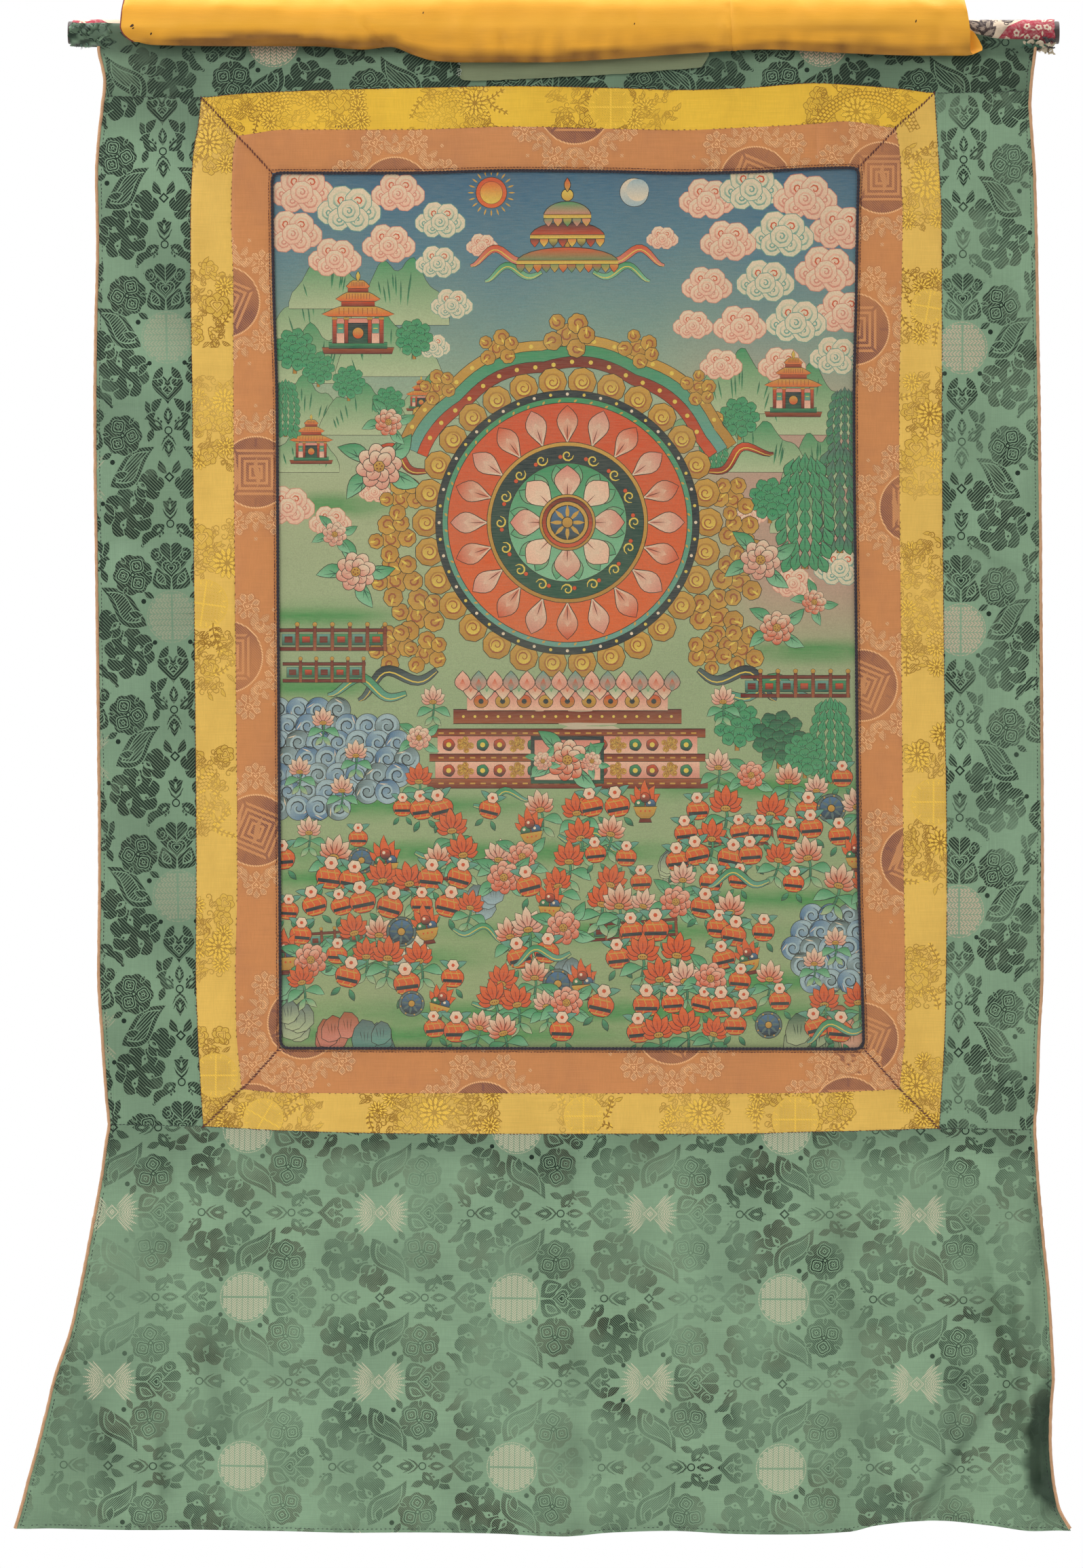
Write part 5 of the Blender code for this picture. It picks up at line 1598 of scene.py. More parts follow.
# Lengths that the borders are pieced from: node, side, and where each starts and ends.
BORDERS = {
    "yellow": (("yellow_top", "top", None, None), ("yellow_right", "right", None, None),
               ("yellow_bottom_left", "bottom", None, YELLOW_BOTTOM_JOIN),
               ("yellow_bottom_right", "bottom", YELLOW_BOTTOM_JOIN, None),
               ("yellow_left_upper", "left", None, YELLOW_LEFT_JOIN),
               ("yellow_left_lower", "left", YELLOW_LEFT_JOIN, None)),
    "copper": (("copper_left", "left", None, None), ("copper_right", "right", None, None),
               ("copper_top_left", "top", None, COPPER_TOP_JOIN),
               ("copper_top_right", "top", COPPER_TOP_JOIN, None),
               ("copper_bottom_left", "bottom", None, COPPER_BOTTOM_JOIN),
               ("copper_bottom_right", "bottom", COPPER_BOTTOM_JOIN, None))}


def make_border(name, outer, inner, shapes, fronts, back, rests_on):
    """Make one mitred border in the lengths that it is pieced from; the top length has a front of its own."""
    sizes, _ = scroll()
    for node, side, first, last in BORDERS[name]:
        outline = closed(outer.edge(side, first, last), inner.edge(side, first, last)[::-1])
        piece = make_sheet(node + "_damask", outline, touching(shapes, outline), hung_cloth(),
                           [fronts[side != "top"], back], cell=6.5, thickness=sizes.cloth * 1000,
                           weight=border_weight, shade=border_shade)
        declare_cloth(outline, node, rests_on)


def border_weight(across, drop):
    return np.clip(0.98 + 0.36 * waves(across, drop, 80, 31), 0.4, 1.35)


def border_shade(across, drop):
    """The silk is darker in soft patches and towards the mitres."""
    mitre = np.exp(-((np.abs(across) - 285) / 26) ** 2) * (
        np.exp(-((drop - 108) / 26) ** 2) + np.exp(-((drop - 900) / 26) ** 2))
    return np.clip(0.03 + 0.05 * waves(across, drop, 60, 32) + 0.04 * waves(across, drop, 18, 33)
                   + 0.12 * mitre, 0, 1)


class SCROLL_OT_yellow_border(bpy.types.Operator):
    """Sew the outer border of yellow damask"""
    bl_idname = "scroll.yellow_border"
    bl_label = "Yellow border"

    def execute(self, context):
        sizes, colours = scroll()
        top = finish_for("yellow_damask_top", woven_silk, tuple(colours.yellow), tuple(colours.yellow_dark),
                         tuple(colours.yellow_bright), sizes.damask_pitch, roughness=0.42)
        faded = finish_for("yellow_damask_faded", woven_silk, tuple(colours.yellow_faded),
                           tuple(colours.yellow_dark), tuple(colours.yellow_bright), sizes.damask_pitch,
                           roughness=0.42)
        back = finish_for("yellow_damask_back", plain_cloth, tuple(c * 0.7 for c in colours.yellow),
                          roughness=0.7)
        make_border("yellow", YELLOW, COPPER, yellow_figures(), [top, faded], back, ["header_brocade"])
        return {"FINISHED"}


class SCROLL_OT_copper_border(bpy.types.Operator):
    """Sew the inner border of copper damask"""
    bl_idname = "scroll.copper_border"
    bl_label = "Copper border"

    def execute(self, context):
        sizes, colours = scroll()
        front = finish_for("copper_damask_front", woven_silk, tuple(colours.copper),
                           tuple(colours.copper_dark), tuple(colours.copper_bright), sizes.damask_pitch,
                           roughness=0.44)
        back = finish_for("copper_damask_back", plain_cloth, tuple(c * 0.7 for c in colours.copper),
                          roughness=0.7)
        make_border("copper", COPPER, PICTURE, copper_figures(), [front, front], back, ["yellow_top_damask"])
        return {"FINISHED"}


# ==== the painted canvas: a landscape of common ornaments =========================================
def paint(red, green, blue):
    return (*srgb(red, green, blue), 1.0)


INK, NAVY, PINE = paint(30, 30, 36), paint(30, 48, 64), paint(28, 88, 76)
DEEP_SKY, TEAL = paint(52, 104, 148), paint(104, 168, 164)
PALE, EMERALD = paint(176, 200, 168), paint(56, 152, 108)
LEAF, MINT = paint(72, 166, 128), paint(132, 200, 170)
VERMILION, ORANGE, MAROON = paint(206, 82, 48), paint(218, 108, 58), paint(110, 36, 36)
GOLD, OCHRE, STRAW = paint(200, 164, 78), paint(176, 136, 62), paint(222, 206, 96)
PINK, BLUSH, CREAM = paint(212, 142, 132), paint(232, 194, 178), paint(228, 220, 202)
BLUE, FOAM, SLATE, RUST = paint(72, 122, 172), paint(158, 194, 214), paint(86, 114, 122), paint(156, 88, 58)


def inked(points, colour, fade=None, width=0.5):
    """Return a painted shape with its dark brush outline."""
    return [shape(grown(points, width), INK), shape(points, colour, fade)]


def cloud(pale, deep):
    shapes = []
    for x, y, r, turn in ((-14, 4, 8.5, 20), (14, 4, 9, 160), (-5, -5, 10, 60), (7, -4, 9.5, 200),
                          (-7, 9, 8, 300), (6, 9, 8.5, 120), (0, 3, 8, 240)):
        puff = ring(r, 24, (x, y), lobes=8, depth=0.09, turn=turn)
        shapes += [shape(grown(puff, 0.55), deep), shape(puff, CREAM, pale)]
        shapes += [shape(ring(r * 0.66, 14, (x, y), lobes=7, depth=0.07), pale, deep),
                   shape(ring(r * 0.5, 10, (x, y)), CREAM, pale),
                   shape(curl(r * 0.36, 1.3, 1.0, (x, y), turn, count=8), VERMILION if r > 9 else deep)]
    return shapes


def gilt_scroll():
    """A clump of gilt scrollwork, curls over leaves."""
    shapes = []
    for k, (x, y, r, turn) in enumerate(((0, 0, 8, 0), (-9, 6, 6.5, 70), (8, 7, 7, 140), (-4, -10, 6.5, 210),
                                         (9, -7, 5.5, 280), (0, 13, 6, 320))):
        shapes += inked(ring(r, 20, (x, y), lobes=7, depth=0.12, turn=turn), GOLD, OCHRE, 0.45)
        shapes += [shape(curl(r * 0.62, 1.5, 1.0, (x, y), turn, 1 if k % 2 else -1, 9), RUST),
                   shape(lens(r * 0.9, 1.6, (x, y), turn + 40), STRAW)]
    return shapes


def vase():
    """A lobed vase with a gilt net over it, a dark band, a cream bloom and teal leaves."""
    shapes = []
    for side in (-1, 1):
        shapes += inked(lens(12, 4.6, (1.5 * side, -6), 90 - side * 128, bow=-1.5 * side, count=6),
                        TEAL, EMERALD, 0.4)
        shapes += inked(lens(9, 3.8, (3.4 * side, 9), 90 - side * 36, count=6), LEAF, PINE, 0.4)
    shapes += inked(ring(8.2, 16, squash=1.12, lobes=5, depth=0.05, turn=-90), ORANGE, VERMILION, 0.5)
    for k in (-1, 0, 1):
        shapes += [shape(stroke([(k * 5 - 2.5, -6), (k * 5, 0), (k * 5 - 2.5, 6)], 0.6), GOLD)]
    shapes += [shape(box(15.4, 2.6, (0, 2.6)), NAVY), shape(box(12, 0.8, (0, -3.6)), GOLD),
               shape(box(11, 0.8, (0, 6.4)), GOLD)]
    shapes += inked(ring(4.8, 18, (0, -10), lobes=6, depth=0.2), CREAM, BLUSH, 0.45)
    return shapes + [shape(ring(1.5, 6, (0, -10)), VERMILION)]


def plinth():
    """A broad stepped base: dark mouldings, pink fields, and a framed flower panel in the middle."""
    shapes = []
    for y, wide, tall, colour, fade in (
            (0, 236, 7, MAROON, RUST), (10, 222, 15, PINK, BLUSH), (21, 236, 6, MAROON, RUST),
            (32, 226, 15, BLUSH, PINK), (43, 240, 8, RUST, MAROON)):
        shapes += inked(box(wide, tall, (0, y)), colour, fade)
    for y in (10, 32):
        for k in range(-7, 8):
            x = k * 14.5
            made = (moved(gilt_scroll(), (x, y), k * 40, 0.42) if k % 3 == 0 else
                    inked(ring(5.2, 15, (x, y), lobes=5, depth=0.14),
                          EMERALD if k % 3 == 1 else VERMILION, NAVY, 0.4)
                    + [shape(ring(2.2, 9, (x, y)), STRAW)])
            shapes += made
    for y in (0, 21, 43):
        shapes += [shape(box(4.4, 1.2, (k * 9.0, y)), GOLD) for k in range(-12, 13)]
    shapes += inked(box(62, 40, (0, 23)), NAVY, PINE) + inked(box(56, 34, (0, 23)), PINK, BLUSH, 0.4)
    shapes += moved(flower(VERMILION, CREAM), (0, 23), 10, 1.35)
    for x in (-21, 21):
        shapes += moved(flower(PINK, CREAM), (x, 24), 50 if x > 0 else -20, 0.62)
    return shapes


def hill(width, height, seed, top=EMERALD, foot=PALE):
    """A green hill whose crest fades down to its foot."""
    draw = np.random.default_rng(seed)
    t = np.linspace(0, 1, 26)
    crest = (height * np.sin(math.pi * t) ** 0.7 * (1 + 0.16 * np.sin(t * 19 + seed))
             + 0.8 * np.abs(np.sin(t * 42)))
    upper = np.stack([(t - 0.5) * width, -crest], 1)
    shapes = inked(np.concatenate([upper, [(width / 2, 5), (-width / 2, 5)]]), top, foot, 0.4)
    for _ in range(9):
        x = draw.uniform(-0.36, 0.36)
        reach = height * draw.uniform(0.25, 0.5)
        y = -height * math.sin(math.pi * (x + 0.5)) ** 0.7 + draw.uniform(3, height * 0.35)
        shapes.append(shape(lens(reach, 1.5, (x * width, y), 90 + 50 * x), PINE, EMERALD))
    return shapes


def round_tree(green, pale):
    shapes = inked(box(3.2, 20, (0, 13), taper=0.7), RUST, OCHRE)
    places = [(0, 0)] + [polar(8.5, 60 * k + 15) for k in range(6)] + [polar(15, 40 * k) for k in range(9)]
    for k, at in enumerate(sorted(places, key=lambda place: place[1])):
        shapes += inked(ring(5.6, 20, at, lobes=5, depth=0.14, turn=k * 31), green, pale, 0.4)
        for side in (-40, 0, 40):
            shapes.append(shape(lens(4.6, 0.8, (at[0], at[1] + 2.5), side - 90), PINE))
    return shapes


def tall_tree(green, pale):
    """A tall tree of overlapping leaf fans."""
    shapes = inked(box(3, 12, (0, 30), taper=0.5), RUST, OCHRE)
    for row in range(8):
        reach = 3 + 7.5 * math.sin(math.pi * (row + 1.4) / 10.5)
        for k in range(-2, 3):
            at = (k * reach * 0.5, -26 + row * 7.3 + abs(k) * 1.6)
            shapes += inked(lens(10.5, 5.6, at, 90 - k * 12, fat=0.6), green, pale, 0.35)
            shapes.append(shape(lens(7, 0.6, (at[0], at[1] + 1), 90 - k * 12), PINE))
    return shapes


def lotus(petal, tip):
    """A lotus seen from the side on its leaves."""
    shapes = inked(stroke([(0, 0), (1.2, 6), (0.3, 13), (-1.5, 19)], 1.5), LEAF, PINE, 0.3)
    for side in (-1, 1):
        leaf = lens(17, 7.5, (0.5, 9), 90 - side * 68, bow=-3 * side, fat=0.55, count=9)
        shapes += inked(leaf, EMERALD, MINT, 0.4)
        shapes.append(shape(lens(12, 0.7, (1, 9), 90 - side * 62), PINE))
        shapes += inked(lens(12, 5, (0, 15), 90 - side * 40, fat=0.5), LEAF, PALE, 0.35)
    for lean, reach in ((-84, 11), (84, 11), (-58, 13.5), (58, 13.5), (-31, 15), (31, 15), (0, 16.5)):
        shapes += inked(lens(reach, 6.6, (0, 1.5), lean - 90, fat=0.55, count=6), tip, petal, 0.42)
        shapes.append(shape(lens(reach * 0.5, 1.0, polar(2.5, lean - 90, (0, 1.5)), lean - 90, count=4),
                            MAROON, petal))
    shapes += inked(ring(3.4, 12, (0, 1.5), squash=0.6), GOLD, OCHRE, 0.4)
    return shapes + [shape(ring(0.5, 5, (k * 1.5, 1.4)), MAROON) for k in (-1, 0, 1)]


def flower(petal, tip, eye=GOLD):
    """A full peony seen from the front, with four leaves."""
    shapes = []
    for turn in (35, 145, 215, 325):
        shapes += inked(lens(22, 9, polar(4, turn), turn, bow=2, fat=0.5, count=9), EMERALD, MINT, 0.42)
        shapes += [shape(lens(17, 0.8, polar(5, turn), turn), PINE)]
        for side in (-30, 30):
            shapes.append(shape(lens(5.5, 0.6, polar(13, turn), turn + side), PINE))
    for count, reach, r, shift in ((8, 8.6, 4.6, 0), (6, 5.2, 4.0, 20)):
        for k in range(count):
            at = polar(reach, shift + 360 * k / count)
            shapes += inked(ring(r, 15, at, lobes=3, depth=0.12, turn=shift + 360 * k / count),
                            tip, petal, 0.4)
            shapes.append(shape(lens(r * 1.1, 0.7, polar(reach - r * 0.6, shift + 360 * k / count),
                                     shift + 360 * k / count), petal, MAROON))
    shapes += inked(ring(3.2, 14, lobes=7, depth=0.12), eye, OCHRE, 0.4)
    return shapes + [shape(ring(0.55, 5, polar(1.6, 72 * k)), MAROON) for k in range(5)]


def wheel(rim, spoke):
    shapes = inked(ring(10.5, 30), rim) + inked(ring(8.4, 26), spoke, NAVY, 0.5)
    for k in range(8):
        shapes += [shape(lens(7.4, 2.0, polar(1.5, 45 * k), 45 * k), rim)]
        shapes += [shape(ring(0.7, 6, polar(9.4, 45 * k + 22)), GOLD)]
    return shapes + inked(ring(2.6, 12), GOLD, OCHRE)


def jewels():
    """Three jewels in a bowl, with a flame behind them."""
    shapes = []
    for lean, reach in ((-50, 15), (50, 15), (-25, 18), (25, 18), (0, 21)):
        shapes += inked(lens(reach, 7, (0, 2), lean - 90, sway=0.8, fat=0.4), ORANGE, VERMILION, 0.35)
    for x, y, colour in ((-4.2, 0, EMERALD), (4.2, 0, BLUE), (0, -5, VERMILION)):
        shapes += inked(ring(3.7, 16, (x, y)), colour, NAVY, 0.45)
        shapes.append(shape(ring(1.2, 8, (x - 1, y - 1.2)), CREAM))
    bowl = [(-9, 2), (9, 2), (6.5, 8), (3, 11), (-3, 11), (-6.5, 8)]
    shapes += inked(bowl, GOLD, OCHRE) + inked(box(10, 2.4, (0, 12.5), taper=1), MAROON)
    return shapes + [shape(ring(0.8, 6, (k * 3.4, 5.2)), VERMILION) for k in (-1, 0, 1)]


def wave(colour=BLUE):
    shapes = inked(ring(8.6, 26), FOAM, colour, 0.4)
    shapes += [shape(curl(7.4, 2.6, 1.25, turn=200, count=18), FOAM),
               shape(curl(5.6, 1.0, 1.2, turn=215), NAVY)]
    return shapes + [shape(lens(9, 0.8, (-4, 7.0), 12), NAVY), shape(lens(7, 0.8, (-2, 5.0), 16), CREAM)]


def rock(colour, pale, seed):
    draw = np.random.default_rng(seed)
    shapes = []
    for k in range(5):
        at = (draw.uniform(-11, 11), -3 * k + draw.uniform(-2, 2) + 6)
        facet = ring(draw.uniform(7, 11), 9, at, squash=1.25, turn=draw.uniform(0, 40), lobes=3, depth=0.2)
        shapes += inked(facet, colour, pale, 0.5)
        for line in range(3):
            shapes.append(shape(lens(9, 0.7, (at[0] - 4 + 3 * line, at[1] - 5), 78 + 8 * line), INK, colour))
    return shapes


def streamer(colour, fade, flip=1):
    t = np.linspace(0, 1, 17)
    spine = np.stack([t * 44 * flip, 7 * np.sin(t * 8) * (0.4 + t * 0.6)], 1)
    width = 5.2 * np.sin(math.pi * np.clip(t * 0.9 + 0.08, 0, 1)) ** 0.5
    shapes = inked(stroke(spine, width), colour, fade, 0.4)
    return shapes + [shape(stroke(spine + (0, 0.9), width * 0.14), STRAW)]


def pavilion():
    """A small tiered hall with gilt roofs, on steps."""
    shapes = inked(box(58, 5, (0, 27), taper=-2), RUST, MAROON) + inked(box(50, 5, (0, 22.5)), EMERALD, PINE)
    shapes += inked(box(44, 21, (0, 10)), PINK, BLUSH) + inked(box(16, 17, (0, 12)), NAVY, PINE)
    shapes += inked(ring(4.6, 16, (0, 12)), GOLD, VERMILION)
    for x in (-20, -10, 10, 20):
        shapes += inked(box(2.8, 21, (x, 10)), VERMILION, MAROON, 0.4)
        shapes += inked(box(4.4, 2, (x, -0.4)), GOLD, OCHRE, 0.3)
    for x in (-15, 15):
        shapes += inked(box(5.4, 8, (x, 8)), EMERALD, TEAL, 0.4) + [shape(box(3.6, 0.7, (x, 8)), STRAW)]
    for y, half, tall in ((-4, 31, 7), (-17, 19, 6), (-28, 10, 5)):
        roof = [(-half, y), (-half * 0.66, y - tall * 0.7), (-half * 0.45, y - tall), (half * 0.45, y - tall),
                (half * 0.66, y - tall * 0.7), (half, y), (half * 0.8, y + 1.6), (-half * 0.8, y + 1.6)]
        shapes += inked(roof, GOLD, ORANGE)
        for k in range(-4, 5):
            shapes.append(shape(box(0.6, tall * 0.8, (k * half * 0.13, y - tall * 0.4)), RUST))
        if y > -28:
            shapes += inked(box(half * 0.92, 5, (0, y - tall - 2.5)), VERMILION, MAROON, 0.4)
    return shapes + inked(lens(9, 3.4, (0, -32), -90), STRAW, GOLD, 0.4)


def railing(posts):
    shapes = inked(box(posts * 15 + 4, 2.4, (0, -8)), MAROON)
    shapes += inked(box(posts * 15 + 4, 2.6, (0, 8)), MAROON)
    for k in range(posts):
        x = (k - posts / 2 + 0.5) * 15
        shapes += inked(box(11, 9.5, (x, 0)), EMERALD if k % 2 else TEAL, PINE, 0.4)
        shapes += inked(box(6.5, 5, (x, 0)), VERMILION if k % 2 else MAROON, MAROON, 0.3)
        shapes += inked(box(2.6, 21, (x + 7.5, -1)), MAROON, RUST, 0.3)
        shapes += inked(ring(1.9, 10, (x + 7.5, -13)), GOLD, OCHRE, 0.3)
    return shapes


def petal_ring(count, inner, outer, width, colours, tip, shift=0.0):
    shapes = []
    for k in range(count):
        turn = shift + 360 * k / count
        petal = lens(outer - inner, width, polar(inner, turn), turn, fat=0.6, count=9)
        colour = colours[k % len(colours)]
        at, end = polar(inner, turn), polar(outer, turn)
        shapes += [shape(grown(petal, 0.55), INK), shape(petal, tip, colour, at, end)]
        small = lens((outer - inner) * 0.6, width * 0.42, polar(inner + 2, turn), turn, fat=0.6)
        shapes += [shape(small, colour, tip, at, end),
                   shape(lens((outer - inner) * 0.45, 0.8, polar(inner + 2, turn), turn), MAROON)]
    return shapes


def mandala():
    """The great lotus wheel in the middle: rings of petals round an eight-spoked wheel."""
    shapes = []
    for k in range(30):
        at = polar(104, 12 * k)
        shapes += inked(ring(10.5, 27, at, lobes=9, depth=0.08), GOLD, OCHRE, 0.45)
        shapes += [shape(ring(6.6, 18, at, lobes=6, depth=0.1), OCHRE, RUST),
                   shape(ring(5.2, 14, at), GOLD, STRAW), shape(curl(4.2, 1.1, 1.1, at, 12 * k + 40), RUST)]
    shapes += inked(ring(97, 96), NAVY) + inked(ring(92, 90), EMERALD, TEAL)
    shapes += inked(ring(88, 90), VERMILION, ORANGE)
    for k in range(48):
        shapes += [shape(ring(1.2, 8, polar(94.5, 7.5 * k)), STRAW if k % 2 else CREAM),
                   shape(lens(3.2, 1.7, polar(88.5, 7.5 * k + 3), 7.5 * k + 50), GOLD)]
    shapes += petal_ring(20, 58, 86, 15, [PINK, VERMILION], CREAM) + inked(ring(59, 72), GOLD, OCHRE)
    shapes += inked(ring(56, 66), NAVY, PINE)
    shapes += [one for k in range(16) for one in moved(
        [shape(curl(4.6, 1.3, 1.2), STRAW)] + inked(ring(1.5, 8, (-5.2, 1.2)), VERMILION, None, 0.3),
        polar(49.5, 22.5 * k), 22.5 * k + 90)]
    shapes += inked(ring(43.5, 60), EMERALD, MINT) + petal_ring(16, 22, 42.5, 9, [LEAF], PALE, 11)
    shapes += petal_ring(8, 15, 42, 19, [PINK, BLUSH], CREAM) + inked(ring(20.5, 36), GOLD, OCHRE)
    shapes += inked(ring(18.4, 34), MAROON, VERMILION) + moved(wheel(GOLD, BLUE), size=1.45)
    return shapes


def canopy():
    """A tiered parasol with fluttering ends."""
    shapes = inked(box(2.6, 26, (0, 4)), GOLD, OCHRE, 0.4)
    for y, half, colours in ((18, 30, (VERMILION, EMERALD, GOLD)), (3, 22, (NAVY, VERMILION, STRAW)),
                             (-9, 14, (EMERALD, PINK, GOLD))):
        dome = [(half * math.cos(math.radians(a)), y - 9 * math.sin(math.radians(a)))
                for a in range(0, 181, 15)]
        shapes += inked(dome, colours[0], colours[1])
        count = round(half / 2.6)
        for k in range(count):
            x = -half + (k + 0.5) * 2 * half / count
            shapes += inked(lens(6.6, 5, (x, y - 1), 90, fat=0.4), colours[k % 3], colours[(k + 1) % 3], 0.35)
        shapes += inked(box(half * 2, 2, (0, y - 0.4)), GOLD, STRAW, 0.35)
    shapes += inked(ring(3.4, 14, (0, -22)), STRAW, GOLD)
    return shapes + inked(lens(8, 3.4, (0, -24), -90), VERMILION, GOLD)


def throne():
    """The lotus base under the great wheel."""
    shapes = inked(box(150, 9, (0, 26)), MAROON, RUST) + inked(box(132, 12, (0, 16)), PINK, BLUSH)
    for k in range(9):
        x = (k - 4) * 14.2
        shapes += inked(ring(4.6, 14, (x, 16), squash=0.9), GOLD if k % 2 else VERMILION, OCHRE, 0.4)
        shapes += [shape(ring(1.8, 8, (x, 16)), NAVY)]
    for k in range(19):
        shapes += [shape(ring(1.0, 6, ((k - 9) * 7.6, 26)), STRAW)]
    for y, turn, count, colours in ((8, 90, 13, (VERMILION, EMERALD)), (4, -90, 14, (BLUSH, TEAL))):
        for k in range(count):
            at = ((k - (count - 1) / 2) * 10.6, y - (6 if turn > 0 else -5))
            petal = lens(13, 10.2, at, turn, fat=0.42, count=8)
            shapes += inked(petal, colours[k % 2], CREAM if turn > 0 else PINK, 0.45)
            shapes += [shape(lens(8, 4.0, at, turn, fat=0.42), CREAM if turn > 0 else VERMILION,
                             colours[k % 2])]
    return shapes


def picture_ground(across, drop):
    """Return the washes under everything: sky down to meadow, rosy at the right."""
    wavy = drop + 7 * np.sin(across / 46) + 4 * np.sin(across / 17 + 1)
    levels = (110, 185, 250, 330, 400, 560, 880)
    washes = np.array([DEEP_SKY, *(paint(*wash) for wash in (
        (82, 132, 160), (116, 158, 160), (158, 188, 164), (166, 188, 156), (150, 180, 146),
        (148, 176, 136)))])
    colour = np.stack([np.interp(wavy, levels, washes[:, i]) for i in range(4)], 1)
    rosy = np.exp(-((drop - 330 - 0.2 * across) / 70) ** 2) * ease((across - 60) / 110)
    rosy += 0.8 * np.exp(-((drop - 460) / 60) ** 2) * ease((across - 120) / 60)
    colour += (np.array(paint(186, 158, 150)) - colour) * np.clip(rosy, 0, 0.9)[:, None]
    strips = np.zeros(len(across))
    for level, middle, reach in ((662, -160, 130), (646, 170, 110), (702, -60, 190), (742, 190, 90),
                                 (792, -170, 90), (838, 40, 240), (530, 215, 60), (500, -210, 60),
                                 (724, -190, 70), (770, 40, 120), (812, 170, 90), (858, -120, 160),
                                 (560, -215, 50), (405, -200, 50)):
        strips += np.exp(-((drop - level) / 7.5) ** 2 - ((across - middle) / reach) ** 2)
    return colour + (np.array(paint(60, 150, 86)) - colour) * np.clip(strips * 1.15, 0, 0.92)[:, None]


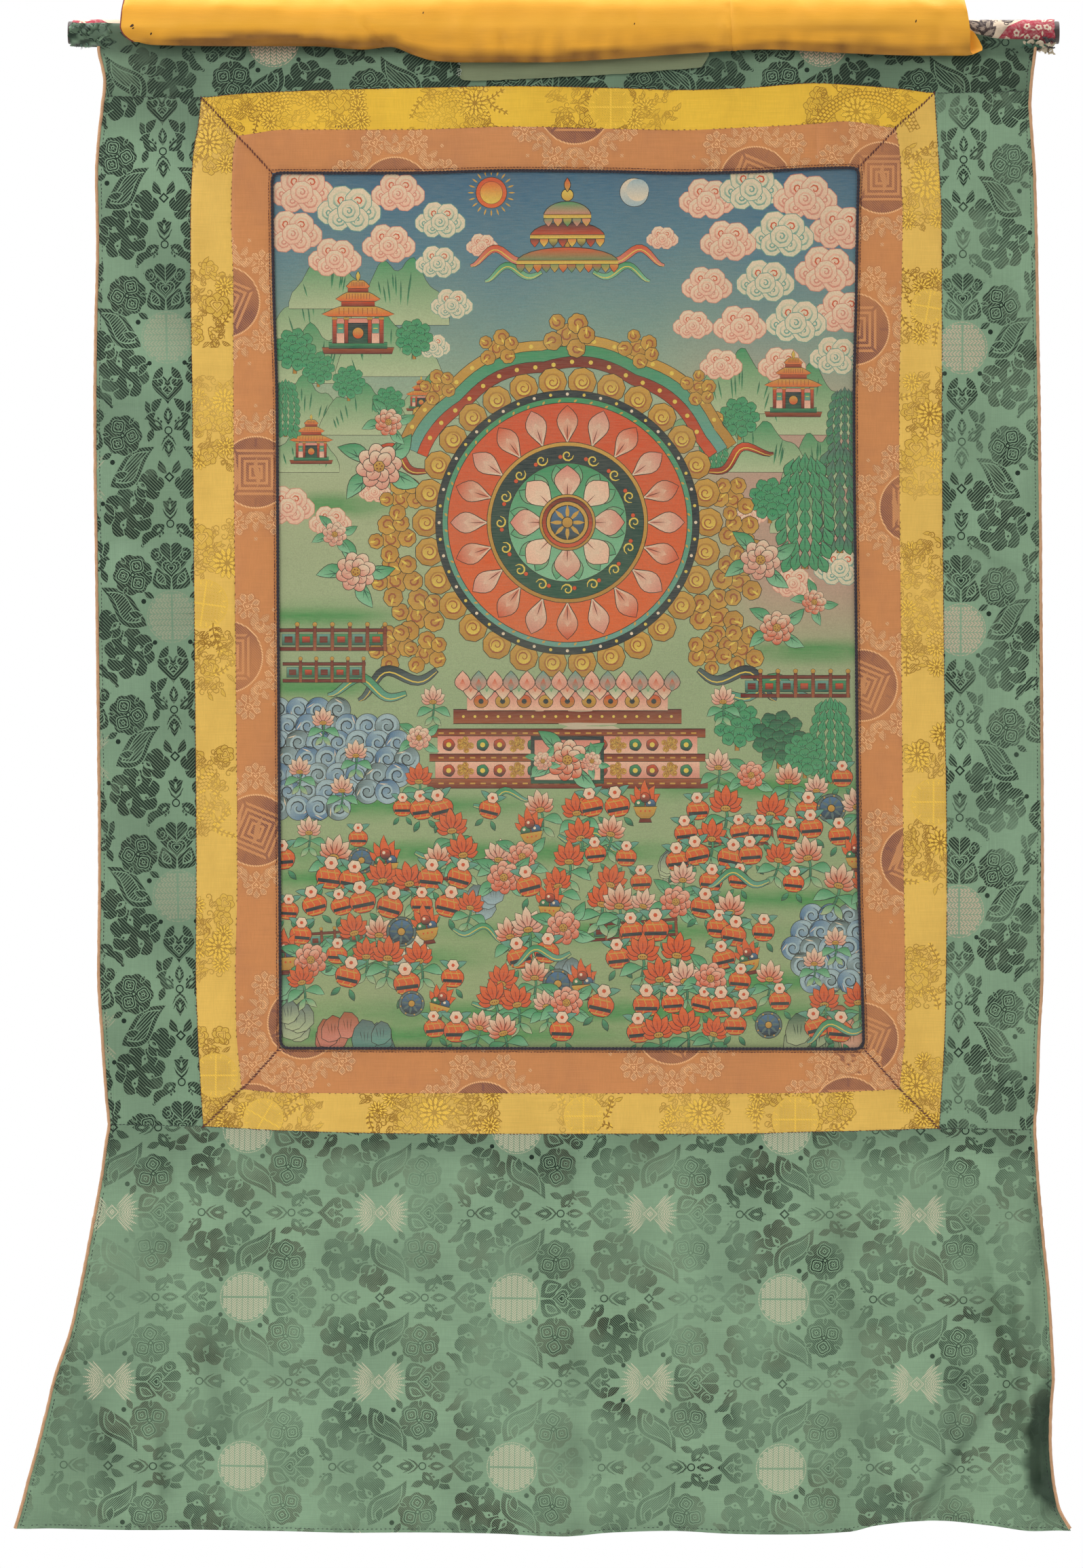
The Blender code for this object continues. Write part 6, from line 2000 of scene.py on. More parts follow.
def painting_figures():
    """Return the whole painted landscape, far things first."""
    shapes = []
    for x, y, width, height, seed in (
            (-205, 262, 90, 50, 1), (-140, 246, 84, 48, 2), (205, 340, 90, 50, 3), (150, 322, 80, 44, 4),
            (-215, 296, 80, 40, 5), (-150, 290, 90, 44, 6), (-105, 326, 70, 30, 7), (220, 386, 70, 40, 8),
            (165, 372, 84, 34, 9), (-225, 335, 70, 36, 10), (-170, 340, 80, 34, 11), (118, 350, 60, 26, 12),
            (-222, 372, 60, 30, 13), (216, 424, 80, 36, 14), (-200, 232, 70, 34, 15)):
        shapes += moved(hill(width, height, seed), (x, y))
    blush, mint = (BLUSH, PINK), (paint(214, 218, 198), TEAL)
    for k, (x, y, size) in enumerate((
            (-224, 134, 1.2), (-184, 150, 1.2), (-232, 170, 1.1), (-142, 136, 1.0), (-106, 160, 0.95),
            (-150, 180, 1.0), (-196, 192, 1.0), (-108, 196, 0.85), (-70, 182, 0.6), (122, 142, 1.05),
            (160, 132, 1.2), (206, 140, 1.2), (236, 166, 1.15), (186, 172, 1.2), (140, 178, 1.05),
            (224, 202, 1.2), (172, 212, 1.1), (122, 216, 0.95), (238, 238, 1.1), (198, 246, 1.15),
            (150, 250, 1.0), (110, 250, 0.75), (232, 276, 1.0), (186, 284, 0.9), (134, 284, 0.8),
            (-96, 232, 0.8), (-236, 404, 1.0), (-200, 418, 0.8), (236, 456, 1.0), (196, 470, 0.8),
            (84, 176, 0.6), (-112, 268, 0.65), (-162, 392, 0.6), (160, 412, 0.6))):
        shapes += moved(cloud(*(mint if k % 3 == 1 else blush)), (x, y), 0, size)
    shapes += moved(inked(ring(13, 28), VERMILION, ORANGE)
                    + inked(ring(9.5, 24), ORANGE, STRAW, 0.3), (-62, 138))
    shapes += moved(inked(ring(12, 28), CREAM, FOAM)
                    + [shape(ring(9.5, 24, (3, -2)), FOAM, CREAM)], (60, 138))
    for k in range(20):
        shapes += moved([shape(lens(6, 1.5, (14.4, 0)), GOLD)], (-62, 138), 18 * k)
    for flip in (-1, 1):
        shapes += moved(streamer(VERMILION, PINK, flip), (3 + 30 * flip, 192), 0, 1.2) + moved(
            streamer(EMERALD, MINT, flip), (3 + 22 * flip, 206), 0, 1.1)
    shapes += moved(canopy(), (3, 172), size=1.45)
    shapes += moved(pavilion(), (-176, 246), size=1.0) + moved(pavilion(), (-216, 352), size=0.6)
    shapes += moved(pavilion(), (196, 306), size=0.8) + moved(pavilion(), (-122, 312), size=0.42)
    for x, y, kind, size in ((-230, 272, 0, 0.9), (-128, 262, 0, 0.8), (-150, 318, 0, 0.7),
                             (240, 330, 1, 1.0), (150, 330, 0, 0.85), (-238, 318, 1, 0.8), (128, 346, 1, 0.8),
                             (236, 392, 1, 1.5), (206, 402, 1, 1.6), (176, 400, 0, 0.9), (-184, 300, 0, 0.7),
                             (-210, 288, 0, 0.7)):
        shapes += moved(tall_tree(LEAF if x < 230 else SLATE, EMERALD) if kind else round_tree(EMERALD, LEAF),
                        (x, y), size=size)
    for flip in (-1, 1):
        for x, y, size in ((128, 500, 1.35), (146, 470, 1.3), (150, 434, 1.2), (142, 400, 1.1),
                           (150, 528, 1.2), (122, 532, 1.1), (118, 330, 0.9)):
            shapes += moved(gilt_scroll(), (3 + x * flip, y), x * flip, size)
        shapes += moved(streamer(NAVY, SLATE, flip), (3 + 112 * flip, 546), 12 * flip, 1.6)
        shapes += moved(streamer(VERMILION, MAROON, flip), (3 + 120 * flip, 376), -24 * flip, 1.3)
        shapes += moved(streamer(EMERALD, TEAL, flip), (3 + 138 * flip, 566), -8 * flip, 1.5)
    for radius, width, colour, fade in ((152, 9, GOLD, OCHRE), (143, 10, EMERALD, TEAL),
                                        (134, 9, MAROON, VERMILION)):
        angle = np.radians(np.linspace(205, 335, 40))
        reach = radius + 4 * np.abs(np.sin(angle * 5.5))
        arch = np.stack([3 + reach * np.cos(angle), 420 + reach * np.sin(angle)], 1)
        shapes += inked(stroke(arch, width), colour, fade)
        if colour != EMERALD:
            shapes += [shape(ring(1.9, 8, place), STRAW) for place in arch[2:-2:2]]
    for turn, size in ((-90, 1.25), (-112, 1.0), (-68, 1.0), (-134, 0.9), (-46, 0.9)):
        shapes += moved(gilt_scroll(), polar(160, turn, (3, 420)), turn, size)
    for x, y, turn, size in ((-158, 372, -10, 1.5), (168, 452, 10, 1.3), (-178, 462, 30, 1.3),
                             (-150, 334, 20, 0.9), (182, 510, 0, 1.1), (-196, 430, 15, 0.8),
                             (214, 488, 40, 0.8)):
        shapes += moved(flower(PINK if turn % 20 else VERMILION, CREAM), (x, y), turn, size)
    shapes += moved(mandala(), (3, 420), size=1.16) + moved(throne(), (3, 552), size=1.3)
    shapes += moved(plinth(), (3, 600)) + moved(railing(6), (198, 560)) + moved(railing(6), (-198, 520))
    shapes += moved(railing(5), (-205, 548), size=0.9)
    for row in range(7):
        for k in range(7):
            x, y = -244 + 17 * k + 8 * (row % 2), 580 + 14 * row
            if abs(row - 3) + 0.6 * k < 5.2:
                shapes += moved(wave(BLUE if (row + k) % 3 else SLATE), (x, y),
                                (row * 40 + k * 65) % 360, 1.22)
    for row in range(5):
        for k in range(4):
            x, y = 196 + 16 * k + 8 * (row % 2), 756 + 14 * row
            if abs(row - 2) + (3 - k) * 0.8 < 3.9:
                shapes += moved(wave(BLUE if (row + k) % 3 else SLATE), (x, y),
                                (row * 55 + k * 65) % 360, 1.18)
    for x, y, size, made in ((148, 592, 1.0, round_tree(EMERALD, LEAF)),
                             (184, 604, 1.15, round_tree(PINE, EMERALD)),
                             (228, 600, 1.2, tall_tree(LEAF, EMERALD)),
                             (206, 618, 0.9, round_tree(EMERALD, LEAF)), (132, 628, 1.0, lotus(PINK, CREAM)),
                             (160, 636, 0.9, flower(VERMILION, BLUSH)),
                             (192, 640, 1.0, lotus(VERMILION, CREAM)), (238, 638, 1.0, vase()),
                             (216, 648, 0.9, lotus(PINK, CREAM)), (-124, 604, 0.8, flower(PINK, CREAM)),
                             (-124, 640, 1.0, lotus(VERMILION, ORANGE)), (-138, 664, 0.9, vase()),
                             (-218, 684, 0.9, lotus(PINK, CREAM)), (-176, 690, 0.9, vase()),
                             (136, 572, 0.9, lotus(PINK, CREAM)), (-112, 572, 0.9, lotus(PINK, CREAM))):
        shapes += moved(made, (x, y), 0, size)
    for x, y in ((-206, 590), (-178, 618), (-226, 632), (232, 778), (214, 796), (-190, 648)):
        shapes += moved(lotus(PINK, CREAM), (x, y), 0, 0.85)
    return shapes + meadow_figures()


def meadow_figures():
    """Return the lower meadow: close rows of lotuses, vases, wheels, jewels and streamers, with rocks."""
    draw = np.random.default_rng(29)
    shapes = []
    for x, y, seed, colours in ((-226, 846, 1, (SLATE, PALE)), (-196, 856, 2, (RUST, PINK)),
                                (-238, 820, 3, (PINE, MINT)), (-168, 862, 4, (SLATE, TEAL)),
                                (238, 852, 5, (RUST, BLUSH)), (212, 862, 6, (PINE, PALE)),
                                (-70, 742, 7, (SLATE, FOAM)), (96, 716, 8, (SLATE, PALE)),
                                (10, 806, 9, (SLATE, FOAM)), (120, 812, 10, (CREAM, PALE)),
                                (-130, 790, 11, (CREAM, TEAL))):
        shapes += moved(rock(*colours, seed), (x, y), size=1.15 if y > 815 else 0.95)
    for x, y, posts, size in ((-120, 726, 6, 0.8), (60, 768, 6, 0.8), (-190, 776, 5, 0.75),
                              (150, 690, 5, 0.75)):
        shapes += moved(railing(posts), (x, y), -4, size)
    kinds = ("red vase vase wheel vase red vase red jewels vase pink red vase streamer vase flower red "
             "vase").split()
    count = 0
    for row, y in enumerate(range(664, 868, 21)):
        for column_x in range(-236, 252, 22):
            x = column_x + (11 if row % 2 else 0) + draw.uniform(-5, 5)
            place = (x, y + draw.uniform(-4, 4))
            size, turn, kind = draw.uniform(0.95, 1.25), draw.uniform(-16, 16), kinds[count % len(kinds)]
            bare = 0.2 * (1 + waves(np.array([x]), np.array([float(y)]), 110, 35)[0])
            open_meadow = draw.uniform() < bare or (x < -128 and y < 690) or (x > 178 and 736 < y < 826)
            count += 5 if row % 3 else 7
            if open_meadow or (x < -150 and y > 815):
                continue
            if kind == "vase":
                made = vase()
            elif kind == "red":
                made = lotus(VERMILION, ORANGE if draw.uniform() < 0.6 else CREAM)
            elif kind == "pink":
                made = lotus(PINK, CREAM)
            elif kind == "wheel":
                made = wheel(SLATE, BLUE)
            elif kind == "jewels":
                made = jewels()
            elif kind == "flower":
                made = flower(VERMILION, BLUSH)
            else:
                made = streamer(EMERALD, TEAL, 1 if x < 0 else -1)
            shapes += moved(made, place, turn, size)
    return shapes


class SCROLL_OT_painting(bpy.types.Operator):
    """Stretch the painted canvas inside the borders"""
    bl_idname = "scroll.painting"
    bl_label = "Painted canvas"

    def execute(self, context):
        sizes, _ = scroll()
        outline = closed(PICTURE.edge("top"), PICTURE.edge("right"), PICTURE.edge("bottom")[::-1],
                         PICTURE.edge("left")[::-1])
        front = finish_for("painted_canvas_front", painted)
        back = finish_for("painted_canvas_back", plain_cloth, srgb(196, 180, 150), pitch=0.0010)
        piece = make_sheet("painting_canvas", outline, touching(painting_figures(), outline), hung_cloth(),
                           [front, back], cell=9.0, thickness=sizes.cloth * 1000,
                           ground=picture_ground, pucker=0.1, slack=0.17)
        declare_cloth(outline, "painting", ["copper_left_damask"])
        return {"FINISHED"}


# ==== cords, piping and hand stitches =============================================================
def swept(route, radius, sides=6, closed_up=False, out=(0.0, -1.0, 0.0)):
    """Return corners and faces of a tube along a route; the radius is one number or one a point."""
    route = np.asarray(route, dtype=float)
    along = np.roll(route, -1, 0) - np.roll(route, 1, 0) if closed_up else np.gradient(route, axis=0)
    along /= np.linalg.norm(along, axis=1)[:, None] + 1e-12
    side = np.cross(along, np.array(out))
    side /= np.linalg.norm(side, axis=1)[:, None] + 1e-12
    lift = np.cross(side, along)
    turn = np.linspace(0, 2 * math.pi, sides, endpoint=False)[None, :, None]
    reach = (np.ones(len(route)) * radius)[:, None, None]
    rings = route[:, None] + (side[:, None] * np.cos(turn) + lift[:, None] * np.sin(turn)) * reach
    faces = []
    for i in range(len(route) if closed_up else len(route) - 1):
        j = (i + 1) % len(route)
        for k in range(sides):
            m = (k + 1) % sides
            faces.append((i * sides + k, i * sides + m, j * sides + m, j * sides + k))
    if not closed_up:
        faces += [tuple(range(sides))[::-1], tuple((len(route) - 1) * sides + k for k in range(sides))]
    return rings.reshape(-1, 3), faces


def join_parts(name, parts, materials):
    """Make one piece from parts, each its corners, its faces and the number of its material."""
    corners, faces, index, base = [], [], [], 0
    for part_corners, part_faces, material in parts:
        corners.append(part_corners)
        faces += [tuple(base + i for i in face) for face in part_faces]
        index += [material] * len(part_faces)
        base += len(part_corners)
    mesh = bpy.data.meshes.new(name)
    mesh.from_pydata(np.concatenate(corners).tolist(), [], faces)
    for material in materials:
        mesh.materials.append(material)
    mesh.polygons.foreach_set("material_index", index)
    mesh.shade_smooth()
    mesh.set_sharp_from_angle(angle=math.radians(60))
    return place_piece(bpy.data.objects.new(name, mesh))


def spaced(points, pitch, closed_up=False):
    """Return points at an even pitch along a line, and the line's direction at each in degrees."""
    points = np.concatenate([points, points[:1]]) if closed_up else np.asarray(points, dtype=float)
    lengths = np.concatenate([[0], np.cumsum(np.hypot(*np.diff(points, axis=0).T))])
    count = max(round(lengths[-1] / pitch), 2)
    at = np.linspace(0, lengths[-1], count + 1)[:-1] if closed_up else np.linspace(0, lengths[-1], count)
    found = np.stack([np.interp(at, lengths, points[:, i]) for i in (0, 1)], 1)
    ahead = np.stack([np.interp(at + 0.5, lengths, points[:, i]) for i in (0, 1)], 1)
    behind = np.stack([np.interp(at - 0.5, lengths, points[:, i]) for i in (0, 1)], 1)
    return found, np.degrees(np.arctan2(*(ahead - behind).T[::-1]))


def stitch_row(points, pitch, length, width=0.7, lean=0.0, closed_up=False, seed=1, missing=0.0):
    """Return hand stitches along a line: across, drop, direction, length and width of each."""
    draw = np.random.default_rng(seed)
    places, direction = spaced(points, pitch, closed_up)
    count = len(places)
    row = np.column_stack([places + draw.normal(0, 0.12, (count, 2)),
                           direction + lean + draw.normal(0, 5, count),
                           length * draw.uniform(0.85, 1.15, count), width * draw.uniform(0.85, 1.15, count)])
    return row[draw.uniform(size=count) >= missing]


def stitch_parts(rows, material, surface, lift=0.5):
    """Return one part for rows of stitches: each a small rounded grain that dips in at both ends."""
    rows = np.concatenate(rows)
    across, drop, turn, length, width = rows.T
    middle = surface(across, drop)
    normal = normals_of(surface, across, drop)
    step = np.stack([np.cos(np.radians(turn)), np.sin(np.radians(turn))], 1) * 0.5
    along = surface(across + step[:, 0], drop + step[:, 1]) - middle
    along /= np.linalg.norm(along, axis=1)[:, None]
    side = np.cross(normal, along)
    shape_table = ((-0.5, 0, -0.35), (-0.22, -0.5, 0), (-0.22, 0, 0.5), (-0.22, 0.5, 0), (0.22, -0.5, 0),
                   (0.22, 0, 0.5), (0.22, 0.5, 0), (0.5, 0, -0.35))
    corners = np.stack([middle + along * (a * length * MM)[:, None] + side * (s * width * MM)[:, None]
                        + normal * ((lift + 0.12 + n * width) * MM)[:, None] for a, s, n in shape_table], 1)
    grain = ((0, 2, 1), (0, 3, 2), (1, 2, 5, 4), (2, 3, 6, 5), (4, 5, 7), (5, 6, 7))
    faces = [tuple(8 * i + k for k in face) for i in range(len(rows)) for face in grain]
    return corners.reshape(-1, 3), faces, material


def ring_line(border, out=0.0):
    """Return the closed line of a border's edge, moved outwards."""
    return grown(closed(border.edge("top"), border.edge("right"), border.edge("bottom")[::-1],
                        border.edge("left")[::-1]), out)


def rounded(points, rounds=3):
    for _ in range(rounds):
        points = (np.roll(points, 1, 0) + 2 * points + np.roll(points, -1, 0)) / 4
    return points


class SCROLL_OT_cords(bpy.types.Operator):
    """Lay the twisted cord round the picture and the covered piping down both sides"""
    bl_idname = "scroll.cords"
    bl_label = "Cord and piping"

    def execute(self, context):
        sizes, colours = scroll()
        thickness = sizes.cord / MM
        route, _ = spaced(rounded(ring_line(PICTURE), 1), 1.5, True)
        centre = hung_cloth(0.7 + thickness / 2)(*rounded(route, 2).T)
        along = np.roll(centre, -1, 0) - np.roll(centre, 1, 0)
        along /= np.linalg.norm(along, axis=1)[:, None]
        side = np.cross(along, (0.0, -1.0, 0.0))
        turns = round(len(route) * 1.5 / 6.2)
        parts = []
        for start in (0, math.pi):
            angle = (np.linspace(0, 2 * math.pi * turns, len(route), endpoint=False) + start)[:, None]
            ply = centre + (side * np.cos(angle) + np.array([0, -1, 0]) * np.sin(angle)) * sizes.cord * 0.235
            parts.append((*swept(ply, sizes.cord * 0.275, 7, True), 0))
        cord = join_parts("picture_cord_twist", parts, [finish_for("navy_cord_silk", thread_material,
                                                                   tuple(colours.cord), 0.0007, 0.7)])
        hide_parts("picture_cord")

        for side_name, edge, inward in (("left", cloth_left, 1), ("right", cloth_right, -1)):
            drops = np.arange(PIPING_TOP, float(hem(edge(HEM_LEVEL))), 3.0)
            forward = cloth_forward(edge(drops) + inward * EDGE_INSET, drops)
            place = np.stack([edge(drops) + inward * 1.4 + 0.1 * waves(drops, drops * 0, 9, 6),
                              -forward, -drops], 1) * MM
            radius = sizes.piping / 2 * (1 + 0.08 * waves(drops, drops * 0, 7, 7))
            tube = join_parts("piping_" + side_name + "_cover", [(*swept(place, radius, 9), 0)], [
                finish_for("piping_cotton", thread_material, tuple(colours.piping), 0.0010, 0.85)])
            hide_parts("piping_" + side_name)
        return {"FINISHED"}


class SCROLL_OT_stitching(bpy.types.Operator):
    """Sew the visible hand stitches: mitres, seams, the line round the picture and the hem"""
    bl_idname = "scroll.stitching"
    bl_label = "Hand stitches"

    def execute(self, context):
        sizes, colours = scroll()
        length = sizes.stitch / MM
        surface = hung_cloth()
        red, dark, gold = [], [], []
        red.append(stitch_row(ring_line(PICTURE, 3.0), length + 0.25, length * 1.05, 0.62, closed_up=True))
        red.append(stitch_row(ring_line(YELLOW, 0.2), length + 0.5, length, 0.6, 8, True, seed=2,
                              missing=0.04))
        gold.append(stitch_row(ring_line(COPPER, 0.2), length * 2.1, length * 0.8, 0.55, 12, True, seed=3,
                               missing=0.15))
        for outer, inner in ((YELLOW, COPPER), (COPPER, PICTURE)):
            for key, start in outer.corners.items():
                line = np.linspace(start, inner.corners[key], 9)
                line += np.stack([np.sin(np.linspace(0, 5, 9)), np.cos(np.linspace(0, 4, 9))], 1) * 0.3
                red.append(stitch_row(line, 2.8, 3.6, 1.1, 30 if key[1] == "left" else -30,
                                      seed=len(red) + 5))
        for edge, inward in ((cloth_left, 1), (cloth_right, -1)):
            drops = np.arange(20.0, 1278.0, 4.0)
            dark.append(stitch_row(np.stack([edge(drops) + inward * 5.4, drops], 1),
                                   length + 0.9, length, 0.6, seed=len(dark) + 20, missing=0.08))
        across = np.arange(-462.0, 428.0, 4.0)
        dark.append(stitch_row(np.stack([across, hem(across) - 3.0], 1),
                               length + 1.4, length * 0.9, 0.55, seed=24, missing=0.12))
        for places in ((cloth_left(UPPER_SEAM) + 5, YELLOW.corners["top", "left"][0]),
                       (YELLOW.corners["top", "right"][0], cloth_right(UPPER_SEAM) - 5),
                       (cloth_left(LOWER_SEAM) + 5, YELLOW.corners["bottom", "left"][0]),
                       (YELLOW.corners["bottom", "right"][0], cloth_right(LOWER_SEAM) - 5)):
            across = np.linspace(*places, 20)
            level = seam_above if len(dark) < 5 else seam_below
            dark.append(stitch_row(np.stack([across, level(across)], 1), length + 0.6, length, 0.55,
                                   seed=len(dark)))
        gold.append(stitch_row(np.array([(-195, 81.5), (-181, 81.3)]), 2.0, 2.6, 0.7, 90, seed=40))
        parts = [stitch_parts(red, 0, surface), stitch_parts(dark, 1, surface),
                 stitch_parts(gold, 2, surface)]
        piece = join_parts("hand_stitches", parts, [
            finish_for("seam_thread_red", thread_material, tuple(colours.red_thread)),
            finish_for("seam_thread_dark", thread_material, srgb(30, 46, 40)),
            finish_for("seam_thread_gold", thread_material, srgb(128, 88, 48))])
        return {"FINISHED"}


# ==== the silk strip, the satin cover, and the rod in its printed cotton ==========================
class SCROLL_OT_silk_strip(bpy.types.Operator):
    """Hang the loose strip of pale silk from under the cover"""
    bl_idname = "scroll.silk_strip"
    bl_label = "Silk strip"

    def execute(self, context):
        _, colours = scroll()
        top, bottom = column(SILK_STRIP, "top", "across"), column(SILK_STRIP, "bottom", "across")
        across = np.linspace(-88, 124, 70)
        ends = []
        for at, sway in ((124, 0.3), (-88, 1.5)):
            drops = np.linspace(top(at), bottom(at), 22)
            ends.append(np.stack([at + sway * waves(drops, drops * 0, 5, 8 + int(sway)), drops], 1))
        lower = bottom(across) + 0.25 * waves(across, across * 0, 14, 9)
        outline = closed(np.stack([across, top(across)], 1), ends[0], np.stack([across, lower], 1)[::-1],
                         ends[1][::-1])

        def surface(a, d):
            share = np.clip((d - top(a)) / (bottom(a) - top(a)), 0, 1)
            folds = 0.9 * np.exp(-((share - 0.62 - a * 0.0006) / 0.07) ** 2) * ease((60 - a) / 90)
            folds += 0.7 * np.exp(-((share - 0.8) / 0.05) ** 2) * ease((20 - a) / 70)
            folds += 0.35 * waves(a * 0.35, d, 14, 10)
            forward = cloth_forward(a, d) + 1.6 + 1.7 * ease(share) + folds * ease(share * 3)
            return np.stack([a, -forward, -d], 1) * MM
        cloth = finish_for("strip_silk", plain_cloth, tuple(colours.strip), 0.0007, 0.55, 0.5, 0.35)
        strip = make_sheet("silk_strip_cloth", outline, [], surface, [cloth, cloth], cell=3.5, thickness=0.6,
                           dip=0.1, pucker=0.15, back_cell=4.5)
        declare_cloth(outline, "silk_strip", ["header_brocade"])
        return {"FINISHED"}


# Distance along the satin at each row of its section, with the rolled rows let down to the fold.
COVER_AT = np.concatenate([[0], np.cumsum(np.hypot(
    np.diff(COVER_SECTION["forward"]),
    np.diff(COVER_SECTION["rise"] - COVER_FOLD_DEPTH * COVER_SECTION["rolled"])))])
COVER_TOP, COVER_EDGE, COVER_END = COVER_AT[6], COVER_AT[13], COVER_AT[-1]
cover_forward, cover_rise, cover_rolled, cover_left, cover_right = (
    smooth_curve(COVER_AT, COVER_SECTION[name]) for name in ("forward", "rise", "rolled", "left", "right"))
cover_fold = column(COVER_FOLD, "drop", "across")
# Creases on the cover's front, like those of the hung cloth.
COVER_CREASES = np.array([
    (-172, -6, -150, 13, 3.0, -2.4), (-176, -2, -156, 14, 4.0, 1.4), (-57, 6, -44, 22, 2.4, -2.0),
    (-52, 4, -40, 20, 3.0, 1.1), (-21, 15, -12, 21, 2.0, -1.2), (2, 15, 10, 20, 2.0, -1.1),
    (52, -12, 49, -6, 2.0, -1.1), (136, -6, 141, 12, 4.0, 1.5), (146, -26, 148, 8, 5.0, 1.0),
    (296, -27, 322, -15, 4.0, 1.1), (-300, -22, -240, -18, 5.0, 0.9), (-120, -20, 30, -16, 6.0, -0.8),
    (-340, 2, -200, 5, 5.0, -1.0), (180, -10, 330, -6, 6.0, 0.9), (60, 10, 120, 6, 4.0, -0.9),
    (250, 10, 330, 13, 4.0, -0.9), (-110, 12, -70, 16, 4.0, -0.9), (232, 2, 240, 14, 3.0, -0.8),
    (-260, 4, -180, 9, 6.0, 1.4), (-300, -9, -120, -6, 7.0, 0.8), (-190, -24, -176, -8, 5.0, 0.9),
    (60, -16, 66, 4, 4.0, -0.7), (200, -22, 214, -2, 5.0, 0.8), (-90, -8, -82, 12, 4.0, 0.9),
    (318, -6, 322, 12, 4.0, -0.7)])


def cover_surface(across, along):
    """Return the satin's surface: along runs from the hem behind, over the top, to the sewn edge."""
    middle = np.maximum(cover_fold(across) - COVER_TURN, 4.0)
    forward = cover_forward(along)
    rise = cover_rise(along) - cover_rolled(along) * middle
    front = ease((along - COVER_TOP) / 14) * (1 - ease((along - COVER_EDGE + 3) / 4))
    relief = creased(across, -rise, COVER_CREASES) + 0.5 * waves(across * 0.35, along, 36, 51)
    relief += 0.25 * waves(across, along, 24, 52)
    outward = np.where(along < COVER_AT[4], -1.0, 1.0)
    forward = forward + relief * front + outward * 0.5 * waves(across, along, 50, 53) * (1 - front) * (
        along < COVER_TOP - 14)
    return np.stack([across, -forward, rise], 1) * MM


def cover_marks_and_painted_light(across, along):
    """Return the satin's dirt and painted shade towards the rolled edge, stained patches, and bands of
    painted highlight.
    """
    drop = cover_surface(across, along)[:, 2] / -MM
    fold = cover_fold(across)
    front = (along > COVER_TOP) & (along < COVER_AT[15])
    strength = np.interp(across, (-372, -345, -310, -230, -180, -120, 0, 140, 235, 345),
                         (0.15, 0.5, 1.0, 0.95, 0.72, 0.68, 0.62, 0.55, 0.6, 0.34))
    rough = 1 + 0.14 * waves(across * 0.3, drop, 18, 54)
    # Brown towards and under the rolled lower edge: partly dirt, partly painted shade under the roll.
    stain_and_shade = strength * ease((drop - fold + 11.5 * rough) / 7.0)
    stain_and_shade += 0.5 * np.exp(-((drop - 4) / 3.5) ** 2 - ((across + 270) / 42) ** 2)
    stain_and_shade += 0.28 * np.exp(-((drop + 1) / 4) ** 2 - ((across - 245) / 60) ** 2)
    stain_and_shade += 0.08 * (1 + waves(across, drop, 22, 55)) * ease((drop + 4) / 12)
    # Painted highlight: pale bands across the front of the roll.
    light = 0.55 * np.exp(-((drop + 6 + across * 0.004) / 5) ** 2) + 0.3 * np.exp(-((drop + 22) / 4) ** 2)
    none = np.zeros(len(across))
    return np.stack([np.clip(stain_and_shade, 0, 0.85) * front, none, light * front, none], 1)


class SCROLL_OT_cover(bpy.types.Operator):
    """Roll the satin cover up over the rod, in its two sewn widths"""
    bl_idname = "scroll.cover"
    bl_label = "Satin cover"

    def execute(self, context):
        sizes, colours = scroll()
        cloth = finish_for("orange_satin_cloth", satin, tuple(colours.satin), tuple(colours.satin_brown),
                           srgb(240, 178, 56))
        along = np.linspace(0, COVER_END, 56)
        seam = np.stack([COVER_SEAM + 0.8 * np.sin(along / 16), along], 1)
        ends = {"cover_wide": np.stack([cover_left(along), along], 1),
                "cover_narrow": np.stack([cover_right(along), along], 1)}
        for node, end in ends.items():
            first, last = (end, seam) if node == "cover_wide" else (seam, end)
            levels = [np.stack([np.linspace(first[k][0], last[k][0], 70), np.full(70, along[k])], 1)
                      for k in (0, -1)]
            outline = closed(levels[0], last, levels[1][::-1], first[::-1])
            spots = [shape(ring(size, 9, (x, COVER_AT[10] + 20 * share), squash=2.0, turn=20),
                           (0.9, 0.8, 0, 0))
                     for x, share, size in ((-368.3, -0.05, 1.5), (-367.2, 0.2, 0.9), (-352, 0.52, 0.8),
                                            (-120, -0.6, 0.5), (60, -0.2, 0.5), (300, -0.3, 0.6))]
            piece = make_sheet(node + "_satin", outline, touching(spots, outline), cover_surface,
                               [cloth, cloth], cell=4.0, thickness=sizes.cloth * 1000,
                               ground=cover_marks_and_painted_light, dip=0.35, pucker=0.25, back_cell=4.0)
            declare_cloth(outline, node, ["rod_cotton_print"])
        along = np.linspace(COVER_TOP - 20, COVER_EDGE, 70)
        welt = cover_surface(cover_left(along) - 0.1, along)
        edge = join_parts("cover_welt", [(*swept(welt, 0.0006, 6, out=(1.0, 0.0, 0.0)), 0)], [
            finish_for("cover_welt_thread", thread_material, srgb(120, 34, 30))])
        return {"FINISHED"}


CREAM_PRINT, RED_PRINT, GREY_PRINT = paint(214, 196, 170), paint(156, 36, 56), paint(52, 46, 44)


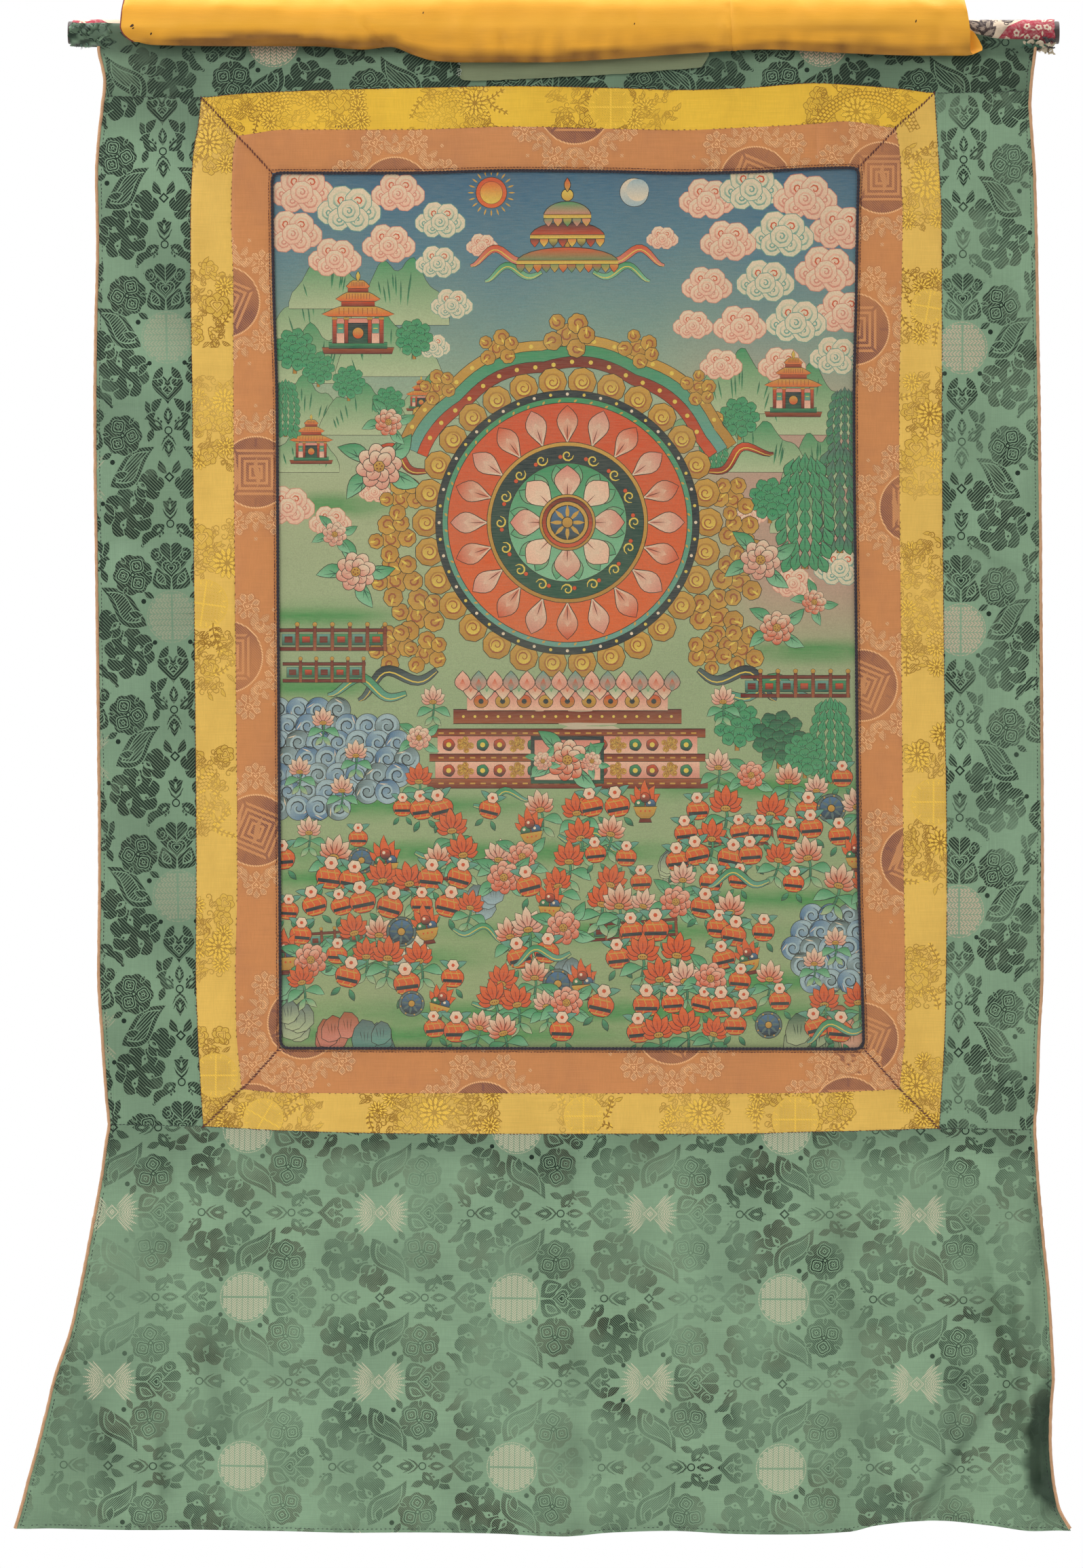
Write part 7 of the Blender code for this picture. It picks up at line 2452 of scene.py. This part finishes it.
def print_figures():
    """Return the cotton's print: red ground at both ends with pierced blossoms, grey leaves between."""
    draw = np.random.default_rng(61)
    shapes = [shape([(352, 49), (372, 22), (380, 12), (392, 3), (399, -6), (404, -17), (421, -17),
                     (421, 50)], RED_PRINT),
              shape([(-421, -14), (-400, -14), (-396, 2), (-388, 10), (-388, 40), (-421, 40)], RED_PRINT),
              shape(lens(16, 7, (-420, 0), 14), CREAM_PRINT), shape(lens(14, 6, (-404, -6), 20), CREAM_PRINT)]
    for x, y, length, width, turn in ((346, 4, 20, 11, 38), (352, 12, 18, 10, 8), (358, -2, 18, 10, 60),
                                      (366, 3, 16, 9, 100), (372, -6, 17, 8, 40), (356, 20, 16, 9, -30),
                                      (374, 6, 13, 7, -20), (384, -4, 12, 6, 20), (340, 20, 15, 8, 0)):
        leaf = lens(length, width, (x, y), turn, bow=2.0, fat=0.45)
        shapes += [shape(leaf, GREY_PRINT), shape(shrunk(leaf, 2.6), paint(150, 138, 122)),
                   shape(curl(2.6, 1.1, 0.9, (x + 4, y + 3), turn), GREY_PRINT)]
    for x in np.arange(-300, 320, 26):
        leaf = lens(15, 7, (x, draw.uniform(-10, 40)), draw.uniform(0, 360), bow=1.5)
        shapes += [shape(leaf, GREY_PRINT if draw.uniform() < 0.5 else RED_PRINT)]
    places = [(402, 2), (411, 4), (396, 12), (387, 18), (406, 13), (379, 24), (396, 22), (413, 13), (404, -8),
              (404, 22), (388, 29), (414, -4), (374, 30), (366, 40), (-396, 22), (-412, 8), (-404, 26),
              (-415, 20)]
    for x, y in places:
        turn = draw.uniform(0, 360)
        blossom = ring(3.5, 20, (x, y), squash=0.8, turn=turn, lobes=5, depth=0.3)
        shapes += [shape(blossom, CREAM_PRINT), shape(ring(1.2, 8, (x, y), turn=turn), RED_PRINT)]
        shapes.append(shape(lens(4.6, 1.7, (x + 3, y + 3), turn + 60), CREAM_PRINT))
    return shapes


def print_ground(across, around):
    return np.repeat([CREAM_PRINT], len(across), 0)


def cotton_surface(across, around):
    """Return the cotton's surface: around runs over the top and down the front."""
    rucked = 0.3 * ease((np.abs(across) - 380) / 30) * np.sin(across * 0.5 + around * 0.25)
    radius = COTTON_RADIUS + 0.22 * waves(across, around * 2, 26, 62) + rucked
    angle = around / COTTON_RADIUS
    return np.stack([across, -radius * np.sin(angle), radius * np.cos(angle)], 1) * MM


def wrap_twist(across, around):
    """Return the height of the folds in the twisted wrap."""
    return np.sin(around * 0.42 + across * 0.34) + 0.6 * np.sin(around * 0.8 - across * 0.55 + 1)


def wrap_painted_shade(across, around):
    """Return painted shade: the whole wrap darker, and darker still in its twisted folds."""
    shade = np.clip(0.86 - 0.3 * wrap_twist(across, around), 0.45, 0.97)
    return np.stack([0 * shade, shade, 0 * shade, 0 * shade], 1)


def wrap_surface(across, around):
    """Return the brocade wrapped and twisted round the rod's left end."""
    radius = COTTON_RADIUS + 1.5 + 0.55 * wrap_twist(across, around) + 0.3 * waves(across, around, 6, 65)
    radius = radius + 1.0 * ease((across + 396) / 16) * np.exp(-((around - 26) / 12) ** 2)
    angle = around / (COTTON_RADIUS + 1.5)
    return np.stack([across, -radius * np.sin(angle), radius * np.cos(angle)], 1) * MM


class SCROLL_OT_rod(bpy.types.Operator):
    """Turn the wooden rod, sew the printed cotton round it and leave its ends frayed"""
    bl_idname = "scroll.rod"
    bl_label = "Rod and printed cotton"

    def execute(self, context):
        _, colours = scroll()
        bpy.ops.object.select_all(action="DESELECT")
        bpy.ops.mesh.primitive_cylinder_add(
            vertices=48, radius=(ROD_RADIUS - 0.05) * MM, depth=(ROD_RIGHT - ROD_LEFT) * MM,
            location=((ROD_LEFT + ROD_RIGHT) / 2 * MM, 0, 0), rotation=(0, math.radians(90), 0))
        rod = context.object
        rod.name = rod.data.name = "rod_turned"
        bpy.ops.object.mode_set(mode="EDIT")
        bpy.ops.mesh.select_mode(type="FACE")
        bpy.ops.mesh.select_all(action="DESELECT")
        bpy.ops.mesh.select_face_by_sides(number=48, type="EQUAL")
        bpy.ops.mesh.inset(thickness=0.0011, depth=0.0)
        bpy.ops.mesh.inset(thickness=0.0035, depth=-0.0003)
        bpy.ops.mesh.select_all(action="DESELECT")
        bpy.ops.object.mode_set(mode="OBJECT")
        bevel = rod.modifiers.new("worn_ends", "BEVEL")
        bevel.width, bevel.segments, bevel.limit_method = 0.0009, 3, "ANGLE"
        bpy.ops.object.modifier_apply(modifier=bevel.name)
        bpy.ops.object.transform_apply(location=True, rotation=True, scale=True)
        bpy.ops.object.shade_smooth_by_angle(angle=math.radians(35))
        rod.data.materials.append(finish_for("rod_wood_grain", dark_wood, tuple(colours.wood)))
        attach(rod, "root")
        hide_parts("rod")

        half = math.pi * COTTON_RADIUS
        low, high = half / 2 - half + 0.2, half / 2 + half - 0.2
        around = np.linspace(low, high, 24)
        across = np.linspace(COTTON_LEFT, COTTON_RIGHT, 170)
        left = np.stack([COTTON_LEFT + 0.7 * (1 + waves(around, around, 7, 63)), around], 1)
        right = np.stack([COTTON_RIGHT - 0.7 * (1 + waves(around, around, 7, 64)), around], 1)
        outline = closed(np.stack([across, across * 0 + low], 1)[2:-2], right,
                         np.stack([across, across * 0 + high], 1)[2:-2][::-1], left[::-1])
        front, back = finish_for("printed_cotton_front", printed), finish_for(
            "printed_cotton_back", plain_cloth, srgb(170, 130, 120))
        cotton = make_sheet("rod_cotton_print", outline, touching(print_figures(), outline), cotton_surface,
                            [front, back], cell=4.0, thickness=0.8, ground=print_ground, dip=0.1, pucker=0.2,
                            back_cell=7.0)
        declare_cloth(outline, "rod_cotton", ["rod_turned"])
        self.wrap()
        self.crumple()
        self.fray()
        return {"FINISHED"}

    @staticmethod
    def wrap():
        """Twist the header's spare brocade round the rod's left end."""
        sizes, _ = scroll()
        around = np.linspace(WRAP_UPPER, WRAP_LOWER, 24)
        left = np.stack([-424.0 + 0.8 * (1 + waves(around, around, 6, 66))
                         + 0.06 * np.abs(around - 20), around], 1)
        right = np.stack([-386.0 - 0.55 * np.abs(around - 20), around], 1)
        across = np.linspace(-422.0, -392.0, 22)
        outline = closed(np.stack([across, WRAP_UPPER + 0.8 * waves(across, across, 8, 67)], 1), right,
                         np.stack([across, across * 0 + WRAP_LOWER], 1)[::-1], left[::-1])
        figures = touching(LEFT_LAY.figures(outline + (0, 300)), outline)
        wrap = make_sheet("header_end_wrap", outline, figures, wrap_surface,
                          green_silk("wrap", sizes.hatch_pitch), cell=2.4, thickness=0.8,
                          ground=wrap_painted_shade, dip=0.2, pucker=0.25, back_cell=4.0)
        size = (outline.max(0) - outline.min(0)) * MM
        float(min(area_of(outline), size[0] * size[1]))

    @staticmethod
    def crumple():
        """Crumple the cotton's and the brocade's raw edges under the rod's right end."""
        t = np.linspace(0, 1, 26)
        parts = []
        for start, stop, drop, forward, radius, seed, kind in (
                (392, 420.5, 9.6, 9.6, 1.9, 81, 0), (399, 420, 12.2, 8.2, 1.6, 82, 1),
                (390, 412, 11.6, 10.4, 1.5, 83, 2), (402, 418.5, 14.6, 7.6, 1.3, 84, 0),
                (396, 408, 13.6, 9.6, 1.2, 85, 1), (409, 420, 6.6, 10.4, 1.3, 86, 1),
                (411, 420.5, 17.0, 6.8, 1.0, 87, 0)):
            bend = waves(t * 60, t * 0, 13, seed)
            route = np.stack([start + (stop - start) * t, -forward + 0.8 * bend,
                              -drop - 1.5 * waves(t * 60, t * 0, 17, seed + 9) - 1.2 * t], 1)
            girth = radius * np.sin(math.pi * np.clip(t * 0.94 + 0.03, 0, 1)) ** 0.4 * (
                1 + 0.3 * waves(t * 60, t * 0, 6, seed + 18))
            parts.append((*swept(route * MM, girth * MM, 8), kind))
        crumpled = join_parts("crumpled_edges", parts, [
            finish_for("crumpled_cream", plain_cloth, srgb(190, 176, 150), 0.0008, 0.9, 0.9),
            finish_for("crumpled_dark", plain_cloth, srgb(58, 56, 56), 0.0008, 0.9, 0.6),
            finish_for("crumpled_green", plain_cloth, srgb(62, 96, 76), 0.0008, 0.8, 0.6)])

    @staticmethod
    def fray():
        """Leave loose threads at both ends of the cotton and at the silk strip's torn end."""
        draw = np.random.default_rng(71)
        parts = []
        bunches = ((398, 419, 8, 6.5, 34, 8.5, (0, 1, 2)), (-421, -405, 8, 4.5, 16, 5.5, (2, 1)),
                   (-90, -86, 26, 17.0, 10, 3.2, (3,)))
        for first, last, drop, forward, count, reach, kinds in bunches:
            for _ in range(count):
                t = np.linspace(0, 1, 9)
                start = np.array([draw.uniform(first, last), -forward - draw.uniform(0, 3),
                                  -drop - draw.uniform(0, 12 if kinds == (3,) else 2)])
                bend = draw.uniform(-3, 3, 3)
                length = reach * draw.uniform(0.5, 1.0)
                if kinds == (3,):
                    lean = np.array([-1.0, -0.15, -0.4])
                else:
                    lean = np.array([draw.uniform(-0.4, 0.2), 0.1, -1])
                route = start + t[:, None] * lean * length + np.sin(t * math.pi)[:, None] * bend * 0.6
                route[:, 0] = np.clip(route[:, 0], -422.5, 420.5)
                parts.append((*swept(route * MM, 0.00028 * (1 - 0.5 * t), 5, out=(0.0, -1.0, 0.3)),
                              int(draw.choice(kinds))))
        threads = join_parts("frayed_threads", parts, [
            finish_for("fray_cream", thread_material, srgb(222, 208, 186)),
            finish_for("fray_black", thread_material, srgb(44, 40, 40)),
            finish_for("fray_green", thread_material, srgb(88, 128, 108)),
            finish_for("fray_pale", thread_material, srgb(170, 182, 164))])


class SCROLL_PT_panel(bpy.types.Panel):
    """The scroll's pieces, sizes and colours"""
    bl_idname = "SCROLL_PT_panel"
    bl_label = "Thangka scroll"
    bl_space_type = "VIEW_3D"
    bl_region_type = "UI"
    bl_category = "Scroll"

    def draw(self, context):
        for operator in OPERATORS:
            self.layout.operator(operator.bl_idname)
        for group in (context.scene.scroll_sizes, context.scene.scroll_colours):
            for name in group.bl_rna.properties.keys():
                if name not in ("rna_type", "name"):
                    self.layout.prop(group, name)


OPERATORS = [SCROLL_OT_stage, SCROLL_OT_green_panels, SCROLL_OT_yellow_border, SCROLL_OT_copper_border,
             SCROLL_OT_painting, SCROLL_OT_cords, SCROLL_OT_stitching, SCROLL_OT_silk_strip, SCROLL_OT_cover,
             SCROLL_OT_rod]
CLASSES = [ScrollSizes, ScrollColours, *OPERATORS, SCROLL_PT_panel]


def register():
    for one in CLASSES:
        bpy.utils.register_class(one)
    bpy.types.Scene.scroll_sizes = PointerProperty(type=ScrollSizes)
    bpy.types.Scene.scroll_colours = PointerProperty(type=ScrollColours)


def unregister():
    del bpy.types.Scene.scroll_colours
    del bpy.types.Scene.scroll_sizes
    for one in reversed(CLASSES):
        bpy.utils.unregister_class(one)


def main():
    register()
    for operator in OPERATORS:
        group, name = operator.bl_idname.split(".")
        getattr(getattr(bpy.ops, group), name)()


if __name__ == "__main__":
    main()
